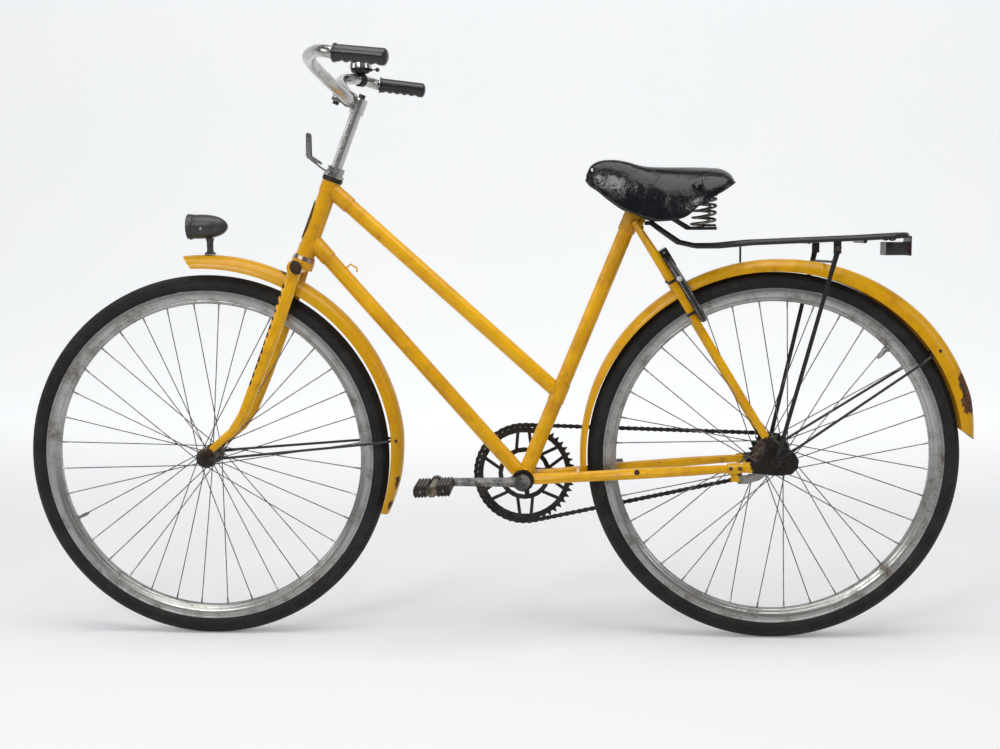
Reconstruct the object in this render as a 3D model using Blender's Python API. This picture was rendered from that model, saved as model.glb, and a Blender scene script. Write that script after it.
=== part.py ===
"""A ladies' roadster bicycle, built piece by piece at its real size.

Metres, +Z up. The origin lies on the floor straight below the rear axle. +X points backwards along the
bicycle, so the front wheel is at -X, and +Y is the rider's right, where the chain runs.
"""

import math

import bmesh
import bpy
from mathutils import Matrix, Quaternion, Vector

# Air left between two pieces that touch, and the depth by which shapes of one piece run into each other
GAP = 0.0003
LAP = 0.0012
MERGE = 0.000003
BORE_TURN = 0.13

# Wheels
WHEELBASE = 1.100
WHEEL_RADIUS = 0.356
WHEEL_FACETS = 36
TREAD_HALF_WIDTH = 0.008
TYRE_HALF_WIDTH = 0.0187
TYRE_SIDE_HEIGHT = 0.0125
RIM_RADIUS = 0.3259
RIM_HEIGHT = 0.0184
RIM_HALF_WIDTH = 0.0137
RIM_WELL_DEPTH = 0.0074
RIM_WALL = 0.0035
SPOKES = 36
SPOKE_CROSSES = 3
SPOKE_RADIUS = 0.0010
SPOKE_OFFSET = 0.0007
SPOKE_DEPTH = 0.0045

# Frame layout
BRACKET_HEIGHT = 0.314
HEAD_ANGLE = math.radians(69.0)
SEAT_ANGLE = math.radians(67.4)
FORK_RAKE = 0.044
HEAD_TUBE_START = 0.4365
HEAD_TUBE_LENGTH = 0.153
TOP_TUBE_PLACE = 0.577
DOWN_TUBE_PLACE = 0.472
SEAT_TUBE_LENGTH = 0.552
TOP_TUBE_REACH = 0.180

# Frame tubes
TUBE_SIDES = 14
HEAD_TUBE_RADIUS = 0.0170
HEAD_TUBE_BORE = 0.0146
MAIN_TUBE_RADIUS = 0.0147
LUG_WALL = 0.0016
LUG_LENGTH = 0.052
LUG_START = 0.009
SEAT_TUBE_RADIUS = 0.0150
SHELL_RADIUS = 0.0205
SHELL_HALF_WIDTH = 0.0350
SHELL_BORE = 0.0172
CHAINSTAY_RADIUS = 0.0105
CHAINSTAY_END_RADIUS = 0.0080
SEATSTAY_RADIUS = 0.0078
DROPOUT_INSIDE = 0.0550
DROPOUT_THICKNESS = 0.0050

# Fork and headset, measured along the steering axis from the foot of the front axle on it
CROWN_PLACE = 0.412
CROWN_RADIUS = 0.0137
CROWN_HALF_WIDTH = 0.0490
BLADE_HALF_SPREAD = 0.0390
BLADE_DEPTH = 0.0138
BLADE_HALF_THICKNESS = 0.0090
FORK_END_INSIDE = 0.0480
FORK_END_THICKNESS = 0.0045
STEERER_RADIUS = 0.0127
STEERER_BORE = 0.0114
CUP_RADIUS = 0.0200
CUP_HEIGHT = 0.0080
RACE_HEIGHT = 0.0055
LOCKNUT_HEIGHT = 0.0105

# Stem and handlebar
QUILL_RADIUS = 0.0110
STEM_PLACE = 0.748
STEM_REACH = 0.020
BAR_RADIUS = 0.0111
BAR_SIDES = 8
BAR_CLAMP_WALL = 0.0045
BAR_CLAMP_HALF_WIDTH = 0.0150
GRIP_LENGTH = 0.100
GRIP_RADIUS = 0.0150

# Axles and hubs
AXLE_RADIUS = 0.0046
NUT_RADIUS = 0.0100
NUT_HEIGHT = 0.0080
FRONT_FLANGE_RADIUS = 0.0200
FRONT_FLANGE_PLACE = 0.0340
FRONT_BARREL_RADIUS = 0.0110
REAR_FLANGE_RADIUS = 0.0330
REAR_FLANGE_PLACE = 0.0300
REAR_BARREL_RADIUS = 0.0240
FLANGE_HALF_THICKNESS = 0.0019
HUB_BORE = 0.0075

# Chain drive
PITCH = 0.0127
RING_TEETH = 48
SPROCKET_TEETH = 19
CHAIN_LINKS = 110
CHAIN_LINE = 0.0440
TOOTH_HEIGHT = 0.0036
TOOTH_ROOT = 0.0047
TOOTH_HALF_BASE = 0.34
RING_HALF_THICKNESS = 0.0012
PLATE_INSIDE = 0.0016
PLATE_OUTSIDE = 0.0032
PLATE_HALF_HEIGHT = 0.0043
ROLLER_HALF_WIDTH = 0.0029

# Cranks and pedals
CRANK_LENGTH = 0.165
CRANK_BOSS_RADIUS = 0.0148
CRANK_INSIDE = 0.0500
CRANK_THICKNESS = 0.0130
SPINDLE_RADIUS = 0.0078
PEDAL_SPINDLE_RADIUS = 0.0055
PEDAL_LENGTH = 0.0900
PEDAL_TILT = math.radians(3.0)

# Mudguards
GUARD_SHEET = 0.0012
GUARD_SHOULDER = 0.62
STAY_RADIUS = 0.0027

# Saddle and seat post
POST_RADIUS = 0.0127
POST_INSERTION = 0.100
POST_TOP = 0.032
COIL_TURNS = 5
COIL_RADIUS = 0.0165
COIL_WIRE = 0.0022
COIL_POINTS = 8

# Rack, lock and lamp
RACK_TUBE_RADIUS = 0.0052
RACK_HALF_WIDTH = 0.0550
LOCK_RADIUS = 0.0740
LOCK_WIRE = 0.0042
LAMP_RADIUS = 0.0245
LAMP_LENGTH = 0.0780

# Smaller sizes of the frame
TUBE_WALL = 0.0017
COLLAR_WALL = 0.0013
LUG_RING_HEIGHT = 0.0220
SEAT_BORE = 0.0131
SEAT_LUG_HEIGHT = 0.0360
SEAT_LUG_RADIUS = 0.0172
EAR_HEIGHT = 0.0220
EAR_REACH = 0.0090
EAR_WIDTH = 0.0180
SEAT_BOLT_RADIUS = 0.0050
SEAT_BOLT_HEAD = 0.0040
PEG_PLACE = 0.0870
PEG_HEIGHT = 0.0140
PEG_RADIUS = 0.0020
BRIDGE_RADIUS = 0.0050
STAY_END_HALF = 0.0021
STAY_BOLT_RADIUS = 0.0055
STAY_BOLT_LENGTH = 0.0060
STAY_EYE_THICKNESS = 0.0024

# Smaller sizes of the headset, stem and bell
CUP_BORE = 0.0134
CUP_DEPTH = 0.0080
CUP_FLARE = 0.0025
LOCKNUT_RADIUS = 0.0168
STRIP_THICKNESS = 0.0030
STRIP_WIDTH = 0.0120
LAMP_BRACKET_ELBOW = Vector((-0.8938, 0.0, 0.9380))
LAMP_BRACKET_TIP = Vector((-0.8928, 0.0, 0.9818))
CROWN_AHEAD = 0.0050
QUILL_FOOT = 0.6000
EXPANDER_RADIUS = 0.0034
WEDGE_HEIGHT = 0.0160
EAR_OUT = 0.0200
CLAMP_EAR_HEIGHT = 0.0160
CLAMP_EAR_WIDTH = 0.0160
CLAMP_BOLT_RADIUS = 0.0032
BELL_SIDE = 0.2500
BELL_RADIUS = 0.0230
BELL_FOOT_HEIGHT = 0.0110
BELL_DOME_HEIGHT = 0.0210
BELL_SHEET = 0.0014
BELL_KNOB_RADIUS = 0.0048

# Smaller sizes of the wheels and the drive
RIM_BED_HALF_WIDTH = 0.0070
SPOKE_RIM_OFFSET = 0.0016
REAR_HUB_LEFT_END = 0.0500
REAR_HUB_RIGHT_END = 0.0370
FRONT_SPOKE_PHASE = 5.0
REAR_SPOKE_PHASE = 5.2
CONE_HUB_RADIUS = 0.0069
COLLAR_RADIUS = 0.0085
AXLE_END = 0.0035
BRAKE_ARM_THICKNESS = 0.0024
RING_PAIRS = 6
RING_PAIR_PHASE = 31.0
RING_PAIR_OUTER = 8.0
RING_PAIR_INNER = 16.5
SPIDER_ARMS = 5
SPIDER_PHASE = 61.0
RING_WINDOW_OUTER = 0.0820
RING_WINDOW_INNER = 0.0520
RING_ARM_HALF = 0.0034
RING_SPIDER_OUTER = 0.0430
RING_SPIDER_INNER = 0.0190
RING_SPIDER_HALF = 0.0050
SPINDLE_HALF_LENGTH = 0.0590
CUP_FLANGE_RADIUS = 0.0215
CUP_FLANGE_END = 0.0410
PEDAL_SPINDLE_LENGTH = 0.0880
PEDAL_GAP = 0.0040
PEDAL_BLOCK_PLACE = 0.0215
PEDAL_BLOCK_WIDTH = 0.0240
PEDAL_BLOCK_HEIGHT = 0.0220

# Mudguard rows: angle round the hub in degrees, crown radius, edge radius, half width
FRONT_GUARD_ROWS = ((96.0, 0.3955, 0.3695, 0.0270), (80.0, 0.3955, 0.3680, 0.0280),
                    (60.0, 0.3930, 0.3655, 0.0280),
                    (8.0, 0.3890, 0.3650, 0.0280), (-6.0, 0.3820, 0.3600, 0.0270),
                    (-18.0, 0.3714, 0.3578, 0.0250))
FRONT_GUARD_STEPS = 15
REAR_GUARD_ROWS = ((5.0, 0.3840, 0.3580, 0.0250), (17.0, 0.3930, 0.3585, 0.0265),
                   (42.0, 0.3925, 0.3580, 0.0270),
                   (88.0, 0.3807, 0.3570, 0.0260), (140.0, 0.3760, 0.3580, 0.0255),
                   (165.0, 0.3720, 0.3585, 0.0220),
                   (186.5, 0.3700, 0.3585, 0.0180))
REAR_GUARD_STEPS = 22
GUARD_BRIDGE_RADIUS = 0.3753
GUARD_BRIDGE_HIGH = 0.3838

# Smaller sizes of the lamp, rack, lock and saddle
LAMP_LENS_DEPTH = 0.0050
LAMP_FOOT_ANGLE = 88.4
RACK_FOOT_X = -0.0645
RACK_LUG_X = 0.0980
RACK_LUG_SKEW = 0.0110
RACK_WIRE_RADIUS = 0.0035
RACK_REAR_X = 0.2512
RACK_PLATE = 0.0025
LOCK_HALF_DEPTH = 0.0070
LOCK_LOWEST = 270.0
LOCK_HALF_GAP = 27.0
LOCK_SHACKLE_ARC = 96.0
LOCK_CASE_WIDTH = 0.0560
LOCK_CASE_HEIGHT = 0.0380
LOCK_CASE_DEPTH = 0.0165
SADDLE_STEPS = 7
SADDLE_THICKNESS = 0.0045
SADDLE_PIVOT_X = -0.3230
SADDLE_NOSE_RADIUS = 0.0050
SADDLE_NOSE_HALF = 0.0070
SADDLE_NOSE_DROP = 0.0022
CANTLE_SHARE = 0.44
CANTLE_SHEET = 0.0030
CANTLE_ARCH = 0.0230
SPRING_FOOT = 0.7990
SPRING_X = -0.1330
SPRING_SIDE = 0.0550
SPRING_HEIGHT = 0.0560

# Outlines of flat pieces, as x and z from the rear axle's foot or from the hub
DROPOUT_OUTLINE = [(-0.062, 0.334), (0.010, 0.328), (0.030, 0.331), (0.041, 0.342), (0.043, 0.357),
                   (0.036, 0.371), (0.022, 0.379), (0.006, 0.381), (0.000, 0.391), (-0.009, 0.395),
                   (-0.019, 0.389), (-0.023, 0.368), (-0.034, 0.355), (-0.062, 0.352)]
BRAKE_ARM_OUTLINE = [(-0.0100, -0.0230), (0.0060, -0.0240), (0.0190, -0.0160), (0.0250, -0.0020),
                     (0.0210, 0.0130), (0.0090, 0.0230), (-0.0060, 0.0240), (-0.0180, 0.0160),
                     (-0.0230, 0.0020), (-0.0260, -0.0110), (-0.0440, -0.0270), (-0.0700, -0.0320),
                     (-0.0745, -0.0380), (-0.0700, -0.0450), (-0.0540, -0.0450), (-0.0300, -0.0380)]
PEDAL_PLATE_OUTLINE = [(-0.0345, -0.0060), (-0.0300, -0.0095), (0.0300, -0.0095), (0.0345, -0.0060),
                       (0.0345, 0.0060), (0.0300, 0.0095), (-0.0300, 0.0095), (-0.0345, 0.0060)]
PEDAL_PLATE_THICKNESS = 0.0030

# Middle lines of bent pieces: x, distance from the bicycle's middle, z
CHAINSTAY_PLACES = [(-0.425, 0.0275, 0.3165), (-0.350, 0.0335, 0.3220), (-0.263, 0.0440, 0.3285),
                    (-0.160, 0.0545, 0.3360)]
CHAINSTAY_START = (0.012, 0.0235)
CHAINSTAY_END = [(-0.095, 0.3405), (-0.050, 0.3430)]
CHAINSTAY_FLAT = 0.0015
SEATSTAY_PLACES = [(-0.2665, 0.0205, 0.8085), (-0.2300, 0.0345, 0.7520), (-0.1830, 0.0440, 0.6740),
                   (-0.1000, 0.0530, 0.5355), (-0.0350, 0.0615, 0.4270)]
SEATSTAY_END = [(-0.0180, 0.3985), (-0.0090, 0.3830)]
SEATSTAY_PRESSED = 0.0045
STAY_BOLT_SHIFT = Vector((-0.002, 0.0, 0.003))
CHAINSTAY_BRIDGE_ANGLE = 184.7
CHAINSTAY_BRIDGE_HALF = 0.0270
SEATSTAY_BRIDGE_ANGLE = 120.2
SEATSTAY_BRIDGE_HALF = 0.0400
BAR_BEND_START = (0.001, 0.0300)
BAR_PLACES = [(-0.8390, 0.0900, 1.0770), (-0.8520, 0.1550, 1.0960), (-0.8500, 0.2000, 1.1050),
              (-0.8300, 0.2380, 1.1085), (-0.8110, 0.2660, 1.1055)]
GRIP_START = (-0.7950, 0.2790, 1.1010)
GRIP_WAY = (0.1010, 0.0180, -0.0120)
RACK_PLACES = [(-0.2330, 0.0120, 0.8065), (-0.2150, 0.0190, 0.7930), (-0.1820, 0.0330, 0.7700),
               (-0.1500, 0.0430, 0.7625), (-0.1100, 0.0520, 0.7625), (-0.0480, RACK_HALF_WIDTH, 0.7680),
               (0.0580, RACK_HALF_WIDTH, 0.7720), (0.1610, RACK_HALF_WIDTH, 0.7755),
               (0.2150, 0.0520, 0.7785), (0.2380, 0.0360, 0.7800), (0.2455, 0.0150, 0.7805)]

# Fork blade rows: place along the steering axis, reach ahead of it, half depth, half thickness
BLADE_ROWS = [(0.4090, 0.0034, BLADE_DEPTH, BLADE_HALF_THICKNESS),
              (0.3150, 0.000, BLADE_DEPTH, BLADE_HALF_THICKNESS), (0.1870, 0.000, 0.0118, 0.0082),
              (0.1100, 0.002, 0.0100, 0.0076), (0.0700, 0.0110, 0.0088, 0.0066),
              (0.0380, 0.0290, 0.0076, 0.0042), (0.0200, 0.0385, 0.0070, 0.0021),
              (0.0060, 0.0425, 0.0070, 0.0020)]
BLADE_SPREADS = [BLADE_HALF_SPREAD, BLADE_HALF_SPREAD, 0.0420, 0.0440, 0.0452, 0.0478]

# Smaller sizes of the grips, the bell and the lamp
GRIP_FLANGE_START = 0.004
GRIP_FLANGE_END = 0.008
GRIP_FLANGE = 0.0015
GRIP_GROOVE = 0.0016
GRIP_ROUNDING = 0.006
GRIP_WAVES = 6
BAR_END_SHORT = 0.008
BELL_STRAP = 0.0014
BELL_POST_RADIUS = 0.0030
BELL_BAND_WALL = 0.0022
BELL_BAND_HALF = 0.0065
BELL_LEVER_WAY = Vector((0.95, -0.31, 0.0))
BELL_LEVER_GAP = 0.0010
BELL_LEVER_RISE = 0.0040
BELL_KNUCKLE = (0.0030, 0.0060)
BELL_ARM = (0.0110, 0.0026, 0.0030)
BELL_KNOB_REACH = 0.0145
LAMP_FRONT = Vector((-1.1310, 0.0, 0.8060))
LAMP_BEZEL = 0.0020
LAMP_BASE = (0.0110, 0.0040)
LAMP_STAND_RADIUS = 0.0062
LAMP_STAND_SINK = 0.006

# Smaller sizes of the mudguard stays, the rack and the reflector
FRONT_STAY_ANGLE = 5.0
REAR_STAY_ANGLE = 33.5
FRONT_STAY_TURN = 0.353
REAR_STAY_TURN = 0.346
STAY_EYE_RADIUS = 0.0125
STAY_FLAT_WIDTH = 0.0036
STAY_STARTS = [(0.0105, 0.0), (0.0300, 0.0), (0.0520, 0.002)]
STAY_BEND = 0.014
GUARD_FOLD = 0.80
RACK_BARS = [(RACK_FOOT_X, 0.7675), (0.0580, 0.7700), (0.1610, 0.7705)]
RACK_BAR_DROP = 0.0015
RACK_FRONT = Vector((-0.2372, 0.0, 0.8065))
RACK_FRONT_SIZE = (0.0184, 0.008, 0.026)
RACK_REAR_Z = 0.7602
RACK_REAR_SIZE = (0.060, 0.037)
RACK_FOOT_ANGLE = 99.7
RACK_FOOT_TOP = 0.7670
RACK_FOOT_SIZE = (0.012, 0.003)
RACK_LUG_Z = 0.7600
RACK_LUG_SIZE = (0.014, 0.026, 0.004)
RACK_STAY_TOP = 0.7530
RACK_STAY_SIZES = [(0.0050, 0.0009), (0.0042, 0.0024), (0.0042, 0.0024), (0.0060, 0.0018)]
RACK_STAY_BEND = 0.060
RACK_STAY_BACK = 0.001
RACK_STAY_WIRE = 0.0024
REFLECTOR_Z = 0.7550
REFLECTOR_SIZE = (0.0440, 0.0250, 0.0500)
CLIP_HINGE = Vector((0.2150, 0.0, 0.7765))
CLIP_ARM = 0.0400
CLIP_REACH = 0.1500
CLIP_DROP = 0.0018
CLIP_BEND = 0.010
CLIP_WIRE = 0.0022
CLIP_END_GAP = 0.0055

# Smaller sizes of the lock, the brake clip and the saddle
LOCK_RING_HALF = 0.0078
LOCK_CHANNEL_GAP = 0.0011
LOCK_CHANNEL_LEAD = 6.0
LOCK_CHANNEL_END = 18.0
LOCK_CASE_SINK = 0.18
BRAKE_CLIP_MIDDLE = (-0.0780, 0.3416)
BRAKE_CLIP_WAY = Vector((0.045, 0.0, 0.0025))
BRAKE_CLIP_WALL = 0.0018
BRAKE_CLIP_HALF = 0.013
BRAKE_TAB_PLACE = (0.002, 0.0033, 0.0085)
BRAKE_TAB_SIZE = (0.016, 0.018, 0.0022)
# Saddle sections: x, crown height, half width, height of the skirt's lower edge
SADDLE_SECTIONS = [(-0.3580, 0.8990, 0.0130, 0.8890), (-0.3500, 0.9150, 0.0230, 0.8790),
                   (-0.3350, 0.9240, 0.0290, 0.8690), (-0.3130, 0.9270, 0.0350, 0.8510),
                   (-0.2850, 0.9240, 0.0450, 0.8320), (-0.2500, 0.9150, 0.0640, 0.8170),
                   (-0.2180, 0.9130, 0.0820, 0.8105), (-0.1780, 0.9130, 0.0990, 0.8170),
                   (-0.1500, 0.9125, 0.1050, 0.8400), (-0.1260, 0.9115, 0.1040, 0.8540),
                   (-0.1050, 0.9085, 0.0970, 0.8660), (-0.0900, 0.9000, 0.0850, 0.8760),
                   (-0.0840, 0.8900, 0.0740, 0.8800)]
COIL_WAIST = 0.22
SADDLE_WIRE = 0.0036
SADDLE_CLAMP_WALL = 0.0060
SADDLE_CLAMP_START = 0.008
SADDLE_CLAMP_SHORT = 0.004
SADDLE_BOLT_PLACE = 0.020
SADDLE_BOLT = (0.0065, 0.0300)
SADDLE_NOSE_LOW = 0.8850
SADDLE_NOSE_SIZE = (0.0070, 0.0110)
SADDLE_WIRE_START = [(SADDLE_PIVOT_X, 0.0060, 0.8900), (-0.3020, 0.0140, 0.8740)]
SADDLE_WIRE_AT_BOLT = 0.0240
SADDLE_WIRE_REAR = (-0.2050, 0.0300, 0.8220)
SADDLE_WIRE_FOOT = [(0.030, 0.0080), (0.004, 0.002)]
SADDLE_WIRE_DROP = 0.0030
SPRING_SEAT = 0.0062
SADDLE_CROSS = Vector((0.0060, 0.0, -0.0033))
SADDLE_CROSS_RADIUS = 0.0025

SHARP = math.radians(40.0)
X_AXIS = Vector((1.0, 0.0, 0.0))
Y_AXIS = Vector((0.0, 1.0, 0.0))
Z_AXIS = Vector((0.0, 0.0, 1.0))
LEFT = -1
RIGHT = 1
SIDE_NAMES = {LEFT: "left", RIGHT: "right"}


def pitch_radius(teeth):
    """The circle on which the chain's pins lie round a toothed wheel."""
    return PITCH / (2 * math.sin(math.pi / teeth))


def chain_reach():
    """The distance between the two toothed wheels' centres that this many links span."""
    wrapped = (RING_TEETH + SPROCKET_TEETH) / 2
    spread = ((RING_TEETH - SPROCKET_TEETH) / math.tau) ** 2
    reach = (CHAIN_LINKS - wrapped) / 2
    for _ in range(8):
        reach = (CHAIN_LINKS - wrapped - spread / reach) / 2
    return reach * PITCH


# Places that the sizes give
BRACKET_AHEAD = math.sqrt(chain_reach() ** 2 - (WHEEL_RADIUS - BRACKET_HEIGHT) ** 2)
REAR_HUB = Vector((0.0, 0.0, WHEEL_RADIUS))
FRONT_HUB = Vector((-WHEELBASE, 0.0, WHEEL_RADIUS))
BRACKET = Vector((-BRACKET_AHEAD, 0.0, BRACKET_HEIGHT))
STEER_UP = Vector((math.cos(HEAD_ANGLE), 0.0, math.sin(HEAD_ANGLE)))
STEER_AHEAD = Vector((-math.sin(HEAD_ANGLE), 0.0, math.cos(HEAD_ANGLE)))
STEER_FOOT = FRONT_HUB - STEER_AHEAD * FORK_RAKE
SEAT_UP = Vector((math.cos(SEAT_ANGLE), 0.0, math.sin(SEAT_ANGLE)))


def clear_scene():
    """Takes everything out of the scene before the build."""
    for item in list(bpy.data.objects):
        bpy.data.objects.remove(item, do_unlink=True)


def finish(name, colour, roughness, metallic):
    """A Principled material of this name, made once."""
    made = bpy.data.materials.get(name)
    if made is None:
        made = bpy.data.materials.new(name)
        made.use_nodes = True
        shader = made.node_tree.nodes["Principled BSDF"]
        shader.inputs["Base Color"].default_value = (*colour, 1.0)
        shader.inputs["Roughness"].default_value = roughness
        shader.inputs["Metallic"].default_value = metallic
    return made


def yellow_paint():
    """Amber-yellow enamel of the frame, the fork and the mudguards."""
    return finish("yellow_paint", (0.83, 0.50, 0.02), 0.38, 0.0)


def chrome():
    """Bright plating."""
    return finish("chrome", (0.62, 0.62, 0.61), 0.22, 1.0)


def dull_steel():
    """Plain steel that has lost its shine."""
    return finish("dull_steel", (0.34, 0.32, 0.30), 0.48, 1.0)


def dark_steel():
    """Oiled steel of the chain and its wheels."""
    return finish("dark_steel", (0.10, 0.09, 0.08), 0.52, 0.8)


def black_paint():
    """Black enamel of the stays and the lock."""
    return finish("black_paint", (0.025, 0.026, 0.028), 0.42, 0.0)


def black_rubber():
    """Black rubber of the tyres, the grips and the pedals."""
    return finish("black_rubber", (0.028, 0.027, 0.027), 0.80, 0.0)


def black_leather():
    """Black cover of the saddle."""
    return finish("black_leather", (0.020, 0.021, 0.023), 0.30, 0.0)


def lamp_plastic():
    """Black plastic of the headlamp."""
    return finish("lamp_plastic", (0.055, 0.062, 0.062), 0.45, 0.0)


def clear_glass():
    """Clear glass of the headlamp."""
    return finish("clear_glass", (0.80, 0.84, 0.84), 0.08, 0.0)


def smoke_plastic():
    """Dark plastic of the reflector."""
    return finish("smoke_plastic", (0.09, 0.11, 0.11), 0.30, 0.0)


def steer(along, ahead=0.0, side=0.0):
    """A point given by its place along the steering axis, ahead of it and to the rider's right."""
    return STEER_FOOT + STEER_UP * along + STEER_AHEAD * ahead + Y_AXIS * side


def seat(along, side=0.0):
    """A point on the seat tube's axis, measured up from the bottom bracket."""
    return BRACKET + SEAT_UP * along + Y_AXIS * side


def polar(centre, radius, degrees, side=0.0):
    """A point round a hub in the bicycle's plane, 0 degrees backwards and 90 degrees up."""
    angle = math.radians(degrees)
    return centre + Vector((radius * math.cos(angle), side, radius * math.sin(angle)))


def across(direction):
    """A unit vector square to this direction, as near to +Y as can be."""
    seed = Y_AXIS if abs(direction.normalized().y) < 0.9 else Z_AXIS
    return (seed - direction * (seed.dot(direction) / direction.length_squared)).normalized()


def to_object(name, mesh, material=None):
    """An object of this mesh in the scene, smooth but for its sharp edges."""
    made = bpy.data.objects.new(name, mesh)
    bpy.context.scene.collection.objects.link(made)
    if material is not None:
        mesh.materials.clear()
        mesh.materials.append(material)
    mesh.shade_smooth()
    mesh.set_sharp_from_angle(angle=SHARP)
    return made


def from_bmesh(shape, name="shape"):
    """Closes a bmesh's work: merged points, faces turned outwards, a plain object."""
    bmesh.ops.remove_doubles(shape, verts=shape.verts, dist=MERGE)
    bmesh.ops.recalc_face_normals(shape, faces=shape.faces)
    mesh = bpy.data.meshes.new(name)
    shape.to_mesh(mesh)
    shape.free()
    return to_object(name, mesh)


def turned(centre, axis, profile, facets, start=None):
    """A turned solid: the closed profile of (radius, place along the axis) spun once round the axis."""
    axis = axis.normalized()
    out = across(axis) if start is None else start.normalized()
    shape = bmesh.new()
    corners = [shape.verts.new(centre + out * radius + axis * along) for radius, along in profile]
    edges = [shape.edges.new((a, b)) for a, b in zip(corners, corners[1:] + corners[:1])]
    on_axis = [abs(radius) < 1e-9 for radius, _ in profile]
    for number, edge in enumerate(list(edges)):
        if on_axis[number] and on_axis[(number + 1) % len(profile)]:
            shape.edges.remove(edge)
            edges.remove(edge)
    bmesh.ops.spin(shape, geom=corners + edges, cent=centre, axis=axis, dvec=(0, 0, 0),
                   angle=math.tau, steps=facets, use_merge=True)
    return from_bmesh(shape)


def rod(start, end, radius, sides=TUBE_SIDES, end_radius=None):
    """A round bar, or a cone, between two points."""
    way = end - start
    last = radius if end_radius is None else end_radius
    profile = [(0.0, 0.0), (radius, 0.0), (last, way.length), (0.0, way.length)]
    return turned(start, way, profile, sides)


def bore(start, end, radius, sides=TUBE_SIDES):
    """The round space of a bore or of a neighbour, no facet of it nearer to the axis than the radius."""
    way = end - start
    out = across(way)
    out.rotate(Quaternion(way, BORE_TURN))
    corner = radius / math.cos(math.pi / sides)
    profile = [(0.0, 0.0), (corner, 0.0), (corner, way.length), (0.0, way.length)]
    return turned(start, way, profile, sides, out)


def swept(points, sizes, sides, first_side=None):
    """A solid of oval sections along points: each size is a radius or a pair (in the bend, across it)."""
    shape = bmesh.new()
    rings = []
    facing = None
    for number, point in enumerate(points):
        before = points[max(number - 1, 0)]
        after = points[min(number + 1, len(points) - 1)]
        way = (after - before).normalized()
        if facing is None:
            facing = across(way) if first_side is None else first_side
        facing = (facing - way * facing.dot(way)).normalized()
        other = way.cross(facing)
        size = sizes[number] if isinstance(sizes, list) else sizes
        deep, wide = size if isinstance(size, tuple) else (size, size)
        ring = []
        for step in range(sides):
            turn = math.tau * (step + 0.5) / sides
            offset = other * (deep * math.cos(turn)) + facing * (wide * math.sin(turn))
            ring.append(shape.verts.new(point + offset))
        rings.append(ring)
    for one, two in zip(rings, rings[1:]):
        for step in range(sides):
            after = (step + 1) % sides
            shape.faces.new((one[step], one[after], two[after], two[step]))
    shape.faces.new(rings[0])
    shape.faces.new(rings[-1])
    return from_bmesh(shape)


def plate(outlines, origin, right, up, thickness):
    """A flat plate: the outer outline, then any holes, in (right, up) steps, thickened both ways."""
    normal = right.cross(up)
    shape = bmesh.new()
    edges = []
    for outline in outlines:
        corners = [shape.verts.new(origin + right * a + up * b - normal * (thickness / 2)) for a,
                   b in outline]
        edges += [shape.edges.new((a, b)) for a, b in zip(corners, corners[1:] + corners[:1])]
    bmesh.ops.triangle_fill(shape, use_beauty=True, use_dissolve=False, edges=edges, normal=normal)
    grown = bmesh.ops.extrude_face_region(shape, geom=list(shape.faces))
    moved = [item for item in grown["geom"] if isinstance(item, bmesh.types.BMVert)]
    bmesh.ops.translate(shape, verts=moved, vec=normal * thickness)
    return from_bmesh(shape)


def block(centre, right, up, size):
    """A box with its sides along right, up and their normal."""
    wide, high, deep = size
    outline = [(-wide / 2, -high / 2), (wide / 2, -high / 2), (wide / 2, high / 2), (-wide / 2, high / 2)]
    return plate([outline], centre, right, up, deep)


def circle(radius, sides, centre=(0.0, 0.0), phase=0.0):
    """An outline of a circle's corners."""
    return [(centre[0] + radius * math.cos(phase + math.tau * step / sides),
             centre[1] + radius * math.sin(phase + math.tau * step / sides)) for step in range(sides)]


def smooth_line(points, per_span):
    """Points on one smooth curve through the given ones."""
    padded = [points[0] * 2 - points[1]] + list(points) + [points[-1] * 2 - points[-2]]
    line = []
    for a, b, c, d in zip(padded, padded[1:], padded[2:], padded[3:]):
        for step in range(per_span):
            t = step / per_span
            line.append((b * 2 + (c - a) * t + (a * 2 - b * 5 + c * 4 - d) * t ** 2
                         + (b * 3 - a - c * 3 + d) * t ** 3) / 2)
    line.append(points[-1].copy())
    return line


def applied(host, helpers, operation):
    """The host with each helper joined to it or cut from it; the helpers are used up."""
    for helper in helpers:
        step = host.modifiers.new(operation.lower(), "BOOLEAN")
        step.operation = operation
        step.solver = "EXACT"
        step.object = helper
        graph = bpy.context.evaluated_depsgraph_get()
        mesh = bpy.data.meshes.new_from_object(host.evaluated_get(graph))
        host.modifiers.clear()
        host.data = tidied(mesh)
        bpy.data.objects.remove(helper, do_unlink=True)
    return host


def tidied(mesh):
    """The mesh without the hair-thin edges that a join or a cut leaves."""
    shape = bmesh.new()
    shape.from_mesh(mesh)
    bmesh.ops.remove_doubles(shape, verts=shape.verts, dist=MERGE)
    bmesh.ops.dissolve_degenerate(shape, edges=shape.edges, dist=MERGE)
    shape.to_mesh(mesh)
    shape.free()
    return mesh


def joined(host, *helpers):
    """Fuses the helpers into the host shape."""
    return applied(host, helpers, "UNION")


def cut(host, *helpers):
    """Takes the helpers' room out of the host shape."""
    return applied(host, helpers, "DIFFERENCE")


def piece(name, shape, material, joint=None):
    """Names a finished solid, gives it its material and hangs it on its joint's empty."""
    shape.name = name
    shape.data.name = name
    shape.data.materials.clear()
    shape.data.materials.append(material)
    shape.data.shade_smooth()
    shape.data.set_sharp_from_angle(angle=SHARP)
    if joint is not None:
        shape.parent = joint
        shape.matrix_parent_inverse = joint.matrix_world.inverted()
    return shape


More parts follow.
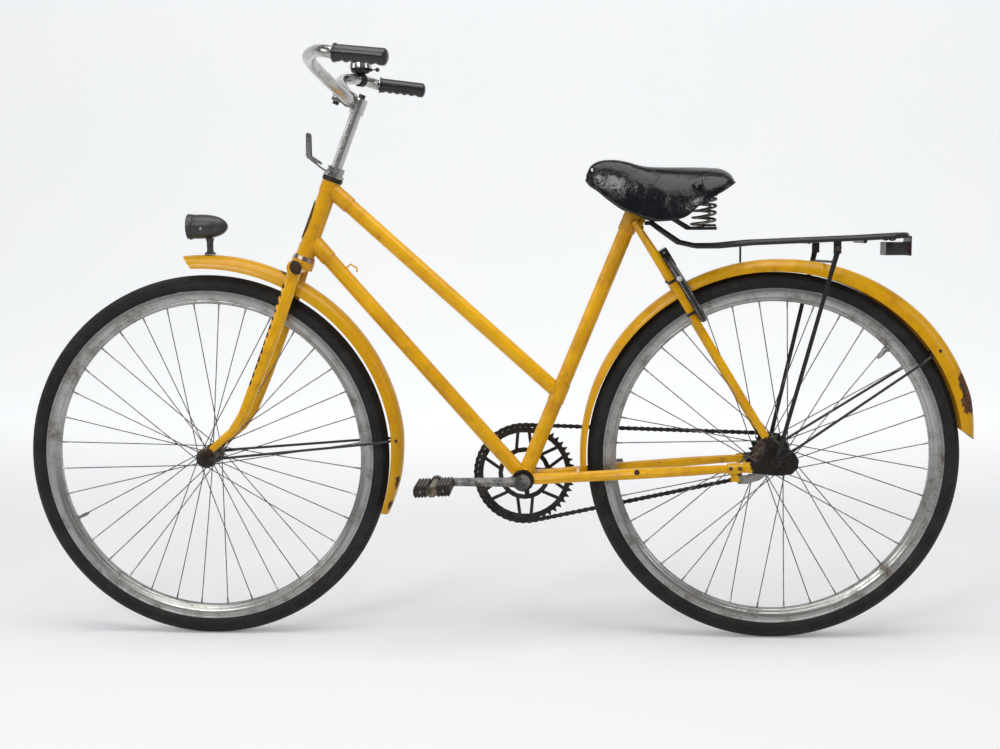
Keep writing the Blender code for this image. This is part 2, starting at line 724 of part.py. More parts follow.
def joint_empty(name, place, axis, parent=None):
    """An empty on a joint's axis, its local Z along it."""
    made = bpy.data.objects.new(name, None)
    bpy.context.scene.collection.objects.link(made)
    made.empty_display_size = 0.05
    made.matrix_world = Matrix.Translation(place) @ axis.to_track_quat("Z", "Y").to_matrix().to_4x4()
    bpy.context.view_layer.update()
    if parent is not None:
        world = made.matrix_world.copy()
        made.parent = parent
        made.matrix_parent_inverse = parent.matrix_world.inverted()
        made.matrix_world = world
        bpy.context.view_layer.update()
    return made


# The frame


def main_tube(start, end):
    """A hollow frame tube between two points, open at both ends."""
    way = (end - start).normalized() * LAP
    tube = rod(start, end, MAIN_TUBE_RADIUS)
    return cut(tube, bore(start - way, end + way, MAIN_TUBE_RADIUS - TUBE_WALL))


def lug_socket(start, towards):
    """The sleeve that takes a tube's end, hollowed for it."""
    way = (towards - start).normalized()
    sleeve = rod(start + way * LUG_START, start + way * LUG_LENGTH, MAIN_TUBE_RADIUS + LUG_WALL)
    return cut(sleeve, bore(start, start + way * (LUG_LENGTH + LAP), MAIN_TUBE_RADIUS + GAP))


def head_body():
    """The head tube's outside, as a full round."""
    return rod(steer(HEAD_TUBE_START), steer(HEAD_TUBE_START + HEAD_TUBE_LENGTH), HEAD_TUBE_RADIUS)


def head_space():
    """The room that the head tube takes from the tubes which meet it, longer than the tube itself."""
    top = HEAD_TUBE_START + HEAD_TUBE_LENGTH
    radius = HEAD_TUBE_RADIUS + COLLAR_WALL + GAP
    return bore(steer(HEAD_TUBE_START - LUG_LENGTH), steer(top + LUG_LENGTH), radius)


def seat_body():
    """The seat tube's outside, as a full round."""
    return rod(seat(0.0), seat(SEAT_TUBE_LENGTH), SEAT_TUBE_RADIUS)


def seat_space(extra):
    """The room that the seat tube takes from the tubes which meet it."""
    return bore(seat(0.0), seat(SEAT_TUBE_LENGTH), SEAT_TUBE_RADIUS + extra)


def shell_body():
    """The bottom bracket shell's outside, as a full round."""
    half = Y_AXIS * SHELL_HALF_WIDTH
    return rod(BRACKET - half, BRACKET + half, SHELL_RADIUS)


def shell_space():
    """The room that the bottom-bracket shell takes from the tubes which meet it."""
    half = Y_AXIS * (SHELL_HALF_WIDTH + GAP)
    return bore(BRACKET - half, BRACKET + half, SHELL_RADIUS + GAP)


def make_head_tube():
    """The head tube with its lugs, bored for the headset cups."""
    top = HEAD_TUBE_START + HEAD_TUBE_LENGTH
    ring = HEAD_TUBE_RADIUS + COLLAR_WALL
    upper = lug_socket(steer(TOP_TUBE_PLACE), seat(TOP_TUBE_REACH))
    lower = lug_socket(steer(DOWN_TUBE_PLACE), BRACKET)
    upper_ring = rod(steer(top - LUG_RING_HEIGHT), steer(top), ring)
    lower_ring = rod(steer(HEAD_TUBE_START), steer(HEAD_TUBE_START + LUG_RING_HEIGHT), ring)
    shape = joined(head_body(), upper, lower, upper_ring, lower_ring)
    cut(shape, bore(steer(HEAD_TUBE_START - LAP), steer(top + LAP), HEAD_TUBE_BORE))
    return piece("head_tube", shape, yellow_paint())


def make_top_tube():
    """The top tube of the open frame, from the head to the seat tube."""
    tube = main_tube(steer(TOP_TUBE_PLACE), seat(TOP_TUBE_REACH))
    cut(tube, head_space(), seat_space(COLLAR_WALL + GAP))
    return piece("top_tube", tube, yellow_paint())


def make_down_tube():
    """The down tube with its pump peg, from the head to the bottom bracket shell."""
    tube = main_tube(steer(DOWN_TUBE_PLACE), BRACKET)
    cut(tube, head_space(), shell_space(), seat_space(GAP))
    return piece("down_tube", joined(tube, pump_peg()), yellow_paint())


def pump_peg():
    """The bent wire on the down tube that holds a pump's end."""
    way = (BRACKET - steer(DOWN_TUBE_PLACE)).normalized()
    out = Vector((-way.z, 0.0, way.x))
    if out.z < 0:
        out = -out
    foot = steer(DOWN_TUBE_PLACE) + way * PEG_PLACE
    points = [foot + out * (MAIN_TUBE_RADIUS - TUBE_WALL / 2),
              foot + out * (MAIN_TUBE_RADIUS + PEG_HEIGHT * 0.7),
              foot + out * (MAIN_TUBE_RADIUS + PEG_HEIGHT) + way * PEG_HEIGHT,
              foot + out * (MAIN_TUBE_RADIUS + PEG_HEIGHT * 0.6) + way * PEG_HEIGHT * 1.4]
    return swept(points, PEG_RADIUS, 6)


def make_seat_tube():
    """The seat tube with its lug and the bottom bracket shell."""
    lug = rod(seat(SEAT_TUBE_LENGTH - SEAT_LUG_HEIGHT), seat(SEAT_TUBE_LENGTH), SEAT_LUG_RADIUS)
    collar_half = MAIN_TUBE_RADIUS + LUG_WALL * 3
    collar = rod(seat(TOP_TUBE_REACH - collar_half), seat(TOP_TUBE_REACH + collar_half),
                 SEAT_TUBE_RADIUS + COLLAR_WALL)
    behind = Vector((SEAT_UP.z, 0.0, -SEAT_UP.x))
    ear_centre = seat(SEAT_TUBE_LENGTH - EAR_HEIGHT / 2) + behind * (SEAT_LUG_RADIUS + EAR_REACH / 2 - LAP)
    ear = block(ear_centre, behind, SEAT_UP, (EAR_REACH, EAR_HEIGHT, EAR_WIDTH))
    bolt_half = Y_AXIS * (EAR_WIDTH / 2 + SEAT_BOLT_HEAD)
    bolt = rod(ear_centre - bolt_half, ear_centre + bolt_half, SEAT_BOLT_RADIUS, 6)
    shape = joined(seat_body(), shell_body(), lug, collar, ear, bolt)
    half = Y_AXIS * (SHELL_HALF_WIDTH + LAP)
    cut(shape, bore(BRACKET - half, BRACKET + half, SHELL_BORE))
    cut(shape, bore(seat(SHELL_BORE * 0.5), seat(SEAT_TUBE_LENGTH + LAP), SEAT_BORE, 12))
    return piece("seat_tube", shape, yellow_paint())


def dropout(side):
    """The plate that holds the rear axle, with the tab for the seat stay."""
    hole = circle(AXLE_RADIUS + GAP * 2, 12, (0.0, WHEEL_RADIUS))
    middle = Y_AXIS * (side * (DROPOUT_INSIDE + DROPOUT_THICKNESS / 2))
    return plate([DROPOUT_OUTLINE, hole], middle, X_AXIS, Z_AXIS, DROPOUT_THICKNESS)


def chainstay_body(side, extra):
    """A chainstay from the shell, inside the chainring and past the tyre, to its dropout."""
    middle = DROPOUT_INSIDE + DROPOUT_THICKNESS / 2
    ahead, out = CHAINSTAY_START
    path = [BRACKET + Vector((ahead, side * out, 0.0))]
    path += [Vector((x, side * place, z)) for x, place, z in CHAINSTAY_PLACES]
    path += [Vector((x, side * middle, z)) for x, z in CHAINSTAY_END]
    thick = CHAINSTAY_RADIUS + extra
    thin = CHAINSTAY_END_RADIUS + extra
    sizes = [thick, thick, (thick, thick - CHAINSTAY_FLAT), thick, (thick + thin) / 2, thin,
             (thin, DROPOUT_THICKNESS)]
    return swept(path, sizes, 10)


def make_chainstay(side):
    """A chainstay with its dropout, and on the left one the bridge that reaches the right one."""
    shape = joined(chainstay_body(side, 0.0), dropout(side))
    if side == LEFT:
        middle = polar(REAR_HUB, GUARD_BRIDGE_RADIUS, CHAINSTAY_BRIDGE_ANGLE)
        bridge = make_bridge(middle, CHAINSTAY_BRIDGE_HALF)
        shape = joined(shape, cut(bridge, chainstay_body(RIGHT, GAP)))
    cut(shape, shell_space())
    return piece("chainstay_" + SIDE_NAMES[side], shape, yellow_paint())


def make_bridge(middle, half_length):
    """A short round bridge across the bicycle."""
    return rod(middle - Y_AXIS * half_length, middle + Y_AXIS * half_length, BRIDGE_RADIUS, 10)


def seatstay_path(side):
    """The middle line of a seat stay, from the seat lug down to the dropout."""
    end = DROPOUT_INSIDE + DROPOUT_THICKNESS + STAY_END_HALF + GAP
    path = [Vector((x, side * place, z)) for x, place, z in SEATSTAY_PLACES]
    return path + [Vector((x, side * end, z)) for x, z in SEATSTAY_END]


def seatstay_body(side, extra):
    """A seat stay from the lug's side, round the tyre, to its flattened end on the dropout."""
    full = SEATSTAY_RADIUS + extra
    flat = STAY_END_HALF
    sizes = [full * 0.8, full, full, full, (full, SEATSTAY_PRESSED), (full * 1.05, flat),
             (full * 0.9, flat)]
    return swept(seatstay_path(side), sizes, 8)


def make_seatstay(side):
    """A seat stay with its bolt, and on the left one the bridge that reaches the right one."""
    shape = seatstay_body(side, 0.0)
    end = seatstay_path(side)[-1] + STAY_BOLT_SHIFT
    bolt = rod(end, end + Y_AXIS * (side * STAY_BOLT_LENGTH), STAY_BOLT_RADIUS, 6)
    shape = joined(shape, bolt)
    if side == LEFT:
        middle = polar(REAR_HUB, GUARD_BRIDGE_HIGH, SEATSTAY_BRIDGE_ANGLE)
        bridge = make_bridge(middle, SEATSTAY_BRIDGE_HALF)
        shape = joined(shape, cut(bridge, seatstay_body(RIGHT, GAP)))
    top = seat(SEAT_TUBE_LENGTH - SEAT_LUG_HEIGHT - LAP)
    cut(shape, bore(top - SEAT_UP * 0.02, seat(SEAT_TUBE_LENGTH + LAP), SEAT_LUG_RADIUS + GAP))
    return piece("seatstay_" + SIDE_NAMES[side], shape, yellow_paint())


# The headset and the fork


def ring_along(start, end, outside, inside, facets=TUBE_SIDES):
    """A plain ring on the steering axis between two places along it."""
    profile = [(inside, start), (outside, start), (outside, end), (inside, end)]
    return turned(STEER_FOOT, STEER_UP, profile, facets)


def make_lower_cup():
    """The cup pressed into the head tube's lower end, open below for the crown race."""
    top = HEAD_TUBE_START - GAP
    inside = HEAD_TUBE_BORE - GAP
    profile = [(CUP_BORE, top + CUP_DEPTH), (inside, top + CUP_DEPTH), (inside, top), (CUP_RADIUS, top),
               (CUP_RADIUS + CUP_FLARE, top - CUP_HEIGHT), (CUP_RADIUS - 0.001, top - CUP_HEIGHT),
               (CUP_BORE, top - 0.002)]
    return piece("headset_lower_cup", turned(STEER_FOOT, STEER_UP, profile, 14), chrome())


def make_upper_cup():
    """The cup pressed into the head tube's upper end."""
    bottom = HEAD_TUBE_START + HEAD_TUBE_LENGTH + GAP
    inside = HEAD_TUBE_BORE - GAP
    profile = [(CUP_BORE, bottom - CUP_DEPTH), (CUP_BORE, bottom + 0.002),
               (CUP_RADIUS - 0.002, bottom + CUP_HEIGHT),
               (CUP_RADIUS, bottom + CUP_HEIGHT), (CUP_RADIUS, bottom), (inside, bottom),
               (inside, bottom - CUP_DEPTH)]
    return piece("headset_upper_cup", turned(STEER_FOOT, STEER_UP, profile, 14), chrome())


def make_race(joint):
    """The adjusting race that turns in the upper cup."""
    bottom = HEAD_TUBE_START + HEAD_TUBE_LENGTH + CUP_HEIGHT + GAP * 3
    top = bottom + RACE_HEIGHT
    inner = STEERER_RADIUS + GAP
    profile = [(inner, bottom - 0.003), (inner + 0.0010, bottom - 0.003), (CUP_RADIUS - 0.005, bottom),
               (CUP_RADIUS, bottom), (CUP_RADIUS, top), (inner, top)]
    return piece("headset_race", turned(STEER_FOOT, STEER_UP, profile, 14), chrome(), joint)


def bracket_place():
    """Where the lamp bracket lies on the steering axis, above the adjusting race."""
    return HEAD_TUBE_START + HEAD_TUBE_LENGTH + CUP_HEIGHT + RACE_HEIGHT + GAP * 4


def make_locknut(joint):
    """The eight-sided nut that locks the headset."""
    bottom = bracket_place() + STRIP_THICKNESS + GAP
    shape = rod(steer(bottom), steer(bottom + LOCKNUT_HEIGHT), LOCKNUT_RADIUS, 8)
    cut(shape, bore(steer(bottom - LAP), steer(bottom + LOCKNUT_HEIGHT + LAP), STEERER_RADIUS + GAP))
    return piece("headset_locknut", shape, chrome(), joint)


def make_lamp_bracket(joint):
    """A strip that is held under the locknut, runs forward and turns up as a lamp's hanger."""
    low = bracket_place()
    ring = ring_along(low, low + STRIP_THICKNESS, LOCKNUT_RADIUS, STEERER_RADIUS + GAP)
    middle = low + STRIP_THICKNESS / 2
    elbow = LAMP_BRACKET_ELBOW
    tip = LAMP_BRACKET_TIP
    strip = swept([steer(middle, LOCKNUT_RADIUS - 0.003), steer(middle, LOCKNUT_RADIUS + 0.006),
                   elbow + Vector((0.004, 0.0, -0.003)), elbow + Vector((0.0, 0.0, 0.004)), tip],
                  (STRIP_THICKNESS / math.sqrt(2), STRIP_WIDTH / math.sqrt(2)), 4)
    return piece("lamp_bracket", joined(ring, strip), black_paint(), joint)


def blade_path(side):
    """The centre line of a fork blade: straight down, then raked forward to the axle."""
    end = FORK_END_INSIDE + FORK_END_THICKNESS / 2
    spreads = BLADE_SPREADS + [end, end]
    return [steer(row[0], row[1], side * spread) for row, spread in zip(BLADE_ROWS, spreads)]


def make_blade(side):
    """A fork blade, oval at the crown and flattened towards the axle."""
    return swept(blade_path(side), [row[2:] for row in BLADE_ROWS], 8)


def fork_end(side):
    """The flat plate at a blade's foot, with the hole for the front axle."""
    hole = circle(AXLE_RADIUS + GAP * 2, 12)
    outer = circle(0.0115, 12)
    middle = FRONT_HUB + Y_AXIS * (side * (FORK_END_INSIDE + FORK_END_THICKNESS / 2))
    return plate([outer, hole], middle, X_AXIS, Z_AXIS, FORK_END_THICKNESS)


def crown_cap(side):
    """The domed end of the fork crown."""
    face = CROWN_HALF_WIDTH - LAP
    profile = [(0.0, face), (CROWN_RADIUS + 0.0008, face), (CROWN_RADIUS, face + 0.0022),
               (CROWN_RADIUS * 0.6, face + 0.0052), (0.0, face + 0.0062)]
    return turned(steer(CROWN_PLACE, CROWN_AHEAD), Y_AXIS * side, profile, 10)


def make_fork(joint):
    """Steerer, crown race, crown, two blades and their ends, brazed into one."""
    half = Y_AXIS * CROWN_HALF_WIDTH
    centre = steer(CROWN_PLACE, CROWN_AHEAD)
    steerer_top = bracket_place() + STRIP_THICKNESS + LOCKNUT_HEIGHT - 0.003
    race_top = HEAD_TUBE_START - GAP * 2 - CUP_HEIGHT
    crown = rod(centre - half, centre + half, CROWN_RADIUS, 12)
    steerer = rod(steer(CROWN_PLACE), steer(steerer_top), STEERER_RADIUS)
    race = rod(steer(CROWN_PLACE), steer(race_top), CUP_RADIUS + CUP_FLARE, 14)
    shapes = [steerer, race]
    for side in (LEFT, RIGHT):
        shapes += [crown_cap(side), make_blade(side), fork_end(side)]
    shape = joined(crown, *shapes)
    cut(shape, bore(steer(CROWN_PLACE + 0.010), steer(steerer_top + LAP), STEERER_BORE))
    return piece("fork", shape, yellow_paint(), joint)


# The stem and the handlebar


def bar_centre():
    """The middle of the handlebar in the stem's clamp."""
    return steer(STEM_PLACE, STEM_REACH)


def make_stem(joint):
    """The quill with the clamp for the handlebar at its head."""
    centre = bar_centre()
    quill_top = STEM_PLACE + 0.009
    quill = rod(steer(QUILL_FOOT), steer(quill_top - LAP * 2), QUILL_RADIUS)
    head = rod(steer(STEM_PLACE - 0.022), steer(quill_top), QUILL_RADIUS + 0.0030)
    clamp_half = Y_AXIS * BAR_CLAMP_HALF_WIDTH
    outside = BAR_RADIUS + BAR_CLAMP_WALL
    clamp = rod(centre - clamp_half, centre + clamp_half, outside)
    ear_centre = centre + STEER_AHEAD * (outside + EAR_OUT / 2 - 0.003) - STEER_UP * 0.004
    ears = block(ear_centre, STEER_AHEAD, STEER_UP, (EAR_OUT, CLAMP_EAR_HEIGHT, CLAMP_EAR_WIDTH))
    shape = joined(quill, head, clamp, ears)
    bore_half = Y_AXIS * (BAR_CLAMP_HALF_WIDTH + LAP)
    cut(shape, bore(centre - bore_half, centre + bore_half, BAR_RADIUS + GAP))
    slit = block(ear_centre, STEER_AHEAD, STEER_UP, (EAR_OUT + 0.008, 0.0016,
                                                     BAR_CLAMP_HALF_WIDTH * 2 + LAP * 2))
    cut(shape, slit)
    cut(shape, bore(steer(QUILL_FOOT - LAP), steer(quill_top + LAP), EXPANDER_RADIUS + GAP * 2, 8))
    cut(shape, clamp_bolt_space(CLAMP_BOLT_RADIUS + GAP * 2, LAP))
    return piece("stem", shape, chrome(), joint)


def clamp_bolt_place():
    """The middle of the clamp bolt, in the ears ahead of the handlebar."""
    outside = BAR_RADIUS + BAR_CLAMP_WALL
    return bar_centre() + STEER_AHEAD * (outside + EAR_OUT * 0.55 - 0.003) - STEER_UP * 0.004


def clamp_bolt_space(radius, extra):
    """The hole of the stem's clamp bolt, longer than the ears by the extra at each end."""
    half = STEER_UP * (CLAMP_EAR_HEIGHT / 2 + extra)
    return bore(clamp_bolt_place() - half, clamp_bolt_place() + half, radius, 8)


def make_clamp_bolt(joint):
    """The clamp's bolt with its head above the ears and its nut below."""
    half = CLAMP_EAR_HEIGHT / 2 + GAP
    middle = clamp_bolt_place()
    shank = rod(middle - STEER_UP * (half + LAP), middle + STEER_UP * (half + LAP), CLAMP_BOLT_RADIUS, 8)
    head = rod(middle + STEER_UP * half, middle + STEER_UP * (half + 0.005), CLAMP_BOLT_RADIUS * 2, 6)
    nut = rod(middle - STEER_UP * (half + 0.006), middle - STEER_UP * half, CLAMP_BOLT_RADIUS * 2, 6)
    return piece("stem_clamp_bolt", joined(shank, head, nut), dull_steel(), joint)


def make_expander(joint):
    """The long bolt down the quill, with its hexagon above and its wedge below."""
    top = STEM_PLACE + 0.009 + GAP
    shank = rod(steer(QUILL_FOOT - 0.004), steer(top + LAP), EXPANDER_RADIUS, 8)
    head = rod(steer(top), steer(top + 0.008), EXPANDER_RADIUS * 2, 6)
    wedge = rod(steer(QUILL_FOOT - WEDGE_HEIGHT), steer(QUILL_FOOT - GAP), QUILL_RADIUS)
    return piece("expander_bolt", joined(shank, head, wedge), dull_steel(), joint)


def bar_side(side):
    """Half of the handlebar's centre line: out from the clamp, up and back to the grip."""
    centre = bar_centre()
    step, bend_side = BAR_BEND_START
    points = [Vector((centre.x, side * (BAR_CLAMP_HALF_WIDTH + step), centre.z)),
              Vector((centre.x - step, side * bend_side, centre.z + step))]
    points += [Vector((x, side * place, z)) for x, place, z in BAR_PLACES]
    line = smooth_line(points, 2)
    start, way = grip_line(side)
    return line + [start, start + way * (GRIP_LENGTH - BAR_END_SHORT)]


def grip_line(side):
    """Where a grip starts and which way it runs."""
    mirror = Vector((1.0, side, 1.0))
    start = Vector(GRIP_START) * mirror
    way = (Vector(GRIP_WAY) * mirror).normalized()
    return start, way


def make_handlebar(joint):
    """The handlebar, one bent bar from grip to grip."""
    left = bar_side(LEFT)
    right = bar_side(RIGHT)
    path = list(reversed(left)) + right
    return piece("handlebar", swept(path, BAR_RADIUS, BAR_SIDES), chrome(), joint)


def make_grip(side, joint):
    """A rubber grip with finger grooves, closed at its end."""
    start, way = grip_line(side)
    inner = (BAR_RADIUS + GAP) / math.cos(math.pi / 12)
    bulge = GRIP_RADIUS
    dip = GRIP_RADIUS - GRIP_GROOVE
    inner_end = GRIP_LENGTH - BAR_END_SHORT + GAP
    outline = [(inner, GRIP_FLANGE_START), (inner, inner_end), (0.0, inner_end),
               (0.0, GRIP_LENGTH + GRIP_ROUNDING / 3), (bulge * 0.6, GRIP_LENGTH),
               (bulge, GRIP_LENGTH - GRIP_ROUNDING)]
    wavy = GRIP_LENGTH - GRIP_ROUNDING - GRIP_FLANGE_END
    for wave in range(1, GRIP_WAVES):
        along = GRIP_LENGTH - GRIP_ROUNDING - wave * wavy / GRIP_WAVES
        outline.append((dip if wave % 2 else bulge - GAP, along))
    outline.append((bulge + GRIP_FLANGE, GRIP_FLANGE_END))
    outline.append((bulge + GRIP_FLANGE, GRIP_FLANGE_START))
    return piece("grip_" + SIDE_NAMES[side], turned(start, way, outline, 12), black_rubber(), joint)


def bell_seat():
    """The middle and the direction of the handlebar's stretch under the bell."""
    side = bar_side(RIGHT)
    for near, far in zip(side, side[1:]):
        if near.y <= BELL_SIDE <= far.y:
            return (near + far) / 2, (far - near).normalized()
    return side[-2], (side[-1] - side[-2]).normalized()


def bell_foot():
    """The top of the handlebar under the bell."""
    return bell_seat()[0] + Z_AXIS * (BAR_RADIUS + BELL_STRAP)


def make_bell_base(joint):
    """The bell's cup-shaped base with its post and the band round the handlebar."""
    foot = bell_foot()
    post = BELL_POST_RADIUS
    post_top = BELL_FOOT_HEIGHT + BELL_DOME_HEIGHT - BELL_SHEET - GAP
    base_top = BELL_FOOT_HEIGHT - GAP
    disc = turned(foot, Z_AXIS, [(0.0, 0.0), (0.0110, 0.0), (BELL_RADIUS - 0.0030, 0.0045),
                                 (BELL_RADIUS - 0.0020, base_top),
                                 (post, base_top), (post, post_top), (0.0, post_top)], 16)
    middle, way = bell_seat()
    inner = (BAR_RADIUS + GAP) / math.cos(math.pi / 14)
    outer = inner + BELL_BAND_WALL
    half = BELL_BAND_HALF
    band = turned(middle, way, [(inner, -half), (outer, -half), (outer, half), (inner, half)], 14)
    return piece("bell_base", joined(disc, band), black_paint(), joint)


def make_bell_dome(joint):
    """The domed gong, a deep cup of sheet metal over the base."""
    foot = bell_foot() + Z_AXIS * BELL_FOOT_HEIGHT
    rise = BELL_DOME_HEIGHT
    outer = [(0.0, rise), (BELL_RADIUS * 0.55, rise * 0.95), (BELL_RADIUS * 0.86, rise * 0.78),
             (BELL_RADIUS * 0.98, rise * 0.50), (BELL_RADIUS, 0.0)]
    inner = [(BELL_RADIUS - BELL_SHEET, 0.0), (BELL_RADIUS * 0.98 - BELL_SHEET, rise * 0.45),
             (BELL_RADIUS * 0.5, rise * 0.95 - BELL_SHEET), (0.0, rise - BELL_SHEET)]
    return piece("bell_dome", turned(foot, Z_AXIS, outer + inner, 14), chrome(), joint)


def make_bell_lever(joint):
    """The thumb lever beside the bell's base, with its round knob."""
    pivot = bell_lever_pivot()
    way = bell_lever_way()
    knuckle_radius, knuckle_height = BELL_KNUCKLE
    level = pivot + Z_AXIS * (knuckle_height / 2)
    knuckle = rod(pivot, pivot + Z_AXIS * knuckle_height, knuckle_radius, 10)
    arm = block(level + way * knuckle_height, way, Z_AXIS, BELL_ARM)
    radius = BELL_KNOB_RADIUS
    knob = turned(level + way * BELL_KNOB_REACH, Z_AXIS,
                  [(0.0, -radius), (radius * 0.75, -radius * 0.66), (radius, 0.0),
                   (radius * 0.75, radius * 0.66),
                   (0.0, radius)], 10)
    return piece("bell_lever", joined(knuckle, arm, knob), dull_steel(), joint)


def bell_lever_way():
    """The direction from the bell's foot to its thumb lever."""
    return BELL_LEVER_WAY.normalized()


def bell_lever_pivot():
    """The lever's hinge, just outside the bell's base."""
    reach = BELL_RADIUS + BELL_LEVER_GAP + GAP
    return bell_foot() + bell_lever_way() * reach + Z_AXIS * BELL_LEVER_RISE


# The wheels


def wheel_ring(name, hub, profile, material, joint):
    """A ring round a hub, turned so that a flat of it lies square to the floor."""
    grown = 1.0 / math.cos(math.pi / WHEEL_FACETS)
    start = Vector((math.sin(math.pi / WHEEL_FACETS), 0.0, -math.cos(math.pi / WHEEL_FACETS)))
    shape = turned(hub, Y_AXIS, [(radius * grown, along) for radius, along in profile], WHEEL_FACETS,
                   start)
    return piece(name, shape, material, joint)


def make_tyre(name, hub, joint):
    """A tyre with a flat tread, seated on the rim."""
    shoulder = WHEEL_RADIUS - TYRE_SIDE_HEIGHT
    bead = RIM_RADIUS + GAP
    profile = [(WHEEL_RADIUS, -TREAD_HALF_WIDTH), (WHEEL_RADIUS, TREAD_HALF_WIDTH),
               (shoulder, TYRE_HALF_WIDTH),
               (bead, RIM_HALF_WIDTH), (bead, -RIM_HALF_WIDTH), (shoulder, -TYRE_HALF_WIDTH)]
    return wheel_ring(name, hub, profile, black_rubber(), joint)


def make_rim(name, hub, joint):
    """A rim with straight walls and a narrower bed."""
    bed = RIM_RADIUS - RIM_HEIGHT - RIM_WELL_DEPTH
    wall = RIM_RADIUS - RIM_HEIGHT * 0.72
    profile = [(RIM_RADIUS, -RIM_HALF_WIDTH), (RIM_RADIUS, RIM_HALF_WIDTH), (wall, RIM_HALF_WIDTH),
               (bed, RIM_BED_HALF_WIDTH), (bed, -RIM_BED_HALF_WIDTH), (wall, -RIM_HALF_WIDTH)]
    return wheel_ring(name, hub, profile, dull_steel(), joint)


def spoke(hub, flange_radius, side, number, phase):
    """One spoke from its hole in the flange to the rim, crossing three others on its side."""
    step = 360.0 / (SPOKES / 2)
    lean = SPOKE_CROSSES * step * (1 if number % 2 else -1)
    at_hub = phase + number * step + (step / 2 if side == RIGHT else 0.0)
    face = side * (flange_radius[1] + (SPOKE_OFFSET if number % 2 else -SPOKE_OFFSET))
    inner = polar(hub, flange_radius[0] - SPOKE_DEPTH, at_hub, face)
    rim_side = side * (0.0030 + (SPOKE_RIM_OFFSET if number % 2 else -SPOKE_RIM_OFFSET))
    outer = polar(hub, spoke_end_radius(at_hub + lean), at_hub + lean, rim_side)
    return rod(inner, outer, SPOKE_RADIUS, 3)


def spoke_end_radius(degrees):
    """How far a spoke reaches at this angle, just short of the rim's facet there."""
    bed = RIM_RADIUS - RIM_HEIGHT - RIM_WELL_DEPTH
    share = 360.0 / WHEEL_FACETS
    from_flat = (degrees + 90.0 + share / 2) % share - share / 2
    return bed / math.cos(math.radians(from_flat)) - GAP * 1.6


def make_hub(name, hub, profile, flange, facets, joint, phase):
    """The hub's body with its thirty-six spokes."""
    body = turned(hub, Y_AXIS, profile, facets)
    spokes = bmesh.new()
    for side in (LEFT, RIGHT):
        for number in range(SPOKES // 2):
            one = spoke(hub, flange, side, number, phase)
            spokes.from_mesh(one.data)
            bpy.data.objects.remove(one, do_unlink=True)
    shape = joined(body, from_bmesh(spokes, "spokes"))
    return piece(name, shape, dull_steel(), joint)


def make_front_hub(joint):
    """The front hub with its spokes."""
    lip = FRONT_BARREL_RADIUS + 0.0025
    out = FRONT_FLANGE_PLACE + FLANGE_HALF_THICKNESS
    into = FRONT_FLANGE_PLACE - FLANGE_HALF_THICKNESS
    end = out + 0.0030
    right = [(FRONT_BARREL_RADIUS, into), (FRONT_FLANGE_RADIUS, into), (FRONT_FLANGE_RADIUS, out),
             (lip, out),
             (lip, end), (HUB_BORE, end)]
    left = [(radius, -along) for radius, along in reversed(right)]
    flange = (FRONT_FLANGE_RADIUS, FRONT_FLANGE_PLACE)
    return make_hub("front_hub", FRONT_HUB, left + right, flange, 12, joint, FRONT_SPOKE_PHASE)


def make_rear_hub(joint):
    """The rear hub with its brake and its spokes."""
    out = REAR_FLANGE_PLACE + FLANGE_HALF_THICKNESS
    into = REAR_FLANGE_PLACE - FLANGE_HALF_THICKNESS
    left = [(HUB_BORE, -REAR_HUB_LEFT_END), (0.0170, -REAR_HUB_LEFT_END),
            (0.0225, -REAR_HUB_LEFT_END + 0.006),
            (0.0235, -out), (REAR_FLANGE_RADIUS, -out), (REAR_FLANGE_RADIUS, -into),
            (REAR_BARREL_RADIUS, -into)]
    right = [(REAR_BARREL_RADIUS, into), (REAR_FLANGE_RADIUS, into), (REAR_FLANGE_RADIUS, out),
             (0.0200, out),
             (0.0200, REAR_HUB_RIGHT_END), (HUB_BORE, REAR_HUB_RIGHT_END)]
    flange = (REAR_FLANGE_RADIUS, REAR_FLANGE_PLACE)
    return make_hub("rear_hub", REAR_HUB, left + right, flange, 14, joint, REAR_SPOKE_PHASE)


def axle_profile(cone_start, cone_end, collar, nut_start):
    """Half of an axle's outline: the cone in the hub, a collar inside the frame and the nut outside it."""
    nut_end = nut_start + NUT_HEIGHT
    outline = [(AXLE_RADIUS, cone_start - 0.003), (CONE_HUB_RADIUS, cone_start),
               (CONE_HUB_RADIUS, cone_end)]
    if collar is not None:
        outline += [(AXLE_RADIUS, cone_end), (AXLE_RADIUS, collar[0]), (COLLAR_RADIUS, collar[0]),
                    (COLLAR_RADIUS, collar[1])]
        cone_end = collar[1]
    outline += [(AXLE_RADIUS, cone_end), (AXLE_RADIUS, nut_start), (NUT_RADIUS, nut_start),
                (NUT_RADIUS, nut_end),
                (AXLE_RADIUS, nut_end), (AXLE_RADIUS, nut_end + AXLE_END), (0.0, nut_end + AXLE_END)]
    return outline


def mirrored(outline):
    """The outline of the piece on the other side."""
    return [(radius, -along) for radius, along in reversed(outline)]


def make_front_axle(joint):
    """The front axle with its cones inside the hub and its nuts outside the fork ends."""
    nut_start = FORK_END_INSIDE + FORK_END_THICKNESS + STAY_EYE_THICKNESS + GAP * 2
    half = axle_profile(0.0290, FORK_END_INSIDE - GAP, None, nut_start)
    return piece("front_axle", turned(FRONT_HUB, Y_AXIS, mirrored(half) + half, 8), dull_steel(), joint)


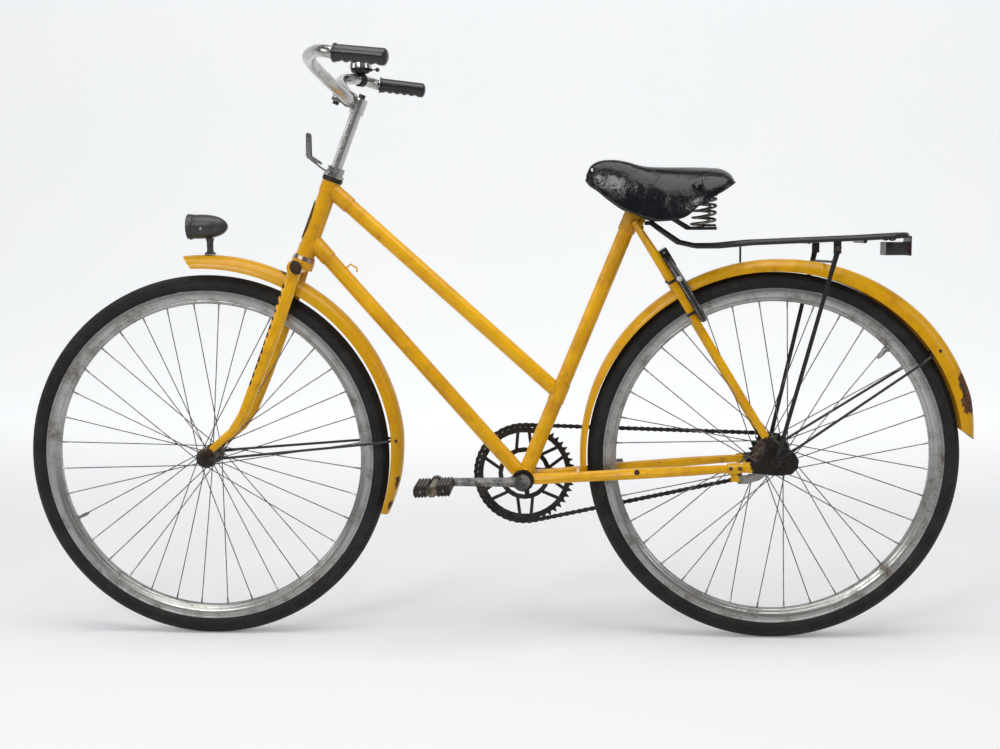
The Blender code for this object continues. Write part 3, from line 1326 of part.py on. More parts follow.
def make_rear_axle():
    """The rear axle: cones in the hub, a collar outside the brake arm and nuts outside the dropouts."""
    nut_start = DROPOUT_INSIDE + DROPOUT_THICKNESS + STAY_EYE_THICKNESS * 2 + GAP * 3
    right = axle_profile(0.0290, DROPOUT_INSIDE - GAP, None, nut_start)
    collar = (REAR_HUB_LEFT_END + BRAKE_ARM_THICKNESS + GAP * 2, DROPOUT_INSIDE - GAP)
    left = axle_profile(0.0290, REAR_HUB_LEFT_END - GAP, collar, nut_start)
    return piece("rear_axle", turned(REAR_HUB, Y_AXIS, mirrored(left) + right, 8), dull_steel())


# The chain drive


def chain_runs():
    """The chain's way: the ring's arc, the lower run, the sprocket's arc and the upper run."""
    line = REAR_HUB - BRACKET
    tilt = math.atan2(line.z, line.x)
    fall = math.acos((pitch_radius(RING_TEETH) - pitch_radius(SPROCKET_TEETH)) / line.length)
    run = line.length * math.sin(fall) / PITCH
    lengths = [RING_TEETH * (1 - fall / math.pi), run, SPROCKET_TEETH * fall / math.pi, run]
    return tilt, fall, lengths


def on_circle(centre, radius, angle):
    """A point of a circle in the bicycle's middle plane."""
    return centre + Vector((math.cos(angle), 0.0, math.sin(angle))) * radius


def chain_place(travelled):
    """A point of the chain's pitch line and the outward direction there, after this many pitches."""
    tilt, fall, lengths = chain_runs()
    ring = pitch_radius(RING_TEETH)
    cog = pitch_radius(SPROCKET_TEETH)
    if travelled < lengths[0]:
        angle = tilt + fall + math.tau * travelled / RING_TEETH
        return on_circle(BRACKET, ring, angle), angle
    travelled -= lengths[0]
    if travelled < lengths[1]:
        angle = tilt - fall
        start = on_circle(BRACKET, ring, angle)
        return start.lerp(on_circle(REAR_HUB, cog, angle), travelled / lengths[1]), angle
    travelled -= lengths[1]
    if travelled < lengths[2]:
        angle = tilt - fall + math.tau * travelled / SPROCKET_TEETH
        return on_circle(REAR_HUB, cog, angle), angle
    travelled -= lengths[2]
    angle = tilt + fall
    start = on_circle(REAR_HUB, cog, angle)
    return start.lerp(on_circle(BRACKET, ring, angle), travelled / lengths[3]), angle


def pin_places():
    """Every pin of the chain, with the outward angle there."""
    whole = sum(chain_runs()[2])
    return [chain_place(whole * number / CHAIN_LINKS) for number in range(CHAIN_LINKS)]


def gap_angle(centre, teeth):
    """The angle of a pin that sits between two teeth of this wheel."""
    radius = pitch_radius(teeth)
    seated = [angle for place,
              angle in pin_places() if abs((place - centre).length - radius) < PITCH * 1e-4]
    return seated[len(seated) // 2]


def toothed_outline(teeth, phase):
    """The outline of a toothed wheel, a gap at the phase angle and after each tooth."""
    radius = pitch_radius(teeth)
    step = math.tau / teeth
    tooth = [(-TOOTH_HALF_BASE, -TOOTH_ROOT), (0.0, TOOTH_HEIGHT), (TOOTH_HALF_BASE, -TOOTH_ROOT)]
    outline = []
    for number in range(teeth):
        for turn, height in tooth:
            angle = phase + step * (number + 0.5 + turn)
            outline.append(((radius + height) * math.cos(angle), (radius + height) * math.sin(angle)))
    return outline


def arc_points(radius, start, end, count):
    """Points of an arc between two angles in degrees."""
    points = []
    for step in range(count):
        angle = math.radians(start + (end - start) * step / (count - 1))
        points.append((radius * math.cos(angle), radius * math.sin(angle)))
    return points


def ring_windows():
    """The chainring's openings: narrow ones inside each pair of arms and wide ones between the pairs."""
    outer = RING_WINDOW_OUTER
    inner = RING_WINDOW_INNER
    arm_outer = math.degrees(RING_ARM_HALF / outer)
    arm_inner = math.degrees(RING_ARM_HALF / inner)
    share = 360.0 / RING_PAIRS
    windows = []
    for pair in range(RING_PAIRS):
        middle = RING_PAIR_PHASE + share * pair
        near = RING_PAIR_INNER - arm_inner
        far = RING_PAIR_OUTER - arm_outer
        windows.append(arc_points(inner, middle - near, middle + near, 3)
                       + arc_points(outer, middle + far, middle - far, 2))
        near = RING_PAIR_INNER + arm_inner
        far = RING_PAIR_OUTER + arm_outer
        windows.append(arc_points(inner, middle + near, middle + share - near, 3)
                       + arc_points(outer, middle + share - far, middle + far, 5))
    return windows + spider_windows()


def spider_windows():
    """The openings between the spider's arms, inside the chainring's inner ring."""
    edge = RING_SPIDER_OUTER
    arm = math.degrees(RING_SPIDER_HALF / edge)
    foot = math.degrees(RING_SPIDER_HALF / RING_SPIDER_INNER)
    share = 360.0 / SPIDER_ARMS
    windows = []
    for number in range(SPIDER_ARMS):
        middle = SPIDER_PHASE + share * number
        windows.append(arc_points(RING_SPIDER_INNER, middle + foot, middle + share - foot, 2)
                       + arc_points(edge, middle + share - arm, middle + arm, 4))
    return windows


def make_chain(joint):
    """A hundred and ten links: two rows of plates and a roller on each pin between them."""
    shape = bmesh.new()
    rows = []
    for place, angle in pin_places():
        out = Vector((math.cos(angle), 0.0, math.sin(angle)))
        along = Vector((-out.z, 0.0, out.x))
        row = {}
        for side in (LEFT, RIGHT):
            for layer, offset in (("in", PLATE_INSIDE), ("out", PLATE_OUTSIDE)):
                shift = Y_AXIS * (CHAIN_LINE + side * offset)
                row["top", side, layer] = shape.verts.new(place + out * PLATE_HALF_HEIGHT + shift)
                row["low", side, layer] = shape.verts.new(place - out * PLATE_HALF_HEIGHT + shift)
            shift = Y_AXIS * (CHAIN_LINE + side * PLATE_INSIDE)
            row["ahead", side, "in"] = shape.verts.new(place + along * ROLLER_HALF_WIDTH + shift)
            row["behind", side, "in"] = shape.verts.new(place - along * ROLLER_HALF_WIDTH + shift)
        rows.append(row)
    for number, row in enumerate(rows):
        link_faces(shape, row, rows[(number + 1) % CHAIN_LINKS])
    return piece("chain", from_bmesh(shape), dark_steel(), joint)


def link_faces(shape, row, after):
    """The faces of one link and of the roller at its first pin."""
    for side in (LEFT, RIGHT):
        shape.faces.new((row["top", side, "out"], after["top", side, "out"],
                         after["low", side, "out"], row["low", side, "out"]))
        shape.faces.new((row["top", side, "in"], after["top", side, "in"],
                         after["behind", side, "in"], row["ahead", side, "in"]))
        shape.faces.new((row["ahead", side, "in"], after["behind", side, "in"],
                         after["low", side, "in"], row["low", side, "in"]))
        for edge in ("top", "low"):
            shape.faces.new((row[edge, side, "in"], after[edge, side, "in"],
                             after[edge, side, "out"], row[edge, side, "out"]))
    around = ("top", "ahead", "low", "behind")
    for one, two in zip(around, around[1:] + around[:1]):
        shape.faces.new((row[one, LEFT, "in"], row[two, LEFT, "in"], row[two, RIGHT, "in"],
                         row[one, RIGHT, "in"]))


def make_sprocket(joint):
    """The rear sprocket on its driver beside the hub."""
    phase = gap_angle(REAR_HUB, SPROCKET_TEETH)
    centre = REAR_HUB + Y_AXIS * CHAIN_LINE
    disc = plate([toothed_outline(SPROCKET_TEETH, phase)], centre, X_AXIS, Z_AXIS,
                 RING_HALF_THICKNESS * 2)
    start = REAR_HUB_RIGHT_END + GAP
    driver = rod(REAR_HUB + Y_AXIS * start, REAR_HUB + Y_AXIS * (CHAIN_LINE + 0.0040), 0.0215, 14)
    shape = joined(disc, driver)
    cut(shape, bore(REAR_HUB, REAR_HUB + Y_AXIS * (CHAIN_LINE + 0.01), HUB_BORE))
    return piece("rear_sprocket", shape, dark_steel(), joint)


def pedal_centre(side):
    """The middle of a pedal."""
    return BRACKET + X_AXIS * (side * CRANK_LENGTH)


def crank_arm(side):
    """A crank: boss, tapering arm, pedal eye and the pedal's spindle."""
    inside = side * CRANK_INSIDE
    outside = side * (CRANK_INSIDE + CRANK_THICKNESS)
    boss_start = side * (CRANK_INSIDE - LAP if side == LEFT else CHAIN_LINE - RING_HALF_THICKNESS - LAP / 2)
    boss = rod(BRACKET + Y_AXIS * boss_start, BRACKET + Y_AXIS * (outside + side * 0.002),
               CRANK_BOSS_RADIUS, 14)
    middle = Y_AXIS * ((inside + outside) / 2)
    half = CRANK_THICKNESS / 2
    path = [BRACKET + middle, BRACKET + X_AXIS * (side * 0.030) + middle, pedal_centre(side) + middle]
    arm = swept(path, [(0.0130, half), (0.0100, half * 0.9), (0.0085, half * 0.85)], 6)
    eye_centre = pedal_centre(side)
    eye = rod(eye_centre + Y_AXIS * inside, eye_centre + Y_AXIS * outside, 0.0125, 10)
    spindle = rod(eye_centre + middle, eye_centre + Y_AXIS * (outside + side * PEDAL_SPINDLE_LENGTH),
                  PEDAL_SPINDLE_RADIUS, 10)
    bolt_face = BRACKET + Y_AXIS * (outside + side * 0.001)
    bolt = rod(bolt_face, bolt_face + Y_AXIS * (side * 0.004), 0.0080, 6)
    return joined(arm, boss, eye, spindle, bolt)


def spindle_bore(side):
    """The space in a crank for the spindle's end."""
    end = BRACKET + Y_AXIS * (side * (SPINDLE_HALF_LENGTH + GAP))
    return bore(BRACKET, end, SPINDLE_RADIUS + GAP)


def make_crank_left(joint):
    """The left crank with its pedal spindle."""
    return piece("crank_left", cut(crank_arm(LEFT), spindle_bore(LEFT)), dull_steel(), joint)


def make_crank_right(joint):
    """The right crank with the chainring riveted to its boss."""
    phase = gap_angle(BRACKET, RING_TEETH)
    outlines = [toothed_outline(RING_TEETH, phase)] + ring_windows()
    ring = plate(outlines, BRACKET + Y_AXIS * CHAIN_LINE, X_AXIS, Z_AXIS, RING_HALF_THICKNESS * 2)
    shape = cut(joined(ring, crank_arm(RIGHT)), spindle_bore(RIGHT))
    return piece("crank_right", shape, dark_steel(), joint)


def make_bracket_cup(side):
    """A bearing cup in the shell's end, with its flange outside."""
    inner = SPINDLE_RADIUS + 0.0013
    face = SHELL_HALF_WIDTH + GAP
    inside = SHELL_BORE * math.cos(math.pi / TUBE_SIDES) - GAP * 2
    profile = [(inner, 0.020), (inside, 0.020), (inside, face), (CUP_FLANGE_RADIUS, face),
               (CUP_FLANGE_RADIUS, CUP_FLANGE_END), (inner, CUP_FLANGE_END)]
    shape = turned(BRACKET, Y_AXIS * side, profile, 14)
    return piece("bracket_cup_" + SIDE_NAMES[side], shape, dark_steel())


def make_bracket_spindle(joint):
    """The spindle that joins both cranks."""
    half = SPINDLE_HALF_LENGTH
    bump = SPINDLE_RADIUS + 0.0040
    profile = [(0.0, -half), (SPINDLE_RADIUS, -half), (SPINDLE_RADIUS, -0.019), (bump, -0.013),
               (bump, 0.013),
               (SPINDLE_RADIUS, 0.019), (SPINDLE_RADIUS, half), (0.0, half)]
    return piece("bracket_spindle", turned(BRACKET, Y_AXIS, profile, 14), dull_steel(), joint)


def make_pedal(side, joint):
    """A block pedal: a core on the spindle, two rubber blocks and two end plates."""
    centre = pedal_centre(side)
    start = CRANK_INSIDE + CRANK_THICKNESS + PEDAL_GAP
    end = start + PEDAL_LENGTH
    right = Vector((math.cos(PEDAL_TILT), 0.0, math.sin(PEDAL_TILT)))
    up = Vector((-right.z, 0.0, right.x))
    core = rod(centre + Y_AXIS * (side * start), centre + Y_AXIS * (side * end),
               PEDAL_SPINDLE_RADIUS + 0.0035, 12)
    shapes = []
    for across_way in (-1, 1):
        middle = centre + right * (across_way * PEDAL_BLOCK_PLACE) + Y_AXIS * (side * (start + end) / 2)
        shapes.append(block(middle, right, up, (PEDAL_BLOCK_WIDTH, PEDAL_BLOCK_HEIGHT,
                                                PEDAL_LENGTH - PEDAL_PLATE_THICKNESS * 2)))
    for place in (start + PEDAL_PLATE_THICKNESS / 2, end - PEDAL_PLATE_THICKNESS / 2):
        plate_middle = centre + Y_AXIS * (side * place)
        shapes.append(plate([PEDAL_PLATE_OUTLINE], plate_middle, right, up, PEDAL_PLATE_THICKNESS))
    shape = joined(core, *shapes)
    room = PEDAL_SPINDLE_RADIUS + 0.0006
    reach = CRANK_INSIDE + CRANK_THICKNESS + PEDAL_SPINDLE_LENGTH + GAP * 2
    cut(shape, bore(centre + Y_AXIS * (side * (start - LAP)), centre + Y_AXIS * (side * reach), room, 14))
    return piece("pedal_" + SIDE_NAMES[side], shape, black_rubber(), joint)


# Mudguards and their stays


def guard_row(rows, degrees):
    """Crown radius, edge radius and half width of a mudguard at an angle, between its given rows."""
    for one, two in zip(rows, rows[1:]):
        low, high = min(one[0], two[0]), max(one[0], two[0])
        if low <= degrees <= high:
            share = (degrees - one[0]) / (two[0] - one[0])
            return [a + (b - a) * share for a, b in zip(one[1:], two[1:])]
    return list(rows[0][1:])


def guard_section(crown, edge, half):
    """The outline across a mudguard: the sheet's outer side and then its inner side."""
    depth = crown - edge
    outer = [(edge, -half), (edge + depth * GUARD_SHOULDER, -half * 0.80), (crown, 0.0),
             (edge + depth * GUARD_SHOULDER, half * 0.80), (edge, half)]
    inner = [(edge, half - GUARD_SHEET), (edge + depth * 0.60 - GUARD_SHEET * 0.7,
                                          half * 0.80 - GUARD_SHEET * 0.7),
             (crown - GUARD_SHEET * 1.2, 0.0), (edge + depth * 0.60 - GUARD_SHEET * 0.7,
                                                GUARD_SHEET * 0.7 - half * 0.80),
             (edge, GUARD_SHEET - half)]
    return outer + inner


def guard_sheet(hub, rows, steps, tip_cut):
    """The bent sheet of a mudguard, its first end cut on the slant."""
    shape = bmesh.new()
    first, last = rows[0][0], rows[-1][0]
    rings = []
    for step in range(steps + 1):
        degrees = first + (last - first) * step / steps
        crown, edge, half = guard_row(rows, degrees)
        ring = []
        for radius, side in guard_section(crown, edge, half):
            lag = tip_cut * (crown - radius) / (crown - edge) if step == 0 else 0.0
            ring.append(shape.verts.new(polar(hub, radius, degrees + lag, side)))
        rings.append(ring)
    count = len(rings[0])
    for one, two in zip(rings, rings[1:]):
        for number in range(count):
            after = (number + 1) % count
            shape.faces.new((one[number], one[after], two[after], two[number]))
    for ring in (rings[0], rings[-1]):
        for number in range(4):
            shape.faces.new((ring[number], ring[number + 1], ring[8 - number], ring[9 - number]))
    return from_bmesh(shape)


def make_front_guard(joint):
    """The front mudguard with the bracket that fixes it under the fork crown."""
    sheet = guard_sheet(FRONT_HUB, FRONT_GUARD_ROWS, FRONT_GUARD_STEPS, -2.6)
    crown_centre = steer(CROWN_PLACE, CROWN_AHEAD)
    out = (crown_centre - FRONT_HUB).normalized()
    angle = math.degrees(math.atan2(out.z, out.x))
    low = guard_row(FRONT_GUARD_ROWS, angle)[0] - GUARD_SHEET
    high = (crown_centre - FRONT_HUB).length - CROWN_RADIUS - GAP
    middle = FRONT_HUB + out * ((low + high) / 2)
    bracket = block(middle, Vector((out.z, 0.0, -out.x)), out, (0.014, high - low, 0.016))
    return piece("front_mudguard", joined(sheet, bracket), yellow_paint(), joint)


def make_rear_guard():
    """The rear mudguard."""
    return piece("rear_mudguard", guard_sheet(REAR_HUB, REAR_GUARD_ROWS, REAR_GUARD_STEPS, 4.0),
                 yellow_paint())


def guard_stay(hub, rows, eye_side, angle, out_radius):
    """A wire stay: from an eye on the axle to the guard, across inside it and back to the other eye."""
    crown, edge, half = guard_row(rows, angle)
    shoulder = half * GUARD_FOLD
    rise = (crown - edge) * (1 - GUARD_SHOULDER) / shoulder
    room = GUARD_SHEET * 2.5 + STAY_RADIUS + GAP
    beyond = half + STAY_RADIUS * 2
    turn_radius = edge + (crown - edge) * 0.30
    inner = shoulder * 0.45
    arms = []
    for side in (LEFT, RIGHT):
        arm = [polar(hub, radius, angle, side * (eye_side + out)) for radius, out in STAY_STARTS]
        arm.append(polar(hub, out_radius - STAY_BEND, angle, side * beyond))
        arm.append(polar(hub, turn_radius, angle, side * (shoulder - room)))
        arm.append(polar(hub, crown - rise * inner - room, angle, side * inner))
        arms.append(arm)
    path = arms[0] + list(reversed(arms[1]))
    flat = (STAY_FLAT_WIDTH, STAY_EYE_THICKNESS * 0.38)
    half_sizes = [flat, flat] + [STAY_RADIUS] * 4
    shapes = [swept(path, half_sizes + list(reversed(half_sizes)), 6)]
    for side in (LEFT, RIGHT):
        hole = circle(AXLE_RADIUS + GAP * 2, 10)
        middle = hub + Y_AXIS * (side * eye_side)
        rim = circle(STAY_EYE_RADIUS, 12)
        shapes.append(plate([rim, hole], middle, X_AXIS, Z_AXIS, STAY_EYE_THICKNESS))
    return joined(*shapes)


def make_front_stay(joint):
    """The front mudguard's stay, one wire on each side."""
    eye_side = FORK_END_INSIDE + FORK_END_THICKNESS + GAP + STAY_EYE_THICKNESS / 2
    stay = guard_stay(FRONT_HUB, FRONT_GUARD_ROWS, eye_side, FRONT_STAY_ANGLE, FRONT_STAY_TURN)
    return piece("front_mudguard_stay", stay, black_paint(), joint)


def make_rear_stay():
    """The rear mudguard's stay, one wire on each side."""
    eye_side = DROPOUT_INSIDE + DROPOUT_THICKNESS + GAP + STAY_EYE_THICKNESS / 2
    stay = guard_stay(REAR_HUB, REAR_GUARD_ROWS, eye_side, REAR_STAY_ANGLE, REAR_STAY_TURN)
    return piece("rear_mudguard_stay", stay, black_paint())


# The headlamp


def make_headlamp(joint):
    """The lamp's bullet-shaped housing on its stand above the front mudguard."""
    front = LAMP_FRONT
    inside = LAMP_RADIUS - LAMP_BEZEL
    profile = [(0.0, LAMP_LENS_DEPTH), (inside, LAMP_LENS_DEPTH), (inside, 0.0),
               (LAMP_RADIUS, 0.0), (LAMP_RADIUS, 0.0100), (LAMP_RADIUS - 0.0012, 0.0120),
               (LAMP_RADIUS - 0.0015, 0.0400),
               (LAMP_RADIUS - 0.0060, 0.0600), (LAMP_RADIUS - 0.0140, 0.0720), (0.0, LAMP_LENGTH)]
    shape = turned(front, X_AXIS, profile, 16)
    foot = polar(FRONT_HUB, guard_row(FRONT_GUARD_ROWS, LAMP_FOOT_ANGLE)[0] + GAP * 2, LAMP_FOOT_ANGLE)
    top = Vector((foot.x, 0.0, front.z - LAMP_RADIUS + LAMP_STAND_SINK))
    base_radius, base_height = LAMP_BASE
    base = rod(foot, foot + Z_AXIS * base_height, base_radius, 10)
    stand = rod(foot + Z_AXIS * LAP, top, LAMP_STAND_RADIUS, 8)
    return piece("headlamp", joined(shape, base, stand), lamp_plastic(), joint)


def make_lens(joint):
    """The lamp's slightly domed front glass."""
    radius = (LAMP_RADIUS - LAMP_BEZEL) * math.cos(math.pi / 16) - GAP
    profile = [(0.0, -0.0030), (radius * 0.7, -0.0015), (radius, 0.0010), (radius, LAMP_LENS_DEPTH - GAP),
               (0.0, LAMP_LENS_DEPTH - GAP)]
    return piece("headlamp_lens", turned(LAMP_FRONT, X_AXIS, profile, 16), clear_glass(), joint)


# The rack and what it carries


def rack_rail(side):
    """The middle line of one side rail, from the front plate to the rear."""
    return [Vector((x, side * place, z)) for x, place, z in RACK_PLACES]


def make_rack():
    """The rack's bent tube with its cross bars, front plate, rear plate, foot and lugs."""
    path = rack_rail(LEFT) + list(reversed(rack_rail(RIGHT)))
    tube = swept(path, RACK_TUBE_RADIUS, 6)
    shapes = []
    half = Y_AXIS * (RACK_HALF_WIDTH - 0.002)
    for place, height in RACK_BARS:
        middle = Vector((place, 0.0, height - RACK_BAR_DROP))
        shapes.append(rod(middle - half, middle + half, RACK_WIRE_RADIUS, 6))
    shapes.append(block(RACK_FRONT, X_AXIS, Z_AXIS, RACK_FRONT_SIZE))
    rear = Vector((RACK_REAR_X - RACK_PLATE / 2, 0.0, RACK_REAR_Z))
    shapes.append(block(rear, Y_AXIS, Z_AXIS, (*RACK_REAR_SIZE, RACK_PLATE)))
    shapes.append(rack_foot())
    for side in (LEFT, RIGHT):
        lug_middle = Vector((RACK_LUG_X - side * RACK_LUG_SKEW, side * RACK_HALF_WIDTH, RACK_LUG_Z))
        shapes.append(block(lug_middle, X_AXIS, Z_AXIS, RACK_LUG_SIZE))
    return piece("rack_frame", joined(tube, *shapes), black_paint())


def rack_foot():
    """The strap from the rack's front bar down to the mudguard."""
    crown = guard_row(REAR_GUARD_ROWS, RACK_FOOT_ANGLE)[0]
    low = polar(REAR_HUB, crown + GAP * 2, RACK_FOOT_ANGLE).z
    middle = Vector((RACK_FOOT_X, 0.0, (low + RACK_FOOT_TOP) / 2))
    width, thickness = RACK_FOOT_SIZE
    return block(middle, Y_AXIS, Z_AXIS, (width, RACK_FOOT_TOP - low, thickness))


def make_rack_stays():
    """Two stays from the rear axle up to the rack's lugs, tied by a cross wire."""
    eye_side = DROPOUT_INSIDE + DROPOUT_THICKNESS + GAP * 2 + STAY_EYE_THICKNESS * 1.5
    top_side = RACK_HALF_WIDTH + 0.002 + GAP + 0.0020
    shapes = []
    crossing = []
    for side in (LEFT, RIGHT):
        top = Vector((RACK_LUG_X - side * RACK_LUG_SKEW, 0.0, RACK_STAY_TOP))
        way = (top - REAR_HUB).normalized()
        crossing.append(top - way * 0.022 + Y_AXIS * (side * top_side))
        path = [REAR_HUB + way * 0.010 + Y_AXIS * (side * eye_side),
                REAR_HUB + way * RACK_STAY_BEND + Y_AXIS * (side * (eye_side + RACK_STAY_BACK)),
                top - way * RACK_STAY_BEND + Y_AXIS * (side * (top_side + RACK_STAY_BACK)),
                top + way * 0.008 + Y_AXIS * (side * top_side)]
        shapes.append(swept(path, RACK_STAY_SIZES, 8))
        hole = circle(AXLE_RADIUS + GAP * 2, 12)
        middle = REAR_HUB + Y_AXIS * (side * eye_side)
        rim = circle(STAY_EYE_RADIUS, 14, phase=0.1)
        shapes.append(plate([rim, hole], middle, X_AXIS, Z_AXIS, STAY_EYE_THICKNESS))
    shapes.append(rod(crossing[0], crossing[1], RACK_STAY_WIRE, 8))
    return piece("rack_stays", joined(shapes[0], *shapes[1:]), black_paint())


def make_reflector():
    """The reflector's housing under the rack's rear end."""
    middle = Vector((RACK_REAR_X - RACK_PLATE - GAP - REFLECTOR_SIZE[0] / 2, 0.0, REFLECTOR_Z))
    shape = block(middle, X_AXIS, Z_AXIS, REFLECTOR_SIZE)
    return piece("reflector", shape, smoke_plastic())


def make_rack_clip(joint):
    """The sprung wire flap that lies on the rack's cross bars."""
    end = RACK_HALF_WIDTH - RACK_TUBE_RADIUS - CLIP_END_GAP
    half = [(0.0, end, 0.0), (0.0, CLIP_ARM, 0.0), (-CLIP_BEND, CLIP_ARM - 0.003, 0.0),
            (-CLIP_REACH, CLIP_ARM - 0.006, -CLIP_DROP),
            (-CLIP_REACH - CLIP_BEND, CLIP_ARM - 0.014, -CLIP_DROP)]
    left = [CLIP_HINGE + Vector((x, -y, z)) for x, y, z in half]
    right = [CLIP_HINGE + Vector(place) for place in reversed(half)]
    return piece("rack_clip", swept(left + right, CLIP_WIRE, 8, Z_AXIS), dull_steel(), joint)


# The ring lock


def lock_centre():
    """The middle of the ring lock, just behind the seat stays."""
    path = seatstay_path(LEFT)
    way = (path[3] - path[2]).normalized()
    way.y = 0.0
    way.normalize()
    behind = Vector((-way.z, 0.0, way.x))
    if behind.x < 0:
        behind = -behind
    middle = path[2].copy()
    middle.y = 0.0
    return middle + behind * (SEATSTAY_RADIUS * math.cos(math.pi / 8) + GAP + LOCK_HALF_DEPTH), behind


def lock_up():
    """The direction in the lock's plane that points away from the wheel's hub."""
    across_way = lock_centre()[1].cross(Y_AXIS)
    return across_way if across_way.z > 0 else -across_way


def lock_point(degrees):
    """A point of the lock's ring: 90 degrees is away from the hub and 270 degrees towards it."""
    angle = math.radians(degrees)
    aim = Y_AXIS * math.cos(angle) + lock_up() * math.sin(angle)
    return lock_centre()[0] + aim * LOCK_RADIUS


def lock_arc(start, end, steps, size, sides):
    """A bent bar along the lock's ring between two angles."""
    points = [lock_point(start + (end - start) * step / steps) for step in range(steps + 1)]
    return swept(points, size, sides, lock_centre()[1])


def make_lock_body():
    """The lock's ring, open towards the spokes, with the channel in which its shackle runs."""
    near = LOCK_LOWEST - LOCK_HALF_GAP
    far = LOCK_LOWEST + LOCK_HALF_GAP
    ring = lock_arc(far - 360, near, 16, (LOCK_RING_HALF, LOCK_HALF_DEPTH * 1.08), 8)
    centre, behind = lock_centre()
    upwards = lock_up()
    case_place = LOCK_RADIUS - LOCK_CASE_HEIGHT * LOCK_CASE_SINK
    case_middle = centre + upwards * case_place + behind * (LOCK_CASE_DEPTH / 2 - LOCK_HALF_DEPTH)
    case = block(case_middle, Y_AXIS, upwards, (LOCK_CASE_WIDTH, LOCK_CASE_HEIGHT, LOCK_CASE_DEPTH))
    shape = joined(ring, case)
    channel = LOCK_WIRE + LOCK_CHANNEL_GAP
    deep_end = near - LOCK_SHACKLE_ARC - LOCK_CHANNEL_LEAD - 2
    cut(shape, lock_arc(near + LOCK_CHANNEL_LEAD, deep_end, 10, channel, 8))
    cut(shape, lock_arc(far - LOCK_CHANNEL_LEAD, far + LOCK_CHANNEL_END, 3, channel, 8))
    return piece("lock_body", shape, black_paint())


def make_shackle(joint):
    """The round bar that slides along the ring and across its opening."""
    start = LOCK_LOWEST - LOCK_HALF_GAP - 2
    bar = lock_arc(start, start - LOCK_SHACKLE_ARC, 10, LOCK_WIRE, 6)
    return piece("lock_shackle", bar, dull_steel(), joint)


# The back-pedal brake's arm


def make_brake_arm():
    """The arm from the hub's left end forward to the clip on the chainstay."""
    face = -(REAR_HUB_LEFT_END + GAP + BRAKE_ARM_THICKNESS / 2)
    hole = circle(AXLE_RADIUS + GAP * 2, 12)
    middle = REAR_HUB + Y_AXIS * face
    shape = plate([BRAKE_ARM_OUTLINE, hole], middle, X_AXIS, Z_AXIS, BRAKE_ARM_THICKNESS)
    return piece("brake_arm", shape, dull_steel())


def make_brake_clip():
    """The band round the left chainstay that takes the brake arm's end."""
    x, z = BRAKE_CLIP_MIDDLE
    middle = Vector((x, -(DROPOUT_INSIDE + DROPOUT_THICKNESS / 2), z))
    inner = (CHAINSTAY_END_RADIUS + GAP * 2) / math.cos(math.pi / 14)
    outer = inner + BRAKE_CLIP_WALL
    half = BRAKE_CLIP_HALF
    profile = [(inner, -half), (outer, -half), (outer, half), (inner, half)]
    band = turned(middle, BRAKE_CLIP_WAY.normalized(), profile, 14)
    ahead, inwards, below = BRAKE_TAB_PLACE
    tab = block(middle + Vector((ahead, inwards, -(inner + below))), X_AXIS, Z_AXIS, BRAKE_TAB_SIZE)
    return piece("brake_clip", joined(band, tab), dull_steel())


# The saddle


def make_seat_post(joint):
    """The seat post."""
    start = SEAT_TUBE_LENGTH - POST_INSERTION
    shape = rod(seat(start), seat(SEAT_TUBE_LENGTH + POST_TOP), POST_RADIUS)
    return piece("seat_post", shape, chrome(), joint)


def saddle_section(x):
    """The section at this place along the saddle, between the given ones."""
    for one, two in zip(SADDLE_SECTIONS, SADDLE_SECTIONS[1:]):
        if one[0] <= x <= two[0]:
            share = (x - one[0]) / (two[0] - one[0])
            return tuple(a + (b - a) * share for a, b in zip(one, two))
    return SADDLE_SECTIONS[0]


def saddle_point(section, share):
    """A point of the cover's outer side, from its left edge at share -1 over the crown to +1."""
    x, crown, half, skirt = section
    bend = abs(share) * math.pi / 2
    side = half * (0.93 * math.sin(bend) + 0.07 * abs(share))
    drop = (crown - skirt) * (1 - math.cos(bend)) ** 1.15
    return Vector((x, math.copysign(side, share), crown - drop))


def make_saddle_cover(joint):
    """The cover: a curved skin with deep skirts, thickened inwards."""
    shape = bmesh.new()
    rows = []
    for section in SADDLE_SECTIONS:
        rows.append([shape.verts.new(saddle_point(section, turn / SADDLE_STEPS))
                     for turn in range(-SADDLE_STEPS, SADDLE_STEPS + 1)])
    for one, two in zip(rows, rows[1:]):
        for number in range(len(one) - 1):
            shape.faces.new((one[number], two[number], two[number + 1], one[number + 1]))
    bmesh.ops.recalc_face_normals(shape, faces=shape.faces)
    skin = from_bmesh(shape)
    thick = skin.modifiers.new("thickness", "SOLIDIFY")
    thick.thickness = SADDLE_THICKNESS
    thick.offset = -1.0 if skin.data.polygons[len(skin.data.polygons) // 2].normal.z > 0 else 1.0
    thick.use_even_offset = True
    graph = bpy.context.evaluated_depsgraph_get()
    mesh = bpy.data.meshes.new_from_object(skin.evaluated_get(graph))
    skin.modifiers.clear()
    skin.data = mesh
    return piece("saddle_cover", skin, black_leather(), joint)


def saddle_pivot():
    """The middle of the round nose bar on which the cover rocks."""
    crown = saddle_section(SADDLE_PIVOT_X)[1]
    return Vector((SADDLE_PIVOT_X, 0.0, crown - SADDLE_THICKNESS - SADDLE_NOSE_DROP - SADDLE_NOSE_RADIUS))


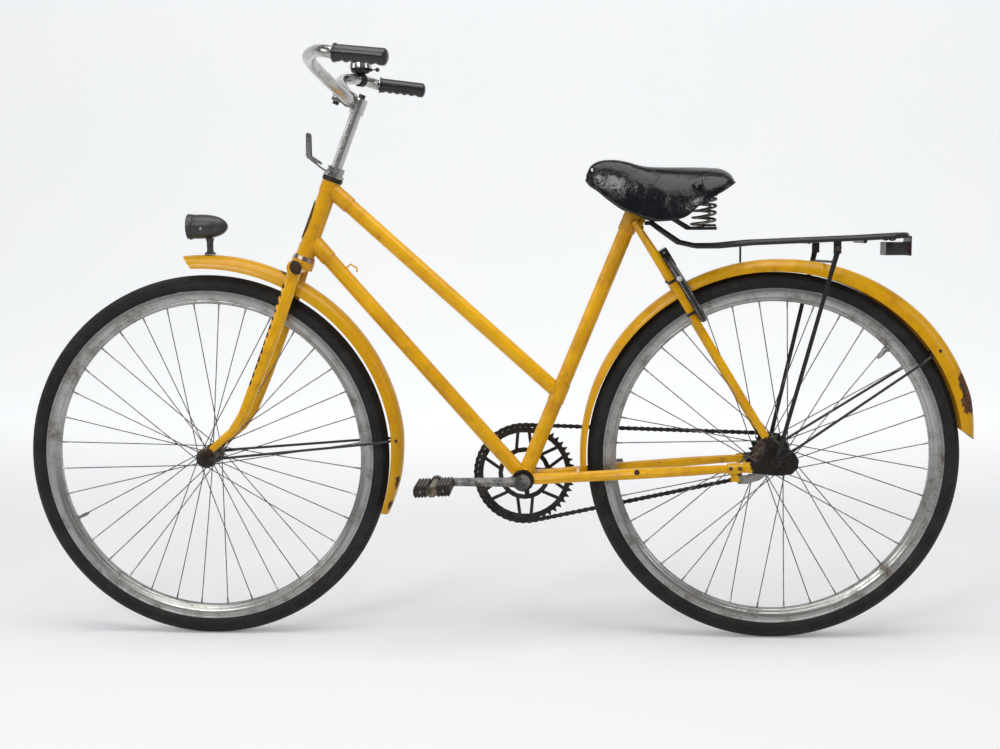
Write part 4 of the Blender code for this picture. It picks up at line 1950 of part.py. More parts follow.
def make_cantle(joint):
    """The pressed bridge that stands on both springs and carries the cover's rear."""
    section = saddle_section(SPRING_X)
    inset = SADDLE_THICKNESS + GAP * 3
    top = []
    for turn in range(-4, 5):
        near = saddle_point(section, (turn - 0.1) * CANTLE_SHARE / 4)
        far = saddle_point(section, (turn + 0.1) * CANTLE_SHARE / 4)
        way = (far - near).normalized()
        middle = (near + far) / 2 + Vector((0.0, way.z, -way.y)) * inset
        top.append((middle.y, middle.z))
    low = SPRING_FOOT + SPRING_HEIGHT + GAP
    foot = low + CANTLE_SHEET / 2
    arch = low + CANTLE_ARCH
    edge = SPRING_SIDE - COIL_RADIUS
    outline = [(top[0][0], foot), (-edge, foot), (-edge + 0.006, arch), (edge - 0.006, arch),
               (edge, foot),
               (top[-1][0], foot)] + list(reversed(top))
    shape = plate([outline], Vector((SPRING_X, 0.0, 0.0)), Y_AXIS, Z_AXIS, CANTLE_SHEET)
    discs = []
    for side in (LEFT, RIGHT):
        centre = Vector((SPRING_X, side * SPRING_SIDE, low))
        discs.append(rod(centre, centre + Z_AXIS * CANTLE_SHEET, COIL_RADIUS + COIL_WIRE, 12))
    return piece("saddle_cantle", joined(shape, *discs), dark_steel(), joint)


def spring_place(side):
    """The foot of one saddle spring."""
    return Vector((SPRING_X, side * SPRING_SIDE, SPRING_FOOT))


def make_spring(side, joint):
    """One coil spring, wound from a single wire with its ends closed flat."""
    curve = bpy.data.curves.new("coil", "CURVE")
    curve.dimensions = "3D"
    curve.bevel_depth = COIL_WIRE
    curve.bevel_resolution = 1
    curve.use_fill_caps = True
    line = curve.splines.new("POLY")
    count = COIL_TURNS * COIL_POINTS
    line.points.add(count)
    foot = spring_place(side)
    for number, point in enumerate(line.points):
        share = number / count
        angle = math.tau * COIL_TURNS * share
        radius = COIL_RADIUS * (1.0 - COIL_WAIST * math.sin(math.pi * share))
        height = COIL_WIRE + (SPRING_HEIGHT - COIL_WIRE * 2) * share
        point.co = (foot.x + radius * math.cos(angle), foot.y + radius * math.sin(angle), foot.z + height,
                    1.0)
    coil = bpy.data.objects.new("coil", curve)
    bpy.context.scene.collection.objects.link(coil)
    graph = bpy.context.evaluated_depsgraph_get()
    mesh = bpy.data.meshes.new_from_object(coil.evaluated_get(graph))
    bpy.data.objects.remove(coil, do_unlink=True)
    pitch = (SPRING_HEIGHT - COIL_WIRE * 2) / COIL_TURNS
    print(f"least gap between the spring's curls {(pitch - COIL_WIRE * 2) * 1000:.2f} mm")
    return piece("saddle_spring_" + SIDE_NAMES[side], to_object("coil", mesh), dull_steel(), joint)


def saddle_wire(side, bar_middle):
    """The middle line of one frame wire, from the nose past the clamp's bolt to the spring's seat."""
    foot = spring_place(side)
    points = [Vector((x, side * place, z)) for x, place, z in SADDLE_WIRE_START]
    points.append(Vector((bar_middle.x, side * SADDLE_WIRE_AT_BOLT, bar_middle.z)))
    x, place, z = SADDLE_WIRE_REAR
    points.append(Vector((x, side * place, z)))
    for ahead, inwards in SADDLE_WIRE_FOOT:
        points.append(foot + Vector((-ahead, -side * inwards, -SADDLE_WIRE_DROP)))
    return points


def make_saddle_frame(joint):
    """The saddle's wire frame with the clamp round the seat post and the seats of the springs."""
    clamp_low = seat(SEAT_TUBE_LENGTH + SADDLE_CLAMP_START)
    clamp_high = seat(SEAT_TUBE_LENGTH + POST_TOP - SADDLE_CLAMP_SHORT)
    clamp = rod(clamp_low, clamp_high, POST_RADIUS + SADDLE_CLAMP_WALL, 16)
    shapes = []
    bar_middle = seat(SEAT_TUBE_LENGTH + SADDLE_BOLT_PLACE)
    bolt_radius, bolt_half = SADDLE_BOLT
    shapes.append(rod(bar_middle - Y_AXIS * bolt_half, bar_middle + Y_AXIS * bolt_half, bolt_radius, 10))
    for side in (LEFT, RIGHT):
        foot = spring_place(side)
        shapes.append(swept(saddle_wire(side, bar_middle), SADDLE_WIRE, 6))
        shapes.append(rod(foot - Z_AXIS * SPRING_SEAT, foot - Z_AXIS * GAP, COIL_RADIUS + COIL_WIRE, 12))
    pivot = saddle_pivot()
    nose_middle = Vector((pivot.x, 0.0, (pivot.z + SADDLE_NOSE_LOW) / 2))
    nose_depth, nose_width = SADDLE_NOSE_SIZE
    nose = block(nose_middle, X_AXIS, Z_AXIS, (nose_depth, pivot.z - SADDLE_NOSE_LOW, nose_width))
    nose_half = Y_AXIS * SADDLE_NOSE_HALF
    nose_bar = rod(pivot - nose_half, pivot + nose_half, SADDLE_NOSE_RADIUS, 12)
    cross = rod(spring_place(LEFT) + SADDLE_CROSS, spring_place(RIGHT) + SADDLE_CROSS,
                SADDLE_CROSS_RADIUS, 6)
    shape = joined(clamp, *shapes, nose, nose_bar, cross)
    cut(shape, bore(seat(SEAT_TUBE_LENGTH - 0.02), seat(SEAT_TUBE_LENGTH + POST_TOP + 0.02),
                    POST_RADIUS + GAP))
    return piece("saddle_frame", shape, dull_steel(), joint)


def build_frame():
    """Builds the frame's tubes and stays."""
    make_head_tube()
    make_top_tube()
    make_down_tube()
    make_seat_tube()
    for side in (LEFT, RIGHT):
        make_chainstay(side)
        make_seatstay(side)
        make_bracket_cup(side)
    make_lower_cup()
    make_upper_cup()
    make_rear_guard()
    make_rear_stay()
    make_rack()
    make_rack_stays()
    make_reflector()
    make_lock_body()
    make_rear_axle()
    make_brake_arm()
    make_brake_clip()


def build_steering():
    """Builds all that turns with the handlebar."""
    steering = joint_empty("steering_axis", STEER_FOOT, STEER_UP)
    make_fork(steering)
    make_race(steering)
    make_locknut(steering)
    make_lamp_bracket(steering)
    make_front_guard(steering)
    make_front_stay(steering)
    make_headlamp(steering)
    make_lens(steering)
    make_front_axle(steering)
    stem = joint_empty("stem_axis", steer(STEM_PLACE), STEER_UP, steering)
    make_stem(stem)
    make_clamp_bolt(stem)
    make_expander(stem)
    bar = joint_empty("handlebar_axis", bar_centre(), Y_AXIS, stem)
    make_handlebar(bar)
    for side in (LEFT, RIGHT):
        make_grip(side, bar)
    make_bell_base(bar)
    make_bell_dome(bar)
    make_bell_lever(joint_empty("bell_lever_axis", bell_lever_pivot(), Z_AXIS, bar))
    wheel = joint_empty("front_wheel_axis", FRONT_HUB, Y_AXIS, steering)
    make_tyre("front_tyre", FRONT_HUB, wheel)
    make_rim("front_rim", FRONT_HUB, wheel)
    make_front_hub(wheel)


def build_drive():
    """Builds the rear wheel, the cranks, the pedals, the chain and the sprocket."""
    wheel = joint_empty("rear_wheel_axis", REAR_HUB, Y_AXIS)
    make_tyre("rear_tyre", REAR_HUB, wheel)
    make_rim("rear_rim", REAR_HUB, wheel)
    make_rear_hub(wheel)
    make_sprocket(joint_empty("sprocket_axis", REAR_HUB, Y_AXIS))
    crank = joint_empty("crank_axis", BRACKET, Y_AXIS)
    make_bracket_spindle(crank)
    make_crank_left(crank)
    make_crank_right(crank)
    make_chain(None)
    for side in (LEFT, RIGHT):
        make_pedal(side, joint_empty("pedal_axis_" + SIDE_NAMES[side], pedal_centre(side), Y_AXIS, crank))


def build_seat():
    """Builds the seat post and the saddle."""
    post = joint_empty("seat_post_axis", seat(SEAT_TUBE_LENGTH), SEAT_UP)
    make_seat_post(post)
    make_saddle_frame(post)
    cover = joint_empty("saddle_axis", saddle_pivot(), Y_AXIS, post)
    make_saddle_cover(cover)
    make_cantle(cover)
    for side in (LEFT, RIGHT):
        make_spring(side, post)


def build_rear_fittings():
    """Builds the rack's clip and the lock's shackle."""
    make_rack_clip(joint_empty("rack_clip_axis", CLIP_HINGE, Y_AXIS))
    centre, behind = lock_centre()
    make_shackle(joint_empty("lock_axis", centre, behind))


def main():
    """Builds the whole bicycle."""
    clear_scene()
    build_frame()
    build_steering()
    build_drive()
    build_seat()
    build_rear_fittings()


if __name__ == "__main__":
    main()
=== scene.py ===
"""Dresses a roadster bicycle with an open frame: its finishes, its fine pieces and its studio.

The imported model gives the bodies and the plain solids. Each sub-assembly below is a class that
holds its sizes, builds its pieces in the model's own frame and gives them their finishes.
"""
from __future__ import annotations

import logging
import math
from dataclasses import dataclass, field
from enum import Enum
from typing import Sequence, Union

import bmesh
import bpy
from mathutils import Matrix, Vector


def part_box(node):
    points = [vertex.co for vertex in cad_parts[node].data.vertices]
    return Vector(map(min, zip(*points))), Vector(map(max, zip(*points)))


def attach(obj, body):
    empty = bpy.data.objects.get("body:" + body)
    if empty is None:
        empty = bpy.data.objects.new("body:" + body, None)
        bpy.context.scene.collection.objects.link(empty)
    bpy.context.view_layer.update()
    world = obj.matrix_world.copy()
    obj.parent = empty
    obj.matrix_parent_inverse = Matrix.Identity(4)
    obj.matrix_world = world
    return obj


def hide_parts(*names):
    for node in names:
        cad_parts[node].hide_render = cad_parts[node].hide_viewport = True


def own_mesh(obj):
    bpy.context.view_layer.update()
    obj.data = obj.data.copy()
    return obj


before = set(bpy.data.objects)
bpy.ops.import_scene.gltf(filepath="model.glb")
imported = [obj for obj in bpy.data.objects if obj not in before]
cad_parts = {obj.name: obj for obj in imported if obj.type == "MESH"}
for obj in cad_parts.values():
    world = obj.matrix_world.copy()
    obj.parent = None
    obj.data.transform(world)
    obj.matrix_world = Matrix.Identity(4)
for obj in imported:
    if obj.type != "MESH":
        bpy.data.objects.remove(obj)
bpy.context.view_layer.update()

LOG = logging.getLogger("bicycle")
POINT_RADIUS = 1e-7
X_AXIS = Vector((1.0, 0.0, 0.0))
Y_AXIS = Vector((0.0, 1.0, 0.0))
Z_AXIS = Vector((0.0, 0.0, 1.0))
REAR_HUB = Vector((0.0, 0.0, 0.356))
FRONT_HUB = Vector((-1.100, 0.0, 0.356))
BRACKET = Vector((-0.48038, 0.0, 0.314))
STEER_FOOT = Vector((-1.058923, 0.0, 0.340232))
STEER_UP = Vector((0.358368, 0.0, 0.933580))
STEER_AHEAD = Vector((-0.933580, 0.0, 0.358368))

Pair = tuple[float, float]
Triple = tuple[float, float, float]
Row = tuple[float, float, float, float]
Colour = tuple[float, float, float, float]
Size = Union[float, Pair]


class Side(Enum):
    """The two sides of the bicycle, as the sign of Y."""

    LEFT = -1
    RIGHT = 1

    @property
    def word(self) -> str:
        """The side's name in node names."""
        return self.name.lower()


class Ends(Enum):
    """How a skin over rings of points ends."""

    FLAT = "each end ring gets one face"
    JOINED = "the last ring joins the first"
    SHEET = "each end ring is a thin outline that is closed strip by strip"


def spot(x: float, y: float, z: float) -> Vector:
    """A dataclass field that holds a point or a way."""
    return field(default_factory=lambda: Vector((x, y, z)))


def polar(centre: Vector, radius: float, degrees: float, side: float = 0.0) -> Vector:
    """A point round a hub.

    Args:
        centre: The hub's middle.
        radius: The distance from the hub's axis.
        degrees: The angle, 0 backwards and 90 up.
        side: The place along Y.

    Returns:
        The point in the bicycle's frame.
    """
    angle = math.radians(degrees)
    return centre + Vector((radius * math.cos(angle), side, radius * math.sin(angle)))


def steer(along: float, ahead: float = 0.0, side: float = 0.0) -> Vector:
    """A point by its place along the steering axis.

    Args:
        along: The height along the axis.
        ahead: The distance in front of the axis.
        side: The place along Y.

    Returns:
        The point in the bicycle's frame.
    """
    return STEER_FOOT + STEER_UP * along + STEER_AHEAD * ahead + Y_AXIS * side


def across(way: Vector) -> Vector:
    """A unit vector square to a direction.

    Args:
        way: The direction.

    Returns:
        The unit vector, as near to +Y as can be.
    """
    seed = Y_AXIS if abs(way.normalized().y) < 0.9 else Z_AXIS
    return (seed - way * (seed.dot(way) / way.length_squared)).normalized()


def mirrored(half: Sequence[Pair]) -> list[Pair]:
    """A whole profile from its right half.

    Args:
        half: Pairs of radius and place, the last of them at place 0.

    Returns:
        The half and its mirror image.
    """
    return list(half) + [(radius, -place) for radius, place in reversed(half[:-1])]


def smooth_line(points: Sequence[Vector], per_span: int) -> list[Vector]:
    """One smooth curve through given points.

    Args:
        points: The points it passes through.
        per_span: The number of steps between two of them.

    Returns:
        The points of the curve.
    """
    padded = [points[0] * 2 - points[1], *points, points[-1] * 2 - points[-2]]
    line = []
    for a, b, c, d in zip(padded, padded[1:], padded[2:], padded[3:]):
        for step in range(per_span):
            t = step / per_span
            line.append((b * 2 + (c - a) * t + (a * 2 - b * 5 + c * 4 - d) * t ** 2
                         + (b * 3 - a - c * 3 + d) * t ** 3) / 2)
    line.append(points[-1].copy())
    return line


class Value:
    """A shader socket that takes part in Python expressions."""

    def __init__(self, graph: Graph, socket: bpy.types.NodeSocket) -> None:
        """Keeps the socket and the graph that it belongs to."""
        self.graph = graph
        self.socket = socket

    def _maths(self, operation: str, other: Number, swapped: bool = False) -> Value:
        """Adds one Math node.

        Args:
            operation: The node's operation.
            other: The other operand.
            swapped: Whether the other operand comes first.

        Returns:
            The node's result.
        """
        first, second = (other, self) if swapped else (self, other)
        return self.graph.node("ShaderNodeMath", {"operation": operation}, {0: first, 1: second})

    def __add__(self, other: Number) -> Value:
        """The sum."""
        return self._maths("ADD", other)

    __radd__ = __add__

    def __sub__(self, other: Number) -> Value:
        """The difference."""
        return self._maths("SUBTRACT", other)

    def __rsub__(self, other: Number) -> Value:
        """The difference from a number."""
        return self._maths("SUBTRACT", other, True)

    def __mul__(self, other: Number) -> Value:
        """The product."""
        return self._maths("MULTIPLY", other)

    __rmul__ = __mul__

    def __truediv__(self, other: Number) -> Value:
        """The quotient."""
        return self._maths("DIVIDE", other)

    def most(self, other: Number) -> Value:
        """The larger of the two."""
        return self._maths("MAXIMUM", other)

    def sine(self) -> Value:
        """The sine of the value."""
        return self.graph.node("ShaderNodeMath", {"operation": "SINE"}, {0: self})

    def magnitude(self) -> Value:
        """The value without its sign."""
        return self.graph.node("ShaderNodeMath", {"operation": "ABSOLUTE"}, {0: self})

    def rise(self, low: float, high: float) -> Value:
        """A soft step.

        Args:
            low: Where the step starts at 0.
            high: Where it reaches 1; below low for a falling step.

        Returns:
            The step's value.
        """
        inputs = {"Value": self, "From Min": low, "From Max": high, "To Min": 0.0, "To Max": 1.0}
        return self.graph.node("ShaderNodeMapRange", {"interpolation_type": "SMOOTHSTEP"}, inputs)


Number = Union[float, Value]


class Graph:
    """One material's node tree with its Principled shader."""

    def __init__(self, name: str) -> None:
        """Makes an empty material with a Principled shader.

        Args:
            name: The material's name.
        """
        self.material = bpy.data.materials.new(name)
        self.material.use_nodes = True
        self.tree = self.material.node_tree
        self.tree.nodes.clear()
        output = self.tree.nodes.new("ShaderNodeOutputMaterial")
        self.shader = self.tree.nodes.new("ShaderNodeBsdfPrincipled")
        self.tree.links.new(self.shader.outputs[0], output.inputs[0])
        self._place: Value | None = None

    def feed(self, socket: bpy.types.NodeSocket, value: object) -> None:
        """Links a value to a socket, or sets its number.

        Args:
            socket: The input socket.
            value: A Value, a number or a colour.
        """
        if isinstance(value, Value):
            self.tree.links.new(value.socket, socket)
        else:
            socket.default_value = value

    def node(self, kind: str, settings: dict[str, object] | None = None,
             inputs: dict[int | str, object] | None = None, output: int | str = 0) -> Value:
        """Adds a node of any type.

        Args:
            kind: The node's type.
            settings: Its settings; stops are a ramp's (place, colour) pairs.
            inputs: The values or links of its sockets.
            output: Which output is returned.

        Returns:
            The chosen output.
        """
        node = self.tree.nodes.new(kind)
        for key, value in (settings or {}).items():
            if key == "stops":
                for number, (place, colour) in enumerate(value):
                    ramp = node.color_ramp.elements
                    stop = ramp[number] if number < 2 else ramp.new(place)
                    stop.position, stop.color = place, colour
            else:
                setattr(node, key, value)
        for key, value in (inputs or {}).items():
            self.feed(node.inputs[key], value)
        return Value(self, node.outputs[output])

    @property
    def place(self) -> Value:
        """The point on the piece, in the bicycle's frame at rest.

        Returns:
            The point, from one shared node.
        """
        if self._place is None:
            self._place = self.node("ShaderNodeTexCoord", output="Object")
        return self._place

    def axes(self, place: Value | None = None) -> tuple[Value, Value, Value]:
        """Splits a point.

        Args:
            place: The point, or the piece's own.

        Returns:
            Its x, y and z.
        """
        parts = self.node("ShaderNodeSeparateXYZ", inputs={0: place or self.place}).socket.node
        return tuple(Value(self, socket) for socket in parts.outputs)

    def away(self, point: Sequence[float], stretch: Sequence[float] = (1.0, 1.0, 1.0)) -> Value:
        """The distance from a point, with each axis stretched.

        Args:
            point: The point.
            stretch: A factor for each axis.

        Returns:
            The distance.
        """
        moved = self.node("ShaderNodeVectorMath", {"operation": "SUBTRACT"}, {0: self.place, 1: tuple(point)})
        scaled = self.node("ShaderNodeVectorMath", {"operation": "MULTIPLY"}, {0: moved, 1: tuple(stretch)})
        return self.node("ShaderNodeVectorMath", {"operation": "LENGTH"}, {0: scaled}, "Value")

    def noise(self, scale: float, detail: float = 4.0, rough: float = 0.55,
              stretch: Sequence[float] | None = None) -> Value:
        """A noise over the piece.

        Args:
            scale: Its scale, per metre.
            detail: Its number of octaves.
            rough: How strong the fine octaves are.
            stretch: A factor for each axis, for streaks.

        Returns:
            The noise, around 0.5.
        """
        place = self.place
        if stretch is not None:
            place = self.node("ShaderNodeVectorMath", {"operation": "MULTIPLY"},
                              {0: place, 1: tuple(stretch)})
        return self.node("ShaderNodeTexNoise", inputs={"Vector": place, "Scale": scale, "Detail": detail,
                                                       "Roughness": rough})

    def cells(self, scale: float, feature: str = "DISTANCE_TO_EDGE") -> Value:
        """A cell pattern over the piece.

        Args:
            scale: Its scale, per metre.
            feature: What the pattern measures.

        Returns:
            The distance.
        """
        return self.node("ShaderNodeTexVoronoi", {"feature": feature}, {"Vector": self.place, "Scale": scale})

    def blend(self, mask: Number, one: Colour | Value, two: Colour | Value) -> Value:
        """Mixes two colours.

        Args:
            mask: 0 for the first colour and 1 for the second.
            one: The first colour.
            two: The second colour.

        Returns:
            The mixed colour.
        """
        return self.node("ShaderNodeMix", {"data_type": "RGBA"}, {0: mask, 6: one, 7: two}, 2)

    def bump(self, height: Value, depth: float, strength: float = 1.0, before: Value | None = None) -> Value:
        """A bump from a height.

        Args:
            height: The height, 0 to 1.
            depth: What 1 is worth, in metres.
            strength: The bump's strength.
            before: An earlier bump that it adds to.

        Returns:
            The bent normal.
        """
        inputs = {"Height": height, "Distance": depth, "Strength": strength}
        if before is not None:
            inputs["Normal"] = before
        return self.node("ShaderNodeBump", inputs=inputs)

    def set(self, **sockets: object) -> None:
        """Feeds the Principled shader.

        Args:
            **sockets: Socket names, with _ for a space, and their values.
        """
        for key, value in sockets.items():
            self.feed(self.shader.inputs[key.replace("_", " ")], value)


@dataclass(frozen=True)
class Finish:
    """A surface finish that makes one material."""

    name: str

    def paint(self, graph: Graph) -> None:
        """Fills the graph; each finish has its own."""
        raise NotImplementedError

    def material(self) -> bpy.types.Material:
        """The finish's material, made once.

        Returns:
            The material.
        """
        known = bpy.data.materials.get(self.name)
        if known is not None:
            return known
        graph = Graph(self.name)
        self.paint(graph)
        return graph.material


@dataclass(frozen=True)
class Patch:
    """A ragged place where a finish is worn or dark."""

    place: Triple
    reach: float
    stretch: Triple = (1.0, 1.0, 1.0)
    ragged: float = 0.55

    def mask(self, graph: Graph, noise: Value) -> Value:
        """The patch's mask.

        Args:
            graph: The material's graph.
            noise: The noise that frays its edge.

        Returns:
            1 inside the patch.
        """
        near = 1.0 - graph.away(self.place, self.stretch) / self.reach
        return (near + (noise - 0.5) * self.ragged).rise(0.02, 0.10)


@dataclass(frozen=True)
class Enamel(Finish):
    """Brushed-on gloss enamel over steel, chipped, stained and rusty in places."""

    colour: Colour = (0.740, 0.392, 0.004, 1.0)
    deep: Colour = (0.580, 0.275, 0.003, 1.0)
    grime: Colour = (0.085, 0.040, 0.012, 1.0)
    steel: Colour = (0.050, 0.034, 0.024, 1.0)
    rust: Colour = (0.150, 0.052, 0.016, 1.0)
    chips: float = 0.655
    stain: float = 0.22
    gloss: float = 0.26
    coat: float = 0.12
    coat_rough: float = 0.10
    specular: float = 0.22
    patches: tuple[Patch, ...] = ()

    def paint(self, graph: Graph) -> None:
        """Layers tone, stains, chips and bare patches.

        Args:
            graph: The material's graph.
        """
        broad = graph.noise(5.0, 3.0)
        middle = graph.noise(34.0, 6.0, 0.65)
        fine = graph.noise(150.0, 5.0, 0.7)
        speck = graph.noise(420.0, 3.0, 0.6)
        tone = graph.blend((broad * 0.6 + middle * 0.4).rise(0.38, 0.66), self.colour, self.deep)
        film = (middle * 0.6 + broad * 0.4).rise(0.50, 0.74) * self.stain
        tone = graph.blend(film, tone, self.grime)
        freckle = (speck * 0.55 + fine * 0.45).rise(0.64, 0.70) * 0.75
        tone = graph.blend(freckle, tone, self.rust)
        flakes = middle * 0.45 + fine * 0.55
        chip = flakes.rise(self.chips, self.chips + 0.02)
        edge = flakes.rise(self.chips - 0.03, self.chips)
        for patch in self.patches:
            worn = patch.mask(graph, middle * 0.4 + fine * 0.6)
            chip = chip.most(worn)
            edge = edge.most(worn)
        metal = graph.blend(fine.rise(0.42, 0.62), self.steel, self.rust)
        tone = graph.blend(edge * 0.6, tone, self.rust)
        tone = graph.blend(chip, tone, metal)
        peel = graph.bump(graph.noise(260.0, 2.0), 0.0004, 0.25)
        normal = graph.bump(1.0 - chip * 0.8 + fine * 0.12, 0.0003, 0.8, peel)
        rough = self.gloss + film * 0.5 + chip * 0.35 + (fine - 0.5) * 0.12
        graph.set(Base_Color=tone, Roughness=rough, Normal=normal, Coat_Weight=(1.0 - chip) * self.coat,
                  Coat_Roughness=self.coat_rough, Specular_IOR_Level=self.specular)


@dataclass(frozen=True)
class Plating(Finish):
    """Old bright plating: dull, scratched and freckled with rust."""

    colour: Colour = (0.560, 0.550, 0.530, 1.0)
    dull: Colour = (0.270, 0.262, 0.250, 1.0)
    rust: Colour = (0.120, 0.055, 0.025, 1.0)
    age: float = 0.5
    gloss: float = 0.16

    def paint(self, graph: Graph) -> None:
        """Layers bright metal, haze, scratches and rust freckles.

        Args:
            graph: The material's graph.
        """
        broad = graph.noise(26.0, 5.0, 0.6)
        fine = graph.noise(240.0, 5.0, 0.65)
        speck = graph.noise(620.0, 3.0, 0.6)
        scratch = graph.noise(90.0, 3.0, 0.6, (1.0, 9.0, 9.0)).rise(0.60, 0.66)
        haze = (broad * 0.65 + fine * 0.35).rise(0.44, 0.66)
        tone = graph.blend(haze * self.age, self.colour, self.dull)
        pits = (speck * 0.5 + broad * 0.5).rise(0.66 - self.age * 0.10, 0.70 - self.age * 0.08)
        tone = graph.blend(pits, tone, self.rust)
        rough = self.gloss + haze * (0.30 * self.age) + pits * 0.4 + scratch * 0.12
        normal = graph.bump(fine * 0.5 + scratch * 0.3 - pits * 0.6, 0.0002, 0.35)
        graph.set(Base_Color=tone, Roughness=rough, Metallic=1.0 - pits * 0.7, Normal=normal)


@dataclass(frozen=True)
class BareSteel(Finish):
    """Unpainted steel with oil, dirt and rust."""

    colour: Colour = (0.115, 0.100, 0.088, 1.0)
    rust: Colour = (0.105, 0.048, 0.022, 1.0)
    oil: Colour = (0.018, 0.015, 0.013, 1.0)
    rusty: float = 0.5
    metal: float = 0.75

    def paint(self, graph: Graph) -> None:
        """Layers steel, oily dirt and rust.

        Args:
            graph: The material's graph.
        """
        broad = graph.noise(48.0, 5.0, 0.65)
        fine = graph.noise(330.0, 5.0, 0.7)
        dirt = broad.rise(0.58, 0.40)
        spot = (broad * 0.4 + fine * 0.6).rise(0.62 - self.rusty * 0.24, 0.70 - self.rusty * 0.18)
        tone = graph.blend(dirt * 0.75, self.colour, self.oil)
        tone = graph.blend(spot, tone, self.rust)
        rough = 0.38 + spot * 0.38 + fine * 0.12
        normal = graph.bump(fine * 0.6 + spot * 0.5, 0.0004, 0.7)
        graph.set(Base_Color=tone, Roughness=rough, Normal=normal,
                  Metallic=self.metal - spot * (self.metal * 0.85))


@dataclass(frozen=True)
class TyreRubber(Finish):
    """Old tyre rubber round one hub: a worn tread, ribbed shoulders and dusty side walls."""

    hub: Triple = (0.0, 0.0, 0.356)
    colour: Colour = (0.012, 0.012, 0.012, 1.0)
    dust: Colour = (0.070, 0.062, 0.050, 1.0)
    wear: Colour = (0.052, 0.045, 0.036, 1.0)
    blocks: float = 300.0
    specular: float = 0.2

    def paint(self, graph: Graph) -> None:
        """Layers rubber, dust, moulded rings and cross ribs.

        Args:
            graph: The material's graph.
        """
        x, y, z = graph.axes()
        right, up = x - self.hub[0], z - self.hub[2]
        radius = graph.node("ShaderNodeMath", {"operation": "SQRT"}, {0: right * right + up * up})
        angle = graph.node("ShaderNodeMath", {"operation": "ARCTAN2"}, {0: up, 1: right})
        fine = graph.noise(300.0, 5.0, 0.7)
        broad = graph.noise(22.0, 5.0, 0.6)
        tread = radius.rise(0.3505, 0.3535)
        wall = 1.0 - tread
        slant = angle * self.blocks + y.magnitude() * 900.0
        ribs = slant.sine().rise(-0.25, 0.25) * tread
        shoulder = radius.rise(0.3425, 0.3445) * wall
        comb = (angle * (self.blocks * 1.5)).sine().rise(-0.2, 0.2) * shoulder
        rings = (radius * 2600.0).sine() * 0.5 + 0.5
        rings = rings * radius.rise(0.3325, 0.3335) * radius.rise(0.3395, 0.3385)
        dusty = (broad * 0.5 + fine * 0.5).rise(0.44, 0.70)
        tone = graph.blend(dusty * 0.45, self.colour, self.dust)
        tone = graph.blend(tread * (0.35 + broad * 0.4), tone, self.wear)
        tone = graph.blend((1.0 - ribs) * tread * 0.55, tone, self.colour)
        cracks = graph.cells(520.0).rise(0.05, 0.0) * 0.35
        normal = graph.bump(ribs * 0.8 + comb * 0.5 + rings * 0.4 + fine * 0.18 - cracks, 0.0009, 0.8)
        graph.set(Base_Color=tone, Roughness=0.58 + dusty * 0.22, Normal=normal,
                  Specular_IOR_Level=self.specular)


@dataclass(frozen=True)
class Vinyl(Finish):
    """Glossy black leather cloth, grained, creased and scuffed."""

    colour: Colour = (0.0042, 0.0052, 0.0068, 1.0)
    scuff: Colour = (0.030, 0.030, 0.030, 1.0)
    gloss: float = 0.13
    specular: float = 0.32

    def paint(self, graph: Graph) -> None:
        """Layers grain, creases and scuffs.

        Args:
            graph: The material's graph.
        """
        grain = graph.cells(1100.0, "F1")
        fine = graph.noise(500.0, 4.0, 0.6)
        broad = graph.noise(30.0, 5.0, 0.6)
        crease = (graph.noise(17.0, 2.0) - 0.5).magnitude().rise(0.010, 0.0)
        crease = crease * graph.noise(11.0, 1.0).rise(0.48, 0.60)
        scuffs = (broad * 0.45 + fine * 0.55).rise(0.60, 0.70)
        tone = graph.blend(scuffs * 0.75, self.colour, self.scuff)
        soft = graph.bump(graph.noise(55.0, 3.0, 0.5), 0.0030, 0.55)
        folds = graph.bump(1.0 - crease, 0.0012, 0.45, soft)
        normal = graph.bump(grain * 0.5 + fine * 0.3, 0.0003, 0.35, folds)
        graph.set(Base_Color=tone, Roughness=self.gloss + scuffs * 0.35 + broad * 0.10, Normal=normal,
                  Specular_IOR_Level=self.specular)


@dataclass(frozen=True)
class Moulded(Finish):
    """Moulded plastic or rubber, matt from age."""

    colour: Colour = (0.032, 0.033, 0.036, 1.0)
    pale: Colour = (0.085, 0.085, 0.088, 1.0)
    rough: float = 0.45
    wear: float = 0.5
    grain: float = 700.0

    def paint(self, graph: Graph) -> None:
        """Layers tone, bloom and fine scratches.

        Args:
            graph: The material's graph.
        """
        broad = graph.noise(40.0, 5.0, 0.6)
        fine = graph.noise(self.grain, 4.0, 0.65)
        bloom = (broad * 0.5 + fine * 0.5).rise(0.46, 0.68) * self.wear
        tone = graph.blend(bloom, self.colour, self.pale)
        normal = graph.bump(fine, 0.0003, 0.5)
        graph.set(Base_Color=tone, Roughness=self.rough + bloom * 0.3, Normal=normal)


@dataclass(frozen=True)
class Glass(Finish):
    """Clear ribbed lamp glass."""

    colour: Colour = (0.80, 0.83, 0.85, 1.0)
    dust: Colour = (0.35, 0.33, 0.30, 1.0)
    clear: float = 0.75

    def paint(self, graph: Graph) -> None:
        """Sets clear glass with upright flutes.

        Args:
            graph: The material's graph.
        """
        _, y, _ = graph.axes()
        flutes = (y * 1800.0).sine() * 0.5 + 0.5
        dust = graph.noise(120.0, 4.0).rise(0.50, 0.75)
        tone = graph.blend(dust * 0.4, self.colour, self.dust)
        graph.set(Base_Color=tone, Roughness=0.06 + dust * 0.3, Normal=graph.bump(flutes, 0.0006, 0.7),
                  Transmission_Weight=self.clear)


